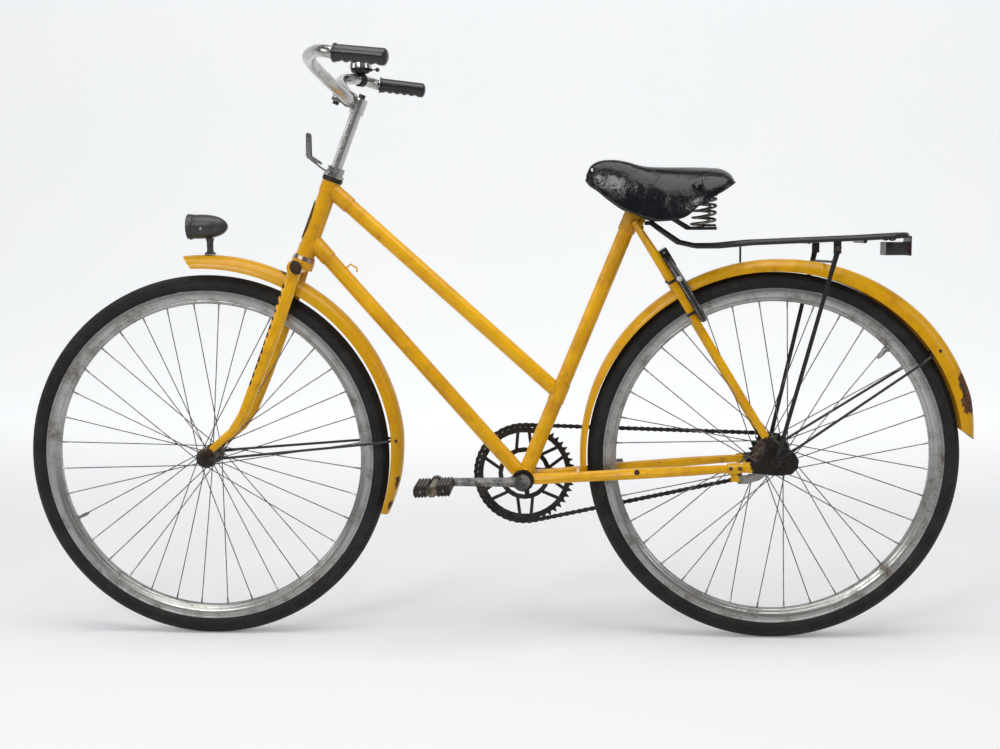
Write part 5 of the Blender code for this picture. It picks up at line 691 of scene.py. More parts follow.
@dataclass(frozen=True)
class Prisms(Finish):
    """A reflector's red plastic with small prisms."""

    colour: Colour = (0.300, 0.014, 0.008, 1.0)
    dust: Colour = (0.10, 0.055, 0.04, 1.0)

    def paint(self, graph: Graph) -> None:
        """Sets glossy red over a cell pattern.

        Args:
            graph: The material's graph.
        """
        height = graph.cells(420.0, "F1")
        dust = graph.noise(90.0, 5.0).rise(0.46, 0.70)
        tone = graph.blend(dust * 0.5, self.colour, self.dust)
        graph.set(Base_Color=tone, Roughness=0.14 + dust * 0.4, Normal=graph.bump(height, 0.0012, 0.9))


@dataclass(frozen=True)
class Backdrop(Finish):
    """The studio's pale paper, brighter towards the back."""

    colour: Colour = (0.640, 0.648, 0.660, 1.0)
    cloud: Colour = (0.650, 0.650, 0.658, 1.0)
    near_glow: Colour = (0.150, 0.150, 0.156, 1.0)
    far_glow: Colour = (0.550, 0.562, 0.566, 1.0)
    specular: float = 0.1

    def paint(self, graph: Graph) -> None:
        """Sets a pale tone with the least unevenness and a glow that grows with the distance.

        Args:
            graph: The material's graph.
        """
        mist = graph.noise(1.2, 2.0)
        tone = graph.blend(mist.rise(0.3, 0.7), self.colour, self.cloud)
        _, y, z = graph.axes()
        glow = graph.blend(y.rise(0.3, 3.4).most(z.rise(0.0, 1.0)), self.near_glow, self.far_glow)
        graph.set(Base_Color=tone, Roughness=0.75 + mist * 0.05, Emission_Color=glow, Emission_Strength=1.0,
                  Specular_IOR_Level=self.specular)


class Workpiece:
    """Gathers forms into one named mesh piece."""

    def __init__(self, name: str) -> None:
        """Starts an empty piece."""
        self.name = name
        self.mesh = bmesh.new()

    def lathe(self, centre: Vector, axis: Vector, profile: Sequence[Pair], facets: int,
              ends: Ends = Ends.FLAT) -> Workpiece:
        """Adds a turned form.

        Args:
            centre: The point that the profile's places count from.
            axis: The axis.
            profile: Pairs of radius and place along the axis.
            facets: The number of steps round the axis.
            ends: How the profile ends.

        Returns:
            The piece itself.
        """
        axis = axis.normalized()
        out = across(axis)
        other = axis.cross(out)
        rings = []
        for radius, along in profile:
            base = centre + axis * along
            turns = [math.tau * step / facets for step in range(facets)] if radius > POINT_RADIUS else [0.0]
            rings.append([base + out * (radius * math.cos(turn)) + other * (radius * math.sin(turn))
                          for turn in turns])
        return self.loft(rings, ends)

    def loft(self, rings: Sequence[Sequence[Vector]], ends: Ends = Ends.FLAT) -> Workpiece:
        """Adds a skin over rings of points.

        Args:
            rings: The rings, any of which may be one point.
            ends: How the skin ends.

        Returns:
            The piece itself.
        """
        corners = [[self.mesh.verts.new(point) for point in ring] for ring in rings]
        pairs = list(zip(corners, corners[1:]))
        if ends is Ends.JOINED:
            pairs.append((corners[-1], corners[0]))
        for one, two in pairs:
            self._skin(one, two)
        for ring in (corners[0], corners[-1]):
            last = len(ring) - 1
            if ends is Ends.FLAT and last > 1:
                self.mesh.faces.new(ring)
            if ends is Ends.SHEET:
                for step in range(len(ring) // 2 - 1):
                    self.mesh.faces.new((ring[step], ring[step + 1], ring[last - 1 - step],
                                         ring[last - step]))
        return self

    def _skin(self, one: list[bmesh.types.BMVert], two: list[bmesh.types.BMVert]) -> None:
        """Faces between two rings, either of which may be one point.

        Args:
            one: The first ring.
            two: The second ring.
        """
        count = max(len(one), len(two))
        if count < 3:
            return
        for step in range(count):
            after = (step + 1) % count
            corners = (one[step % len(one)], one[after % len(one)], two[after % len(two)],
                       two[step % len(two)])
            unique = list(dict.fromkeys(corners))
            if len(unique) > 2:
                self.mesh.faces.new(unique)

    def sweep(self, path: Sequence[Vector], size: Size, sides: int) -> Workpiece:
        """Adds a bar of round or oval section along a path.

        Args:
            path: The points of the middle line.
            size: A radius or a pair of half sizes.
            sides: The number of sides.

        Returns:
            The piece itself.
        """
        deep, wide = size if isinstance(size, tuple) else (size, size)
        turns = [math.tau * (step + 0.5) / sides for step in range(sides)]
        rings = []
        facing = across(path[1] - path[0])
        for number, point in enumerate(path):
            before, after = path[max(number - 1, 0)], path[min(number + 1, len(path) - 1)]
            way = (after - before).normalized()
            facing = (facing - way * facing.dot(way)).normalized()
            other = way.cross(facing)
            rings.append([point + other * (deep * math.cos(turn)) + facing * (wide * math.sin(turn))
                          for turn in turns])
        return self.loft(rings)

    def rod(self, start: Vector, end: Vector, radius: float, sides: int = 24,
            bevel: float = 0.0) -> Workpiece:
        """Adds a round bar.

        Args:
            start: The middle of its first end.
            end: The middle of its other end.
            radius: Its radius.
            sides: Its number of sides.
            bevel: The size of the bevel at both ends.

        Returns:
            The piece itself.
        """
        way = end - start
        length = way.length
        profile = [(0.0, 0.0), (radius - bevel, 0.0), (radius, bevel), (radius, length - bevel),
                   (radius - bevel, length), (0.0, length)]
        return self.lathe(start, way, profile, sides)

    def slab(self, outlines: Sequence[Sequence[Pair]], origin: Vector, right: Vector, up: Vector,
             thickness: float) -> Workpiece:
        """Adds a flat plate.

        Args:
            outlines: The outer outline and then any holes, in steps of right and up.
            origin: The middle of the plate's thickness.
            right: The first direction in the plate.
            up: The second direction in the plate.
            thickness: The plate's thickness.

        Returns:
            The piece itself.
        """
        normal = right.cross(up)
        edges = []
        for outline in outlines:
            corners = [self.mesh.verts.new(origin + right * a + up * b - normal * (thickness / 2))
                       for a, b in outline]
            edges += [self.mesh.edges.new((a, b)) for a, b in zip(corners, corners[1:] + corners[:1])]
        filled = bmesh.ops.triangle_fill(self.mesh, use_beauty=True, edges=edges, normal=normal)
        faces = [item for item in filled["geom"] if isinstance(item, bmesh.types.BMFace)]
        grown = bmesh.ops.extrude_face_region(self.mesh, geom=faces)
        moved = [item for item in grown["geom"] if isinstance(item, bmesh.types.BMVert)]
        bmesh.ops.translate(self.mesh, verts=moved, vec=normal * thickness)
        return self

    def dome(self, centre: Vector, axis: Vector, radius: float, height: float, sides: int = 20) -> Workpiece:
        """Adds a low round bolt head.

        Args:
            centre: The middle of its foot.
            axis: The way that it stands up.
            radius: Its radius.
            height: Its height.
            sides: Its number of sides.

        Returns:
            The piece itself.
        """
        profile = [(0.0, 0.0), (radius, 0.0), (radius, height * 0.35), (radius * 0.8, height * 0.78),
                   (0.0, height)]
        return self.lathe(centre, axis, profile, sides)

    def hexagon(self, centre: Vector, axis: Vector, radius: float, height: float) -> Workpiece:
        """Adds a nut with bevelled corners.

        Args:
            centre: The middle of its foot.
            axis: The way that it stands up.
            radius: The radius over its corners.
            height: Its height.

        Returns:
            The piece itself.
        """
        profile = [(0.0, 0.0), (radius, 0.0), (radius, height * 0.82), (radius * 0.86, height), (0.0, height)]
        return self.lathe(centre, axis, profile, 6)

    def grid(self, rows: Sequence[Sequence[Vector]]) -> Workpiece:
        """Adds an open sheet.

        Args:
            rows: Rows of points, all of one length.

        Returns:
            The piece itself.
        """
        corners = [[self.mesh.verts.new(point) for point in row] for row in rows]
        for one, two in zip(corners, corners[1:]):
            for step in range(len(one) - 1):
                self.mesh.faces.new((one[step], two[step], two[step + 1], one[step + 1]))
        return self

    def made(self, finish: Finish, sharp: float) -> bpy.types.Object:
        """Turns the gathered forms into an object of the scene.

        Args:
            finish: Its finish.
            sharp: The angle in degrees above which an edge stays sharp.

        Returns:
            The new object.
        """
        data = bpy.data.meshes.new(self.name)
        self.mesh.to_mesh(data)
        self.mesh.free()
        data.materials.append(finish.material())
        data.shade_smooth()
        data.set_sharp_from_angle(angle=math.radians(sharp))
        piece = bpy.data.objects.new(self.name, data)
        bpy.context.scene.collection.objects.link(piece)
        return piece

    def place(self, finish: Finish, body: str, sharp: float = 35.0, stands_for: Sequence[str] = (),
              slot: str | None = None) -> bpy.types.Object:
        """Makes the piece and hangs it on its body.

        Args:
            finish: Its finish.
            body: The model's body that it rides on.
            sharp: The angle in degrees above which an edge stays sharp.
            stands_for: The nodes that it replaces.
            slot: Not used.

        Returns:
            The new object.
        """
        bmesh.ops.recalc_face_normals(self.mesh, faces=self.mesh.faces)
        piece = self.made(finish, sharp)
        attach(piece, body)
        if stands_for:
            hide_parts(*stands_for)
        LOG.info("piece %s on %s, %d faces", self.name, body, len(piece.data.polygons))
        return piece


def dress(finish: Finish, *nodes: str) -> None:
    """Gives carried-over nodes a finish.

    Args:
        finish: The finish.
        *nodes: The names of the nodes.
    """
    for name in nodes:
        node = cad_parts[name]
        node.data.materials.clear()
        node.data.materials.append(finish.material())
        LOG.info("finish %s on %s", finish.name, name)


def pair(x: float, y: float, z: float, reach: float, ragged: float) -> tuple[Patch, ...]:
    """The same patch on the left and on the right."""
    return tuple(Patch((x, side.value * y, z), reach, ragged=ragged) for side in Side)


CAPS = pair(-0.907, 0.052, 0.728, 0.0170, 0.15)
FORK_ENDS = pair(-1.100, 0.050, 0.356, 0.026, 0.8)
STAY_ENDS = pair(0.004, 0.0575, 0.356, 0.056, 0.6)
FORK_WEAR_ROWS = 13
FORK_WEAR = tuple(Patch(tuple(steer(0.372 - step * 0.0165, 0.0150 - step * 0.0004, -0.0455)),
                        0.0042, (1.0, 1.0, 0.55), 2.0) for step in range(FORK_WEAR_ROWS))
GUARD_TIPS = (Patch((0.384, 0.0, 0.382), 0.020, ragged=1.9),
              Patch((0.366, -0.012, 0.470), 0.020, (1.0, 1.0, 0.55), 2.3),
              Patch((0.352, -0.014, 0.500), 0.012, (1.0, 1.0, 0.6), 2.3))
FRONT_TIPS = (Patch((-0.735, -0.018, 0.258), 0.013, ragged=2.0),
              Patch((-0.722, -0.018, 0.300), 0.011, (1.0, 1.0, 0.5), 2.3),
              Patch((-0.748, -0.024, 0.420), 0.007, (1.0, 1.0, 0.35), 2.3),
              Patch((-0.935, 0.0, 0.722), 0.018, ragged=1.6))

ENAMEL = Enamel("amber_enamel")
TUBE_ENAMEL = Enamel("amber_enamel_tubes", chips=0.645, stain=0.25)
FORK_ENAMEL = Enamel("amber_enamel_fork", steel=(0.018, 0.015, 0.012, 1.0), rust=(0.060, 0.028, 0.012, 1.0),
                     chips=0.640, stain=0.30, patches=CAPS + FORK_WEAR + FORK_ENDS)
STAY_ENAMEL = Enamel("amber_enamel_stays", steel=(0.009, 0.008, 0.007, 1.0), rust=(0.022, 0.013, 0.009, 1.0),
                     chips=0.635, stain=0.30, patches=STAY_ENDS)
GUARD_ENAMEL = Enamel("amber_enamel_rear_guard", colour=(0.650, 0.340, 0.004, 1.0),
                      steel=(0.030, 0.022, 0.016, 1.0), chips=0.645, stain=0.28, gloss=0.30,
                      patches=GUARD_TIPS)
# Painted shade: the front guard's amber is a darker copy of the frame's enamel, standing in for less light
# falling on the guard.
FRONT_GUARD_SHADED_ENAMEL = Enamel("amber_enamel_front_guard", colour=(0.540, 0.285, 0.004, 1.0),
                            steel=(0.030, 0.022, 0.016, 1.0), chips=0.645, stain=0.28, gloss=0.30,
                            patches=FRONT_TIPS)
BLACK_ENAMEL = Enamel("black_enamel", colour=(0.014, 0.014, 0.015, 1.0), deep=(0.022, 0.021, 0.020, 1.0),
                      grime=(0.060, 0.052, 0.042, 1.0), steel=(0.090, 0.075, 0.060, 1.0), chips=0.640,
                      stain=0.40, gloss=0.36)
BRIGHT = Plating("bright_plating", age=0.55)
OLD_PLATING = Plating("old_plating", colour=(0.350, 0.342, 0.328, 1.0), dull=(0.150, 0.143, 0.135, 1.0),
                      age=0.80, gloss=0.18)
RIM_PLATING = Plating("rim_plating", colour=(0.400, 0.400, 0.385, 1.0), dull=(0.190, 0.188, 0.172, 1.0),
                      age=0.80, gloss=0.30)
RACE_PLATING = Plating("race_plating", colour=(0.480, 0.360, 0.280, 1.0), dull=(0.220, 0.130, 0.080, 1.0),
                       age=0.8, gloss=0.22)
SPOKE_STEEL = BareSteel("spoke_steel", colour=(0.200, 0.190, 0.175, 1.0), rusty=0.35, metal=0.85)
CHAIN_STEEL = BareSteel("chain_steel", colour=(0.036, 0.033, 0.030, 1.0), rust=(0.040, 0.024, 0.015, 1.0),
                        rusty=0.35)
DARK_STEEL = BareSteel("dark_steel", colour=(0.030, 0.027, 0.025, 1.0), rust=(0.052, 0.028, 0.016, 1.0),
                       rusty=0.50)
CRANK_STEEL = BareSteel("crank_steel", colour=(0.225, 0.217, 0.206, 1.0), rusty=0.20, metal=0.85)
HUB_STEEL = BareSteel("hub_steel", colour=(0.120, 0.105, 0.090, 1.0), rusty=0.60)
BOLT_STEEL = BareSteel("bolt_steel", colour=(0.085, 0.070, 0.058, 1.0), rusty=0.65)
COIL_STEEL = BareSteel("coil_steel", colour=(0.300, 0.275, 0.240, 1.0), rusty=0.25, metal=0.8)
CAP_STEEL = BareSteel("cap_steel", colour=(0.190, 0.160, 0.115, 1.0), rust=(0.095, 0.060, 0.030, 1.0),
                      rusty=0.40)
PALE_STEEL = BareSteel("pale_steel", colour=(0.330, 0.320, 0.300, 1.0), rusty=0.25, metal=0.85)
VINYL = Vinyl("black_vinyl")
GRIP_RUBBER = Moulded("grip_rubber", colour=(0.010, 0.011, 0.014, 1.0), pale=(0.034, 0.036, 0.040, 1.0),
                      rough=0.26)
PEDAL_RUBBER = Moulded("pedal_rubber", colour=(0.018, 0.014, 0.011, 1.0), pale=(0.070, 0.056, 0.042, 1.0),
                       rough=0.55, wear=0.6)
LAMP_PLASTIC = Moulded("lamp_plastic", colour=(0.018, 0.019, 0.019, 1.0), pale=(0.060, 0.061, 0.060, 1.0),
                       rough=0.36, wear=0.8)
LAMP_GLASS = Glass("lamp_glass")
RED_PRISMS = Prisms("red_prisms")
BADGE = BareSteel("badge_bronze", colour=(0.130, 0.085, 0.042, 1.0), rusty=0.35, metal=0.85)


TYRE_HALF = [(0.3262, 0.0137), (0.3272, 0.0152), (0.3300, 0.0171), (0.3326, 0.0180), (0.3330, 0.0183),
             (0.3350, 0.0186), (0.3400, 0.0186), (0.3440, 0.0179), (0.3446, 0.0181), (0.3480, 0.0160),
             (0.3512, 0.0130), (0.3538, 0.0100), (0.3553, 0.0074), (0.3548, 0.0067), (0.3556, 0.0060),
             (0.3559, 0.0034), (0.3552, 0.0028), (0.3560, 0.0021), (0.3560, 0.0008), (0.3554, 0.0)]
RIM_HALF = [(0.3259, 0.0137), (0.3232, 0.0137), (0.3226, 0.0131), (0.3216, 0.0131), (0.3210, 0.0137),
            (0.3132, 0.0137), (0.3110, 0.0128), (0.3072, 0.0106), (0.3066, 0.0098), (0.3060, 0.0100),
            (0.3020, 0.0078), (0.3004, 0.0060), (0.3001, 0.0030), (0.3010, 0.0016), (0.3010, 0.0)]
NIPPLE = [(0.0, -0.001), (0.0025, -0.001), (0.0022, 0.0010), (0.0018, 0.0018), (0.0016, 0.0110),
          (0.0012, 0.0118), (0.0, 0.0118)]
VALVE = [(0.0, -0.001), (0.0060, -0.001), (0.0060, 0.0018), (0.0032, 0.0020), (0.0032, 0.0110),
         (0.0037, 0.0112), (0.0037, 0.0200), (0.0024, 0.0208), (0.0024, 0.0250), (0.0, 0.0254)]


@dataclass
class Wheel:
    """One wire-spoked wheel: tyre, rim, nipples, valve, hub and spokes."""

    word: str
    hub: Vector
    flange_radius: float
    flange_place: float
    first_spoke: float
    valve_angle: float
    hub_profile: list[Pair]
    bed_radius: float = 0.3001
    spokes: int = 36
    crosses: int = 3
    spoke_radius: float = 0.00100
    hole_inset: float = 0.0045
    flange_step: float = 0.0007
    rim_places: Pair = (0.0014, 0.0046)
    spoke_head: Pair = (0.0020, 0.0012)
    head_place: float = 0.0016
    facets: int = 180

    @property
    def body(self) -> str:
        """The body that the wheel's pieces ride on."""
        return self.word + "_wheel"

    def build(self) -> None:
        """Builds all pieces of the wheel."""
        self.tyre()
        self.rim()
        self.hub_and_spokes()
        self.nipples()
        self.valve()

    def tyre(self) -> None:
        """The tyre with its ribbed tread and moulded side walls."""
        part = Workpiece(self.word + "_tyre_ribbed")
        part.lathe(self.hub, Y_AXIS, mirrored(TYRE_HALF), self.facets, Ends.JOINED)
        finish = TyreRubber(self.word + "_tyre_rubber", hub=tuple(self.hub))
        part.place(finish, self.body, 50.0, [self.word + "_tyre"])

    def rim(self) -> None:
        """The rim with its rolled edges, its side walls and the groove along its bed."""
        part = Workpiece(self.word + "_rim_rolled")
        part.lathe(self.hub, Y_AXIS, mirrored(RIM_HALF), self.facets, Ends.JOINED)
        part.place(RIM_PLATING, self.body, 40.0, [self.word + "_rim"])

    def spoke_line(self, side: Side, number: int) -> tuple[Vector, Vector]:
        """One spoke's ends.

        Args:
            side: The flange that it starts from.
            number: Its number on that side.

        Returns:
            Its end at the hub and its end at the rim.
        """
        odd = number % 2
        turn = 360.0 / (self.spokes / 2)
        at_hub = self.first_spoke + number * turn + (turn / 2 if side is Side.RIGHT else 0.0)
        at_rim = at_hub + self.crosses * turn * (1 if odd else -1)
        face = side.value * (self.flange_place + self.flange_step * (1 if odd else -1))
        inner = polar(self.hub, self.flange_radius - self.hole_inset, at_hub, face)
        return inner, polar(self.hub, self.bed_radius, at_rim, side.value * self.rim_places[odd])

    def hub_and_spokes(self) -> None:
        """The hub's turned shell with the spokes' heads in its flanges, and the thirty-six spokes."""
        shell = Workpiece(self.word + "_hub_shell")
        shell.lathe(self.hub, Y_AXIS, self.hub_profile, 48, Ends.JOINED)
        wires = Workpiece(self.word + "_spokes")
        for side in Side:
            for number in range(self.spokes // 2):
                inner, outer = self.spoke_line(side, number)
                wires.rod(inner, outer, self.spoke_radius, 8)
                out = Y_AXIS * (side.value * self.head_place * (1 if number % 2 else -1))
                shell.dome(inner + out, out, *self.spoke_head, 10)
        shell.place(HUB_STEEL, self.body, 30.0, [self.word + "_hub"])
        wires.place(SPOKE_STEEL, self.body, 50.0, [self.word + "_hub"])

    def nipples(self) -> None:
        """The nipples in the rim, one for each spoke."""
        part = Workpiece(self.word + "_nipples")
        for side in Side:
            for number in range(self.spokes // 2):
                inner, outer = self.spoke_line(side, number)
                part.lathe(outer, inner - outer, NIPPLE, 10)
        part.place(OLD_PLATING, self.body, 40.0, slot="rim_steel")

    def valve(self) -> None:
        """The valve's stem with its nut and its cap."""
        foot = polar(self.hub, self.bed_radius - 0.0005, self.valve_angle)
        part = Workpiece(self.word + "_valve")
        part.lathe(foot, self.hub - foot, VALVE, 16)
        part.place(OLD_PLATING, self.body, 40.0, slot="rim_steel")


@dataclass
class Mudguard:
    """One full mudguard with rolled edges and its fixings."""

    word: str
    hub: Vector
    body: str
    finish: Enamel
    rows: tuple[Row, ...]
    tip_cut: float
    stay_angle: float
    steps: int = 110
    sheet: float = 0.0012
    across_steps: int = 14
    cut_steps: float = 3.0
    roll_inset: float = 0.0010
    roll_radius: float = 0.0011
    bolt_rise: float = 0.42
    bolt_reach: float = 0.90
    bolt_head: Pair = (0.0036, 0.0018)

    def row(self, degrees: float) -> Triple:
        """The guard's sizes at an angle.

        Args:
            degrees: The angle round the hub.

        Returns:
            The crown's radius, the edge's radius and the half width.
        """
        for one, two in zip(self.rows, self.rows[1:]):
            if min(one[0], two[0]) <= degrees <= max(one[0], two[0]):
                share = (degrees - one[0]) / (two[0] - one[0])
                return tuple(a + (b - a) * share for a, b in zip(one[1:], two[1:]))
        return self.rows[0][1:]

    def section(self, degrees: float, inset: float) -> list[Pair]:
        """The outline across the guard.

        Args:
            degrees: The angle round the hub.
            inset: How far inside the outer face.

        Returns:
            Pairs of radius and side.
        """
        crown, edge, half = self.row(degrees)
        outline = []
        for step in range(self.across_steps + 1):
            turn = math.pi * (step / self.across_steps - 0.5)
            rise = max(math.cos(turn), 0.0) ** 0.95
            outline.append((edge + (crown - inset * 1.2 - edge) * rise, (half - inset) * math.sin(turn)))
        return outline

    def build(self) -> None:
        """Builds the sheet, its rolled edges and its fixings."""
        part = Workpiece(self.word + "_mudguard_sheet")
        first, last = self.rows[0][0], self.rows[-1][0]
        rings, edges = [], {side: [] for side in Side}
        for step in range(self.steps + 1):
            degrees = first + (last - first) * step / self.steps
            crown, edge, half = self.row(degrees)
            cut = self.tip_cut * max(0.0, 1.0 - step / self.cut_steps)
            outline = self.section(degrees, 0.0) + self.section(degrees, self.sheet)[::-1]
            rings.append([polar(self.hub, radius, degrees + cut * (crown - radius) / (crown - edge), side)
                          for radius, side in outline])
            for side in Side:
                place = side.value * (half - self.roll_inset)
                edges[side].append(polar(self.hub, edge + self.roll_inset, degrees + cut, place))
        part.loft(rings, Ends.SHEET)
        for side in Side:
            part.sweep(edges[side], self.roll_radius, 8)
        part.place(self.finish, self.body, 40.0, [self.word + "_mudguard"])
        self.bolts()

    def bolts(self) -> None:
        """The bolts that hold the stay inside the guard."""
        part = Workpiece(self.word + "_mudguard_bolts")
        crown, edge, half = self.row(self.stay_angle)
        for side in Side:
            radius = edge + (crown - edge) * self.bolt_rise
            foot = polar(self.hub, radius, self.stay_angle, side.value * half * self.bolt_reach)
            out = (Y_AXIS * (side.value * 0.92) + (foot - self.hub).normalized() * 0.35).normalized()
            part.dome(foot - out * 0.0004, out, *self.bolt_head, 18)
        part.place(BOLT_STEEL, self.body, 35.0, slot="rusty_steel")


SADDLE_SECTIONS = ((-0.3580, 0.8990, 0.0130, 0.8890), (-0.3500, 0.9150, 0.0230, 0.8790),
                   (-0.3350, 0.9240, 0.0290, 0.8690), (-0.3130, 0.9270, 0.0350, 0.8510),
                   (-0.2850, 0.9240, 0.0450, 0.8320), (-0.2500, 0.9150, 0.0640, 0.8170),
                   (-0.2180, 0.9130, 0.0820, 0.8105), (-0.1780, 0.9130, 0.0990, 0.8170),
                   (-0.1500, 0.9125, 0.1050, 0.8400), (-0.1260, 0.9115, 0.1040, 0.8540),
                   (-0.1050, 0.9085, 0.0970, 0.8660), (-0.0900, 0.9000, 0.0850, 0.8760),
                   (-0.0840, 0.8900, 0.0740, 0.8800))
TAB_LINE = ((-0.1560, 0.1010, 0.8800), (-0.1530, 0.1035, 0.8700), (-0.1475, 0.1020, 0.8590),
            (-0.1420, 0.0985, 0.8490), (-0.1375, 0.0930, 0.8415))


@dataclass
class Saddle:
    """The sprung saddle: a padded vinyl cover, its rivets and its coil springs."""

    skin: float = 0.0045
    spans: int = 5
    half_steps: int = 20
    spring_foot: float = 0.7990
    spring_height: float = 0.0560
    spring_place: Pair = (-0.1330, 0.0550)
    coil_low: float = 0.0188
    coil_high: float = 0.0140
    coil_lean: float = 0.0035
    coil_wire: float = 0.0023
    coil_turns: float = 4.5
    coil_steps: int = 28
    coil_tilt: float = 0.0022
    coil_rest: Pair = (0.06, 0.88)
    hollow: float = 0.0032
    fold: float = 0.0016
    sag: float = 0.0006
    hem_radius: float = 0.0021
    hem_inset: float = 0.0018
    rivets: tuple[Pair, ...] = ((-0.3440, 0.52), (-0.3290, 0.60), (-0.1180, 0.30), (-0.1080, 0.62))
    rivet_head: Pair = (0.0040, 0.0018)
    tab_half: float = 0.0105
    tab_taper: float = 0.0014
    tab_bow: float = 0.0035
    tab_slant: float = 0.45
    tab_thickness: float = 0.0022

    def outline(self) -> list[Row]:
        """The sections, made smooth.

        Returns:
            Rows of place, crown height, half width and skirt height.
        """
        upper = smooth_line([Vector((x, half, crown)) for x, crown, half, _ in SADDLE_SECTIONS], self.spans)
        lower = smooth_line([Vector((x, 0.0, skirt)) for x, _, _, skirt in SADDLE_SECTIONS], self.spans)
        return [(a.x, a.z, a.y, b.z) for a, b in zip(upper, lower)]

    def point(self, section: Row, share: float, inset: float = 0.0) -> Vector:
        """A point of the cover.

        Args:
            section: The section's sizes.
            share: From -1 at the left edge over the crown to +1.
            inset: How far inside the outer face.

        Returns:
            The point.
        """
        x, crown, half, skirt = section
        bend = abs(share) * math.pi / 2
        side = (half - inset) * (0.93 * math.sin(bend) + 0.07 * abs(share))
        drop = (crown - inset - skirt) * (1 - math.cos(bend)) ** 1.15
        return Vector((x, math.copysign(side, share), crown - inset - drop))

    def shaped(self, section: Row, share: float, inset: float) -> Vector:
        """A point of the cover with its hollow, its folds and its sagging skirt.

        Args:
            section: The section's sizes.
            share: From -1 to +1 across.
            inset: How far inside the outer face.

        Returns:
            The point.
        """
        point = self.point(section, share, inset)
        rear = min(max((section[0] + 0.27) / 0.14, 0.0), 1.0)
        flank = math.sin(math.pi * min(max((abs(share) - 0.45) / 0.5, 0.0), 1.0))
        wave = (math.sin(section[0] * 92.0 + 1.3) + math.sin(section[0] * 171.0 + share * 3.0)) / 2
        pull = max(self.fold * flank * wave * rear, 0.0) + self.sag * flank
        point.z -= self.hollow * rear * math.exp(-(share / 0.16) ** 2)
        point.y -= math.copysign(pull, share)
        return point

    def build(self) -> None:
        """Builds the cover and the small pieces round it."""
        self.cover()
        self.trim()
        for side in Side:
            self.spring(side)
        dress(DARK_STEEL, "saddle_frame", "saddle_cantle")
        dress(OLD_PLATING, "seat_post")

    def cover(self) -> None:
        """The padded cover: an outer and an inner skin, joined along the lower edge."""
        part = Workpiece("saddle_vinyl")
        steps = range(-self.half_steps, self.half_steps + 1)
        rings = []
        for section in self.outline():
            outer = [self.shaped(section, step / self.half_steps, 0.0) for step in steps]
            inner = [self.shaped(section, step / self.half_steps, self.skin) for step in reversed(steps)]
            rings.append(outer + inner)
        part.loft(rings, Ends.SHEET)
        cover = part.place(VINYL, "saddle", 60.0, ["saddle_cover"])

    def trim(self) -> None:
        """The rolled hem along the skirt, the rivets at the nose and the rear, and the folded tabs."""
        hem, rivets, tabs = Workpiece("saddle_hem"), Workpiece("saddle_rivets"), Workpiece("saddle_tabs")
        outline = self.outline()
        for side in Side:
            hem.sweep([self.shaped(row, side.value * 0.995, self.hem_inset) for row in outline],
                      self.hem_radius, 8)
            for place, share in self.rivets:
                section = min(outline, key=lambda row: abs(row[0] - place))
                foot = self.shaped(section, side.value * share, 0.0004)
                way = foot - self.shaped(section, side.value * (share - 0.04), 0.0004)
                rivets.dome(foot, Vector((0.0, -way.z, way.y)) * -side.value, *self.rivet_head, 16)
            tabs.grid(self.tab(side))
        hem.place(VINYL, "saddle", 60.0, slot="vinyl")
        rivets.place(OLD_PLATING, "saddle", 35.0, slot="rusty_steel")
        folded = tabs.place(VINYL, "saddle", 60.0, slot="vinyl")
        folded.modifiers.new("thickness", "SOLIDIFY").thickness = self.tab_thickness

    def tab(self, side: Side) -> list[list[Vector]]:
        """The folded tab of the cover above a spring.

        Args:
            side: The spring's side.

        Returns:
            Rows of points across the tab, from the flank down to its tip.
        """
        rows = []
        for number, (x, place, z) in enumerate(TAB_LINE):
            half = self.tab_half - self.tab_taper * number
            row = []
            for step in range(-4, 5):
                share = step / 4
                bow = self.tab_bow * (1 - share ** 2)
                row.append(Vector((x + half * share, side.value * (place + bow),
                                   z + half * self.tab_slant * share)))
            rows.append(row)
        return rows

    def spring(self, side: Side) -> None:
        """One coil spring, an unbroken wire with closed ends.

        Args:
            side: The spring's side.
        """
        x, place = self.spring_place
        foot = Vector((x, side.value * place, self.spring_foot))
        count = round(self.coil_turns * self.coil_steps)
        rest, climb = self.coil_rest
        path = []
        for number in range(count + 1):
            share = number / count
            angle = math.tau * self.coil_turns * share
            radius = self.coil_low + (self.coil_high - self.coil_low) * share
            rise = min(max((share - rest) / climb, 0.0), 1.0)
            height = self.coil_wire + (self.spring_height - self.coil_wire * 2) * rise
            tilt = self.coil_tilt * math.sin(angle + 0.6) * math.sin(math.pi * share)
            lean = self.coil_lean * (share - 0.5) * 2
            path.append(foot + Vector((lean + radius * math.cos(angle), radius * math.sin(angle),
                                       height + tilt)))
        part = Workpiece("saddle_coil_" + side.word)
        part.sweep(path, self.coil_wire, 12)
        coil = part.place(COIL_STEEL, "seat_post", 50.0, ["saddle_spring_" + side.word])
        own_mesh(coil)


BAR_BEND = ((-0.8390, 0.0900, 1.0770), (-0.8520, 0.1550, 1.0960), (-0.8500, 0.2000, 1.1050),
            (-0.8300, 0.2380, 1.1085), (-0.8110, 0.2660, 1.1055))
BELL_CUP = [(0.0, 0.0), (0.0110, 0.0), (0.0165, 0.0016), (0.0200, 0.0045), (0.0210, 0.0107), (0.0, 0.0107)]
BELL_GONG = [(0.0, 0.0210), (0.0060, 0.0207), (0.0120, 0.0199), (0.0165, 0.0184), (0.0200, 0.0158),
             (0.0219, 0.0120), (0.0226, 0.0080), (0.0230, 0.0022), (0.0230, 0.0), (0.0216, 0.0),
             (0.0212, 0.0080), (0.0204, 0.0118), (0.0185, 0.0150), (0.0110, 0.0182), (0.0, 0.0192)]
LEVER_KNOB = [(0.0, -0.0047), (0.0026, -0.0040), (0.0042, -0.0022), (0.0047, 0.0), (0.0042, 0.0022),
              (0.0026, 0.0040), (0.0, 0.0047)]


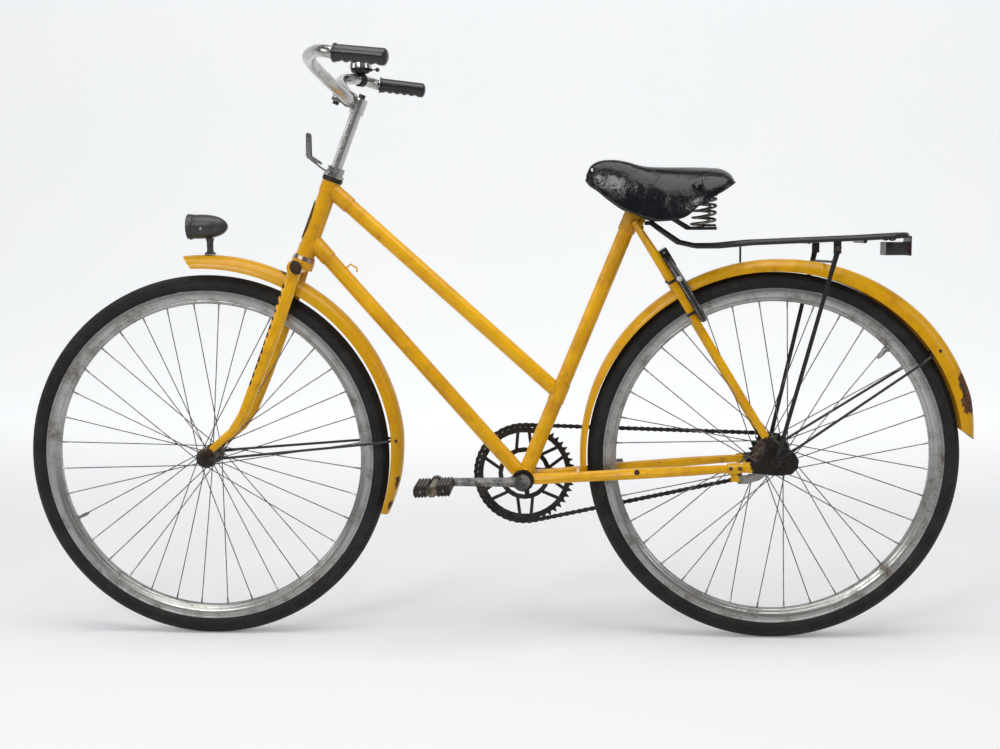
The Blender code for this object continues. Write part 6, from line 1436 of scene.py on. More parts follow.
@dataclass
class Bars:
    """The handlebar with its grips and its bell, and the stem that carries them."""

    centre: Vector = spot(-0.809535, 0.0, 1.045717)
    radius: float = 0.0111
    clamp_half: float = 0.0150
    grip_length: float = 0.100
    grip_radius: float = 0.0150
    grip_sides: int = 40
    grip_step: float = 0.0012
    collar_end: float = 0.0085
    collar_rise: float = 0.0015
    notch_depth: float = 0.0024
    notch_length: float = 0.0152
    notch_margin: float = 0.012
    grip_round: float = 0.008
    bell_seat: Vector = spot(-0.8252187, 0.2453125, 1.1079531)
    bell_way: Vector = spot(0.54618, 0.83533, -0.06248)
    bell_radius: float = 0.0230
    lever_way: Vector = spot(0.95, -0.31, 0.0)

    def half_path(self, side: Side) -> list[Vector]:
        """Half of the bar's middle line.

        Args:
            side: The half.

        Returns:
            The points from the clamp to the end of the grip.
        """
        one = side.value
        start = self.grip_start(side)
        points = [Vector((self.centre.x, one * (self.clamp_half + 0.001), self.centre.z)),
                  Vector((self.centre.x - 0.001, one * 0.0300, self.centre.z + 0.001))]
        points += [Vector((x, one * y, z)) for x, y, z in BAR_BEND] + [start]
        return smooth_line(points, 8) + [start + self.grip_way(side) * (self.grip_length - 0.008)]

    def grip_start(self, side: Side) -> Vector:
        """Where a grip starts."""
        return Vector((-0.7950, side.value * 0.2790, 1.1010))

    def grip_way(self, side: Side) -> Vector:
        """The way that a grip runs."""
        return Vector((0.1010, side.value * 0.0180, -0.0120)).normalized()

    def build(self) -> None:
        """Builds the bar, the grips and the bell, and dresses the stem."""
        bar = Workpiece("handlebar_tube")
        bar.sweep(list(reversed(self.half_path(Side.LEFT))) + self.half_path(Side.RIGHT), self.radius, 24)
        bar.place(BRIGHT, "handlebar", 50.0, ["handlebar"])
        for side in Side:
            self.grip(side)
        self.bell()
        dress(BRIGHT, "stem")
        dress(BOLT_STEEL, "stem_clamp_bolt", "expander_bolt")

    def grip(self, side: Side) -> None:
        """One grip: notches for the fingers along its underside, a collar and a rounded end.

        Args:
            side: The grip's side.
        """
        start, way = self.grip_start(side), self.grip_way(side)
        out = across(way)
        other = way.cross(out)
        count = int((self.grip_length - 0.004) / self.grip_step)
        places = [0.004 + self.grip_step * number for number in range(count)]
        places.append(self.grip_length + self.grip_step)
        rings = []
        for along in places:
            ring = []
            for step in range(self.grip_sides):
                turn = math.tau * step / self.grip_sides
                aim = out * math.cos(turn) + other * math.sin(turn)
                ring.append(start + way * along + aim * self.grip_reach(along, max(-aim.z, 0.0)))
            rings.append(ring)
        part = Workpiece("grip_" + side.word + "_moulded").loft(rings)
        part.place(GRIP_RUBBER, "handlebar", 50.0, ["grip_" + side.word])

    def grip_reach(self, along: float, below: float) -> float:
        """The grip's radius at a place.

        Args:
            along: The place along the grip.
            below: How far that side looks down, from 0 to 1.

        Returns:
            The radius.
        """
        radius = self.grip_radius + (self.collar_rise if along < self.collar_end else 0.0)
        if self.notch_margin < along < self.grip_length - self.notch_margin:
            turn = math.tau * (along - self.notch_margin) / self.notch_length
            radius -= self.notch_depth * below ** 1.5 * (0.5 - 0.5 * math.cos(turn))
        left = self.grip_length + 0.002 - along
        if left < self.grip_round:
            radius *= math.sqrt(max(1.0 - ((self.grip_round - left) / self.grip_round) ** 2, 0.02))
        return radius

    def bell(self) -> None:
        """The bell: band, cup-shaped base, domed gong, and the thumb lever with its knob."""
        foot = self.bell_seat + Z_AXIS * (self.radius + 0.0014)
        inner = self.radius + 0.0004
        outer = inner + 0.0024
        base = Workpiece("bell_cup")
        base.lathe(foot, Z_AXIS, BELL_CUP, 40)
        band = [(inner, -0.0065), (outer, -0.0060), (outer, 0.0060), (inner, 0.0065)]
        base.lathe(self.bell_seat, self.bell_way, band, 32, Ends.JOINED)
        base.place(BLACK_ENAMEL, "handlebar", 40.0, ["bell_base"])
        gong = Workpiece("bell_gong")
        gong.lathe(foot + Z_AXIS * 0.0110, Z_AXIS, BELL_GONG, 56)
        gong.dome(foot + Z_AXIS * 0.0316, Z_AXIS, 0.0030, 0.0004, 16)
        gong.place(BRIGHT, "handlebar", 35.0, ["bell_dome"])
        way = self.lever_way.normalized()
        pivot = foot + way * (self.bell_radius + 0.0013) + Z_AXIS * 0.0040
        middle = [pivot + way * ahead + Z_AXIS * up
                  for ahead, up in ((0.0, 0.003), (0.006, 0.0034), (0.012, 0.003))]
        lever = Workpiece("bell_thumb_lever")
        lever.rod(pivot, pivot + Z_AXIS * 0.0060, 0.0029, 16, 0.0005)
        lever.sweep(middle, (0.0013, 0.0022), 10)
        lever.lathe(pivot + way * 0.0145 + Z_AXIS * 0.0030, Z_AXIS, LEVER_KNOB, 20)
        lever.place(GRIP_RUBBER, "bell_lever", 40.0, ["bell_lever"])


LAMP_SHELL = [(0.0, 0.0052), (0.0220, 0.0050), (0.0225, 0.0), (0.0241, 0.0), (0.0245, 0.0006),
              (0.0245, 0.0092), (0.0240, 0.0104), (0.0233, 0.0112), (0.0235, 0.0122), (0.0236, 0.0250),
              (0.0230, 0.0400), (0.0212, 0.0510), (0.0182, 0.0610), (0.0140, 0.0690), (0.0090, 0.0745),
              (0.0045, 0.0772), (0.0, 0.0780)]
LAMP_NECK = [(0.0, 0.0), (0.0112, 0.0), (0.0112, 0.0018), (0.0095, 0.0036), (0.0068, 0.0052),
             (0.0062, 0.0100), (0.0066, 0.0240), (0.0085, 0.0310), (0.0, 0.0330)]
LAMP_LENS = [(0.0, -0.0030), (0.0080, -0.0027), (0.0150, -0.0016), (0.0205, 0.0002), (0.0219, 0.0020),
             (0.0219, 0.0046), (0.0, 0.0046)]


@dataclass
class Lamp:
    """The bullet-shaped headlamp on its stand, with its bezel and ribbed glass."""

    front: Vector = spot(-1.1310, 0.0, 0.8060)
    foot_angle: float = 88.4
    foot_radius: float = 0.3961
    side_screw: Triple = (0.0300, 0.0229, -0.0040)
    low_screw: Vector = spot(0.0052, 0.0, -0.0244)

    def build(self) -> None:
        """Builds the housing, the stand, the glass and the screws."""
        body = Workpiece("headlamp_housing")
        body.lathe(self.front, X_AXIS, LAMP_SHELL, 64)
        body.lathe(polar(FRONT_HUB, self.foot_radius, self.foot_angle), Z_AXIS, LAMP_NECK, 32)
        body.place(LAMP_PLASTIC, "steering", 30.0, ["headlamp"])
        glass = Workpiece("headlamp_glass")
        glass.lathe(self.front, X_AXIS, LAMP_LENS, 48)
        glass.place(LAMP_GLASS, "steering", 30.0, ["headlamp_lens"])
        screws = Workpiece("headlamp_screws")
        x, y, z = self.side_screw
        for side in Side:
            screws.dome(self.front + Vector((x, side.value * y, z)), Y_AXIS * side.value, 0.0028, 0.0010, 14)
        screws.dome(self.front + self.low_screw, -Z_AXIS, 0.0022, 0.0012, 12)
        screws.place(PALE_STEEL, "steering", 35.0, slot="rusty_steel")


PEDAL_PLATE_HALF = ((-0.0345, 0.0050), (-0.0325, 0.0078), (-0.0215, 0.0088), (-0.0130, 0.0066),
                    (-0.0088, 0.0082), (0.0, 0.0094), (0.0088, 0.0082), (0.0130, 0.0066), (0.0215, 0.0088),
                    (0.0325, 0.0078), (0.0345, 0.0050))


@dataclass
class Pedal:
    """One block pedal: ribbed rubbers between two plates on a sleeve, with a dust cap."""

    side: Side
    crank_length: float = 0.165
    start: float = 0.0670
    length: float = 0.0900
    tilt: float = 3.0
    block_place: float = 0.0215
    block_wide: float = 0.0240
    block_high: float = 0.0220
    ribs: int = 4
    rib_depth: float = 0.0020
    rib_shares: tuple[float, ...] = (0.14, 0.26, 0.74, 0.86)
    corner: float = 0.0030
    plate: float = 0.0028
    plate_inset: float = 0.0015
    sleeve_radii: Pair = (0.0062, 0.0092)
    bolt_head: Pair = (0.0028, 0.0014)
    cap_radius: float = 0.0108
    cap_sink: float = 0.0030

    def block_outline(self, middle: float) -> list[Pair]:
        """A rubber's ribbed outline.

        Args:
            middle: Its place ahead of the spindle.

        Returns:
            The outline's corners.
        """
        wide, high = self.block_wide / 2, self.block_high / 2
        step = self.block_wide / self.ribs
        heights = (high - self.rib_depth, high, high, high - self.rib_depth)
        top = [(middle - wide, high - self.corner)]
        for rib in range(self.ribs):
            top += [(middle - wide + step * (rib + share), tall) for share,
                    tall in zip(self.rib_shares, heights)]
        top.append((middle + wide, high - self.corner))
        return top + [(a, -b) for a, b in reversed(top)]

    def build(self) -> None:
        """Builds the rubbers, the plates, the sleeve, the bolts and the cap."""
        out = Y_AXIS * self.side.value
        body = "pedal_" + self.side.word
        centre = BRACKET + X_AXIS * (self.side.value * self.crank_length)
        turn = math.radians(self.tilt)
        right = Vector((math.cos(turn), 0.0, math.sin(turn)))
        up = Vector((-right.z, 0.0, right.x))
        middle = centre + out * (self.start + self.length / 2)
        end = centre + out * (self.start + self.length)
        rubbers, metal, fittings = (Workpiece(body + word) for word in ("_rubbers", "_plates", "_cap"))
        for ahead in (-1, 1):
            rubbers.slab([self.block_outline(ahead * self.block_place)], middle, right, up,
                         self.length - 0.0066)
            fittings.dome(end + right * (ahead * self.block_place) - out * 0.0004, out, *self.bolt_head, 14)
        for place in (self.start + self.plate_inset, self.start + self.length - self.plate_inset):
            metal.slab([self.plate_outline()], centre + out * place, right, up, self.plate)
        inner, outer = self.sleeve_radii
        reach = self.length - 0.001
        sleeve = [(inner, 0.0), (outer, 0.0), (outer, reach), (inner, reach)]
        fittings.lathe(centre + out * self.start, out, sleeve, 28, Ends.JOINED)
        radius = self.cap_radius
        cap = [(0.0, 0.0), (radius, 0.0), (radius, 0.0042), (radius - 0.0012, 0.0054),
               (radius * 0.62, 0.0056), (radius * 0.50, 0.0048), (0.0, 0.0046)]
        fittings.lathe(end - out * self.cap_sink, out, cap, 32)
        rubbers.place(PEDAL_RUBBER, body, 35.0, [body])
        metal.place(DARK_STEEL, body, 35.0, slot="rusty_steel")
        fittings.place(CAP_STEEL, body, 35.0, slot="rusty_steel")

    def plate_outline(self) -> list[Pair]:
        """An end plate's outline: high round the spindle and at the rubbers' bolts, waisted between."""
        return [(a, -b) for a, b in PEDAL_PLATE_HALF] + list(reversed(PEDAL_PLATE_HALF))


@dataclass
class Chain:
    """The roller chain on the ring and the sprocket, link by link."""

    pitch: float = 0.0127
    ring_teeth: int = 48
    cog_teeth: int = 19
    links: int = 110
    line: float = 0.0440
    plate_thickness: float = 0.00085
    eye: float = 0.0043
    waist: float = 0.0029
    plate_places: Pair = (0.00175, 0.00270)
    pin_half: float = 0.0032
    pin_radius: float = 0.0017
    roller_half: float = 0.0013
    roller_radius: float = 0.0029

    def radius(self, teeth: int) -> float:
        """A toothed wheel's pitch radius."""
        return self.pitch / (2 * math.sin(math.pi / teeth))

    def pins(self) -> list[Vector]:
        """Every pin's place.

        Returns:
            The pins in order round the loop.
        """
        ring, cog = self.radius(self.ring_teeth), self.radius(self.cog_teeth)
        line = REAR_HUB - BRACKET
        tilt = math.atan2(line.z, line.x)
        fall = math.acos((ring - cog) / line.length)
        low, high = math.degrees(tilt - fall), math.degrees(tilt + fall)
        run = line.length * math.sin(fall) / self.pitch
        ring_end = self.ring_teeth * (1 - fall / math.pi)
        low_end = ring_end + run
        cog_end = low_end + self.cog_teeth * fall / math.pi
        places = []
        for number in range(self.links):
            gone = (cog_end + run) * number / self.links
            if gone < ring_end:
                pin = polar(BRACKET, ring, high + 360.0 * gone / self.ring_teeth)
            elif gone < low_end:
                pin = polar(BRACKET, ring, low).lerp(polar(REAR_HUB, cog, low), (gone - ring_end) / run)
            elif gone < cog_end:
                pin = polar(REAR_HUB, cog, low + 360.0 * (gone - low_end) / self.cog_teeth)
            else:
                pin = polar(REAR_HUB, cog, high).lerp(polar(BRACKET, ring, high), (gone - cog_end) / run)
            places.append(pin)
        return places

    def link_outline(self, length: float) -> list[Pair]:
        """A link plate's outline, round at both eyes and drawn in at its waist.

        Args:
            length: The distance between its pins.

        Returns:
            The outline's corners.
        """
        outline = []
        for end, first, waist in ((length / 2, -120, self.waist), (-length / 2, 60, -self.waist)):
            for step in range(9):
                angle = math.radians(first + 240 * step / 8)
                outline.append((end + self.eye * math.cos(angle), self.eye * math.sin(angle)))
            outline.append((0.0, waist))
        return outline

    def build(self) -> None:
        """Builds plates, rollers and pins as one piece, and dresses the toothed wheels."""
        part = Workpiece("chain_links")
        pins = self.pins()
        for number, pin in enumerate(pins):
            way = pins[(number + 1) % self.links] - pin
            right = way.normalized()
            up = Vector((-right.z, 0.0, right.x))
            outline = self.link_outline(way.length)
            centre = pin + Y_AXIS * self.line
            for side in Side:
                origin = centre + way / 2 + Y_AXIS * (side.value * self.plate_places[number % 2])
                part.slab([outline], origin, right, up, self.plate_thickness)
            part.rod(centre - Y_AXIS * self.pin_half, centre + Y_AXIS * self.pin_half, self.pin_radius,
                     10, 0.0003)
            part.rod(centre - Y_AXIS * self.roller_half, centre + Y_AXIS * self.roller_half,
                     self.roller_radius, 12)
        part.place(CHAIN_STEEL, "frame", 35.0, ["chain"])
        dress(CHAIN_STEEL, "rear_sprocket", "crank_right")
        dress(CRANK_STEEL, "crank_left", "bracket_spindle")
        dress(DARK_STEEL, "bracket_cup_left", "bracket_cup_right")


FLANGE = [(-0.8961, 0.9400), (-0.8952, 0.9800), (-0.8936, 0.9830), (-0.8906, 0.9838), (-0.8876, 0.9828),
          (-0.8862, 0.9800), (-0.8858, 0.9405), (-0.8668, 0.9275), (-0.8672, 0.9230), (-0.8925, 0.9345)]


@dataclass
class FrameTrim:
    """The finishes of the brazed frame and the fork, and the small pieces on them."""

    badge_low: float = 0.4660
    badge_high: float = 0.5440
    badge_half_turn: float = 46.0
    badge_lifts: Pair = (0.0004, 0.0012)
    badge_bulge: float = 0.0007
    badge_rows: int = 18
    badge_turns: int = 8
    badge_pin_inset: float = 0.006
    head_radius: float = 0.0170
    flange_place: float = 0.0055
    flange_thickness: float = 0.0012
    clip: Vector = spot(-0.0780, -0.0575, 0.3416)
    stay_bolt: Vector = spot(-0.2620, -0.0530, 0.3330)
    seat_bolts: tuple[Vector, ...] = (Vector((-0.2520, 0.0, 0.7978)), Vector((-0.2355, -0.0042, 0.8065)))
    rack_lug: Triple = (0.0980, 0.0606, 0.7560)
    rack_lug_step: float = 0.0110

    def build(self) -> None:
        """Dresses the tubes and builds the bare head plate and the small bolts."""
        dress(TUBE_ENAMEL, "head_tube", "top_tube", "down_tube", "seat_tube")
        dress(STAY_ENAMEL, "chainstay_left", "chainstay_right", "seatstay_left", "seatstay_right")
        dress(FORK_ENAMEL, "fork")
        dress(ENAMEL, "brake_clip")
        dress(RACE_PLATING, "headset_lower_cup")
        dress(DARK_STEEL, "headset_upper_cup", "rear_axle", "front_axle")
        dress(OLD_PLATING, "headset_race", "headset_locknut")
        dress(PALE_STEEL, "brake_arm")
        dress(BLACK_ENAMEL, "front_mudguard_stay", "rear_mudguard_stay")
        dress(OLD_PLATING, "lamp_bracket")
        self.badge()
        self.bracket_flanges()
        self.bolts()

    def bracket_flanges(self) -> None:
        """The folded edges that stiffen the lamp bracket's upright and its lower leg."""
        part = Workpiece("lamp_bracket_flanges")
        for side in Side:
            part.slab([FLANGE], Y_AXIS * (side.value * self.flange_place), X_AXIS, Z_AXIS,
                      self.flange_thickness)
        part.place(OLD_PLATING, "steering", 35.0, slot="chrome")

    def badge(self) -> None:
        """The bare oval plate on the front of the head tube, with its two pins."""
        part = Workpiece("head_plate")
        middle, half = (self.badge_low + self.badge_high) / 2, (self.badge_high - self.badge_low) / 2
        back, front = ([self.badge_row(middle + half * share, share, lift) for share in self.badge_shares()]
                       for lift in self.badge_lifts)
        part.grid(back).grid(front)
        for edge in (0, -1):
            part.grid([[one[edge], two[edge]] for one, two in zip(back, front)])
        bmesh.ops.remove_doubles(part.mesh, verts=part.mesh.verts, dist=0.000002)
        for place in (self.badge_low + self.badge_pin_inset, self.badge_high - self.badge_pin_inset):
            part.dome(steer(place, self.head_radius + 0.0016), STEER_AHEAD, 0.0016, 0.0007, 10)
        part.place(BADGE, "frame", 40.0, slot="rusty_steel")

    def badge_shares(self) -> list[float]:
        """The places of the plate's rows, from -1 at its low end to 1."""
        return [-1.0 + 2.0 * step / self.badge_rows for step in range(self.badge_rows + 1)]

    def badge_row(self, along: float, share: float, lift: float) -> list[Vector]:
        """One row of points across the plate.

        Args:
            along: The height along the steering axis.
            share: The row's place, from -1 at the plate's low end to 1.
            lift: The distance from the head tube.

        Returns:
            The points, from one edge to the other.
        """
        reach = self.badge_half_turn * math.sqrt(max(1.0 - abs(share) ** 2.4, 0.0))
        bulge = self.badge_bulge if lift == max(self.badge_lifts) else 0.0
        row = []
        for turn in range(-self.badge_turns, self.badge_turns + 1):
            angle = math.radians(reach * turn / self.badge_turns)
            radius = self.head_radius + lift + bulge * (1 - (turn / self.badge_turns) ** 2)
            row.append(steer(along, radius * math.cos(angle), radius * math.sin(angle)))
        return row

    def bolts(self) -> None:
        """Nuts and bolt heads at the crown, the stays, the clip and the rack."""
        crown = Workpiece("crown_bolts")
        crown.hexagon(steer(0.412, 0.0184), STEER_AHEAD, 0.0062, 0.0042)
        crown.place(BOLT_STEEL, "steering", 30.0, slot="rusty_steel")
        part = Workpiece("frame_bolts")
        for ahead in (-0.0075, 0.0095):
            part.hexagon(self.clip + Vector((ahead, -0.0098, 0.0012)), -Y_AXIS, 0.0042, 0.0032)
        part.dome(self.clip + Vector((0.0100, -0.0020, -0.0100)), -Y_AXIS, 0.0050, 0.0030, 14)
        for place in self.seat_bolts:
            part.hexagon(place, -Y_AXIS, 0.0046, 0.0034)
        part.dome(self.stay_bolt, -Y_AXIS, 0.0052, 0.0045, 16)
        x, y, z = self.rack_lug
        for side in Side:
            lug = Vector((x - side.value * self.rack_lug_step, side.value * y, z))
            part.hexagon(lug, Y_AXIS * side.value, 0.0054, 0.0040)
            part.dome(lug + Y_AXIS * (side.value * 0.0038), Y_AXIS * side.value, 0.0028, 0.0022, 12)
        part.place(BOLT_STEEL, "frame", 30.0, slot="rusty_steel")


@dataclass
class Rack:
    """The rear rack's finishes, its reflector and its small fittings."""

    reflector_low: Vector = field(default_factory=lambda: Vector(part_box("reflector")[0]))
    reflector_high: Vector = field(default_factory=lambda: Vector(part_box("reflector")[1]))
    corner: float = 0.0035
    face_depth: float = 0.0012
    face_shares: Pair = (0.88, 0.82)
    coil_middle: Triple = (0.2150, 0.0200, 0.7765)
    coil_radius: float = 0.0056
    coil_pitch: float = 0.0034
    coil_wire: float = 0.0013
    coil_turns: int = 5
    coil_steps: int = 16

    def build(self) -> None:
        """Dresses the rack and builds the reflector and the clip's coil."""
        dress(BLACK_ENAMEL, "rack_frame", "rack_stays", "rack_clip")
        self.reflector()
        self.clip_coil()

    def reflector(self) -> None:
        """The reflector: a black case round a red face that looks backwards."""
        low, high, depth = self.reflector_low, self.reflector_high, self.face_depth
        middle = (low + high) / 2
        wide, tall = (high.y - low.y) / 2 - self.corner, (high.z - low.z) / 2 - self.corner
        outline = []
        for number, (a, b) in enumerate(((1, 1), (-1, 1), (-1, -1), (1, -1))):
            for step in range(5):
                angle = math.radians(90 * number + 90 * step / 4)
                outline.append((a * wide + self.corner * math.cos(angle),
                                b * tall + self.corner * math.sin(angle)))
        case = Workpiece("reflector_case")
        case.slab([outline], middle - X_AXIS * depth, Y_AXIS, Z_AXIS, high.x - low.x - depth * 2)
        case.place(LAMP_PLASTIC, "frame", 35.0, ["reflector"])
        across_share, up_share = self.face_shares
        inside = [(a * across_share, b * up_share) for a, b in outline]
        face = Workpiece("reflector_face")
        face.slab([inside], Vector((high.x - depth, middle.y, middle.z)), Y_AXIS, Z_AXIS, 0.0022)
        face.place(RED_PRISMS, "frame", 35.0, slot="red")

    def clip_coil(self) -> None:
        """The closely wound coil of the rack's spring clip round the rear bend."""
        part = Workpiece("rack_clip_coils")
        x, y, z = self.coil_middle
        for side in Side:
            path = []
            for number in range(self.coil_turns * self.coil_steps + 1):
                turns = number / self.coil_steps
                out, up = math.cos(math.tau * turns), math.sin(math.tau * turns)
                path.append(Vector((x + self.coil_radius * out, side.value * (y + self.coil_pitch * turns),
                                    z + self.coil_radius * up)))
            part.sweep(path, self.coil_wire, 8)
        part.place(BOLT_STEEL, "rack_clip", 50.0, slot="rusty_steel")


LOCK_BARREL = [(0.0, 0.0), (0.0062, 0.0), (0.0062, 0.0016), (0.0052, 0.0024), (0.0020, 0.0024),
               (0.0016, 0.0012), (0.0, 0.0012)]
LOCK_SCREW = [(0.0, 0.0), (0.0060, 0.0), (0.0060, 0.0020), (0.0048, 0.0034), (0.0, 0.0038)]


@dataclass
class RingLock:
    """The ring lock: its finishes, pressed seams, key barrel, screws and bands on the stays."""

    centre: Vector = spot(-0.170557, 0.0, 0.681457)
    up: Vector = spot(-0.51404, 0.0, 0.857766)
    behind: Vector = spot(0.857766, 0.0, 0.51404)
    radius: float = 0.0740
    half_width: float = 0.0078
    case_place: float = 0.0675
    case_side: float = 0.0280
    cover_screw: float = 0.0120
    seam_ways: tuple[Pair, ...] = ((118.0, 238.0), (62.0, -58.0))
    seam_place: float = 0.0042
    seam_radius: float = 0.0009
    seam_steps: int = 30
    ring_screws: Pair = (162.0, 18.0)
    stay_way: Vector = spot(0.5134, -0.0557, -0.8563)
    stay_radius: float = 0.0083
    band_thickness: float = 0.0008
    band_half: float = 0.0026
    band_places: tuple[Vector, ...] = (Vector((-0.1962, -0.0413, 0.6959)),
                                       Vector((-0.1600, -0.0465, 0.6356)))

    def point(self, degrees: float, out: float, back: float) -> Vector:
        """A point near the ring.

        Args:
            degrees: The angle round the ring, where 90 is away from the hub and 180 is the left side.
            out: The distance outside the ring's middle line.
            back: The distance behind the ring's plane.

        Returns:
            The point.
        """
        angle = math.radians(degrees)
        aim = Y_AXIS * math.cos(angle) + self.up * math.sin(angle)
        return self.centre + aim * (self.radius + out) + self.behind * back

    def build(self) -> None:
        """Dresses the lock and builds its small pieces."""
        dress(BLACK_ENAMEL, "lock_body")
        dress(OLD_PLATING, "lock_shackle")
        self.seams()
        self.barrel()
        self.bands()

    def seams(self) -> None:
        """The two pressed seams along each side of the ring, worn to the metal."""
        part = Workpiece("lock_seams")
        for first, last in self.seam_ways:
            for back in (-self.seam_place, self.seam_place):
                path = [self.point(first + (last - first) * step / self.seam_steps,
                                   self.half_width * 0.90, back)
                        for step in range(self.seam_steps + 1)]
                part.sweep(path, self.seam_radius, 8)
        part.place(PALE_STEEL, "frame", 40.0, slot="rusty_steel")

    def barrel(self) -> None:
        """The key barrel and the screws of the case's left cover, and the two bright screws of the ring."""
        part = Workpiece("lock_barrel")
        face = self.centre - Y_AXIS * (self.case_side - 0.0002) + self.behind * 0.0012
        face = face + self.up * self.case_place
        part.lathe(face, -Y_AXIS, LOCK_BARREL, 28)
        for lift in (-self.cover_screw, self.cover_screw):
            part.dome(face + self.up * lift, -Y_AXIS, 0.0026, 0.0012, 12)
        for degrees in self.ring_screws:
            foot = self.point(degrees, self.half_width - 0.0010, -0.0015)
            part.lathe(foot, self.point(degrees, 1.0, 0.0) - self.point(degrees, 0.0, 0.0), LOCK_SCREW, 24)
        part.place(PALE_STEEL, "frame", 30.0, slot="rusty_steel")

    def bands(self) -> None:
        """The two clamp bands that hold the lock to each seat stay."""
        part = Workpiece("lock_bands")
        inside, outside, half = self.stay_radius, self.stay_radius + self.band_thickness, self.band_half
        profile = [(inside, -half), (outside, -half), (outside, half), (inside, half)]
        for side in Side:
            mirror = Vector((1.0, -side.value, 1.0))
            for place in self.band_places:
                part.lathe(place * mirror, self.stay_way * mirror, profile, 28, Ends.JOINED)
        part.place(BLACK_ENAMEL, "frame", 30.0, slot="black")


@dataclass(frozen=True)
class Panel:
    """One soft rectangular light: its place, what it points at, its two sizes and its power in watts."""

    name: str
    place: Triple
    aim: Triple
    wide: float
    high: float
    power: float
    tint: Triple = (1.0, 0.99, 0.975)

    def build(self) -> None:
        """Hangs the light."""
        data = bpy.data.lights.new(self.name, "AREA")
        data.shape = "RECTANGLE"
        data.size, data.size_y, data.energy, data.color = self.wide, self.high, self.power, self.tint
        lamp = bpy.data.objects.new(self.name, data)
        lamp.location = self.place
        lamp.rotation_euler = (Vector(self.aim) - Vector(self.place)).to_track_quat("-Z", "Y").to_euler()
        bpy.context.scene.collection.objects.link(lamp)


PANELS = (Panel("ceiling_light", (-0.3, -0.6, 3.6), (-0.4, 0.1, 0.4), 4.0, 2.6, 120.0),
          Panel("front_light", (-1.9, -3.6, 2.7), (-0.5, 0.0, 0.5), 1.3, 1.0, 60.0),
          Panel("left_light", (-4.0, -0.9, 2.0), (-0.6, 0.0, 0.5), 1.4, 1.6, 16.0),
          Panel("right_light", (3.4, -1.4, 2.2), (-0.4, 0.0, 0.5), 1.4, 1.6, 16.0))


@dataclass
class Studio:
    """The pale studio: a swept backdrop, soft lights and the photograph's camera."""

    place: Triple = (-0.3741, -2.7181, 0.7997)
    yaw: float = 0.0556
    pitch: float = -0.1039
    roll: float = 0.0074
    lens: float = 50.68
    sensor: float = 36.0
    view_end: float = 60.0
    air_colour: Colour = (0.90, 0.94, 1.0, 1.0)
    air_strength: float = 0.16
    sweep_start: float = 3.2
    sweep_radius: float = 2.6
    wall_height: float = 8.0

    def build(self) -> None:
        """Builds backdrop, lights, world and camera."""
        self.backdrop()
        for panel in PANELS:
            panel.build()
        self.world()
        self.camera()

    def backdrop(self) -> None:
        """The floor that sweeps up behind the bicycle."""
        line = [(-9.0, 0.0), (-4.0, 0.0), (0.0, 0.0), (self.sweep_start, 0.0)]
        for degrees in range(6, 91, 6):
            angle = math.radians(degrees)
            line.append((self.sweep_start + self.sweep_radius * math.sin(angle),
                         self.sweep_radius - self.sweep_radius * math.cos(angle)))
        line.append((self.sweep_start + self.sweep_radius, self.wall_height))
        part = Workpiece("backdrop")
        part.grid([[Vector((x, y, z)) for x in (-12.0, -4.0, 0.0, 4.0, 12.0)] for y, z in line])
        part.made(Backdrop("studio_paper"), 35.0)
        LOG.info("backdrop of %d rows", len(line))

    def world(self) -> None:
        """A pale even surround."""
        world = bpy.data.worlds.new("studio_air")
        world.use_nodes = True
        back = world.node_tree.nodes["Background"]
        back.inputs["Color"].default_value = self.air_colour
        back.inputs["Strength"].default_value = self.air_strength
        bpy.context.scene.world = world
        bpy.context.scene.view_settings.view_transform = "Standard"

    def camera(self) -> None:
        """The camera at the photograph's place."""
        cos, sin = math.cos, math.sin
        forward = Vector((-sin(self.yaw) * cos(self.pitch), cos(self.yaw) * cos(self.pitch), sin(self.pitch)))
        level = Vector((cos(self.yaw), sin(self.yaw), 0.0))
        down = forward.cross(level)
        right = level * cos(self.roll) + down * sin(self.roll)
        low = level * -sin(self.roll) + down * cos(self.roll)
        data = bpy.data.cameras.new("camera")
        data.lens, data.sensor_width, data.clip_end = self.lens, self.sensor, self.view_end
        camera = bpy.data.objects.new("camera", data)
        turn = Matrix((right, -low, -forward)).transposed().to_4x4()
        camera.matrix_world = Matrix.Translation(self.place) @ turn
        bpy.context.scene.collection.objects.link(camera)
        bpy.context.scene.camera = camera


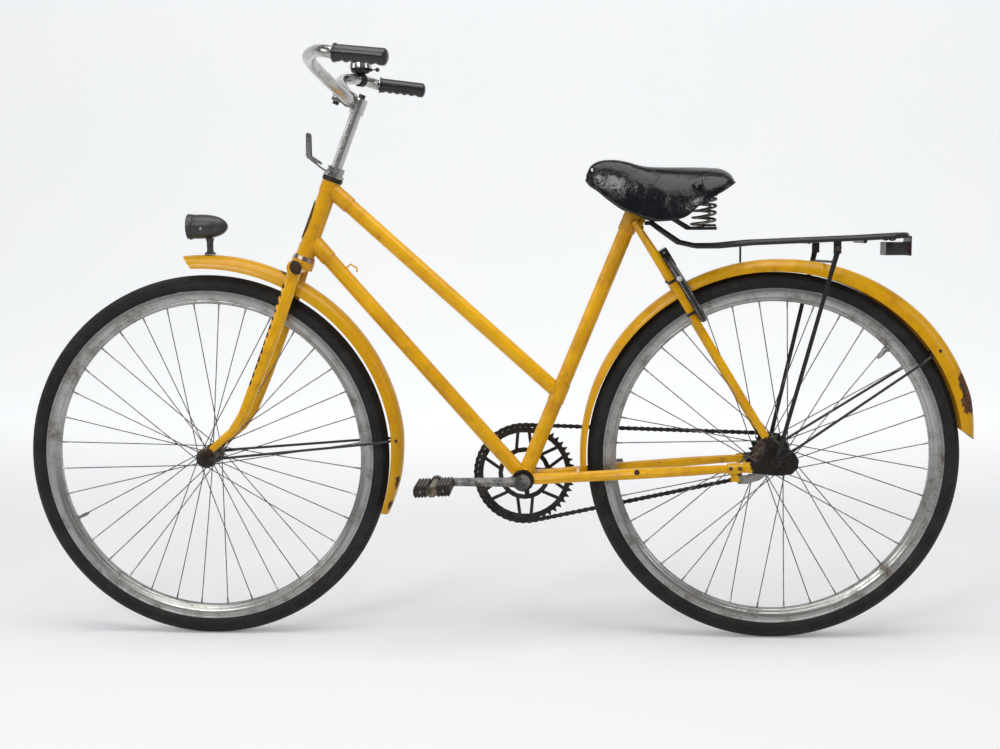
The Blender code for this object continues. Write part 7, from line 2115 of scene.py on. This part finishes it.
FRONT_ROWS = ((96.0, 0.3955, 0.3695, 0.0270), (80.0, 0.3955, 0.3680, 0.0280), (60.0, 0.3930, 0.3655, 0.0280),
              (8.0, 0.3890, 0.3650, 0.0280), (-6.0, 0.3820, 0.3600, 0.0270), (-18.0, 0.3714, 0.3578, 0.0250))
REAR_ROWS = ((5.0, 0.3840, 0.3580, 0.0250), (17.0, 0.3930, 0.3585, 0.0265), (42.0, 0.3925, 0.3580, 0.0270),
             (88.0, 0.3807, 0.3570, 0.0260), (140.0, 0.3760, 0.3580, 0.0255), (165.0, 0.3720, 0.3585, 0.0220),
             (186.5, 0.3700, 0.3585, 0.0180))
FRONT_HUB_RIGHT = [(0.0110, 0.0318), (0.0180, 0.0322), (0.0198, 0.0330), (0.0198, 0.0352), (0.0184, 0.0359),
                   (0.0135, 0.0360), (0.0135, 0.0389), (0.0075, 0.0389)]
FRONT_HUB_OUTLINE = [(radius, -place) for radius, place in reversed(FRONT_HUB_RIGHT)] + FRONT_HUB_RIGHT
REAR_HUB_OUTLINE = [(0.0075, -0.0500), (0.0160, -0.0500), (0.0200, -0.0475), (0.0225, -0.0440),
                    (0.0235, -0.0330), (0.0328, -0.0316), (0.0328, -0.0284), (0.0240, -0.0281),
                    (0.0240, 0.0281), (0.0328, 0.0284), (0.0328, 0.0316), (0.0200, 0.0319), (0.0200, 0.0370),
                    (0.0075, 0.0370)]


def main() -> None:
    """Builds the studio and every sub-assembly."""
    logging.basicConfig(level=logging.INFO, format="%(message)s")
    Studio().build()
    Wheel("front", FRONT_HUB, flange_radius=0.0200, flange_place=0.0340, first_spoke=5.0, valve_angle=205.0,
          hub_profile=FRONT_HUB_OUTLINE).build()
    Wheel("rear", REAR_HUB, flange_radius=0.0330, flange_place=0.0300, first_spoke=5.2, valve_angle=43.7,
          hub_profile=REAR_HUB_OUTLINE).build()
    Mudguard("front", FRONT_HUB, "steering", FRONT_GUARD_SHADED_ENAMEL, FRONT_ROWS, tip_cut=-2.6, stay_angle=5.0,
             steps=80).build()
    Mudguard("rear", REAR_HUB, "frame", GUARD_ENAMEL, REAR_ROWS, tip_cut=4.0, stay_angle=33.5).build()
    Saddle().build()
    Bars().build()
    Lamp().build()
    for side in Side:
        Pedal(side).build()
    Chain().build()
    FrameTrim().build()
    Rack().build()
    RingLock().build()


if __name__ == "__main__":
    main()
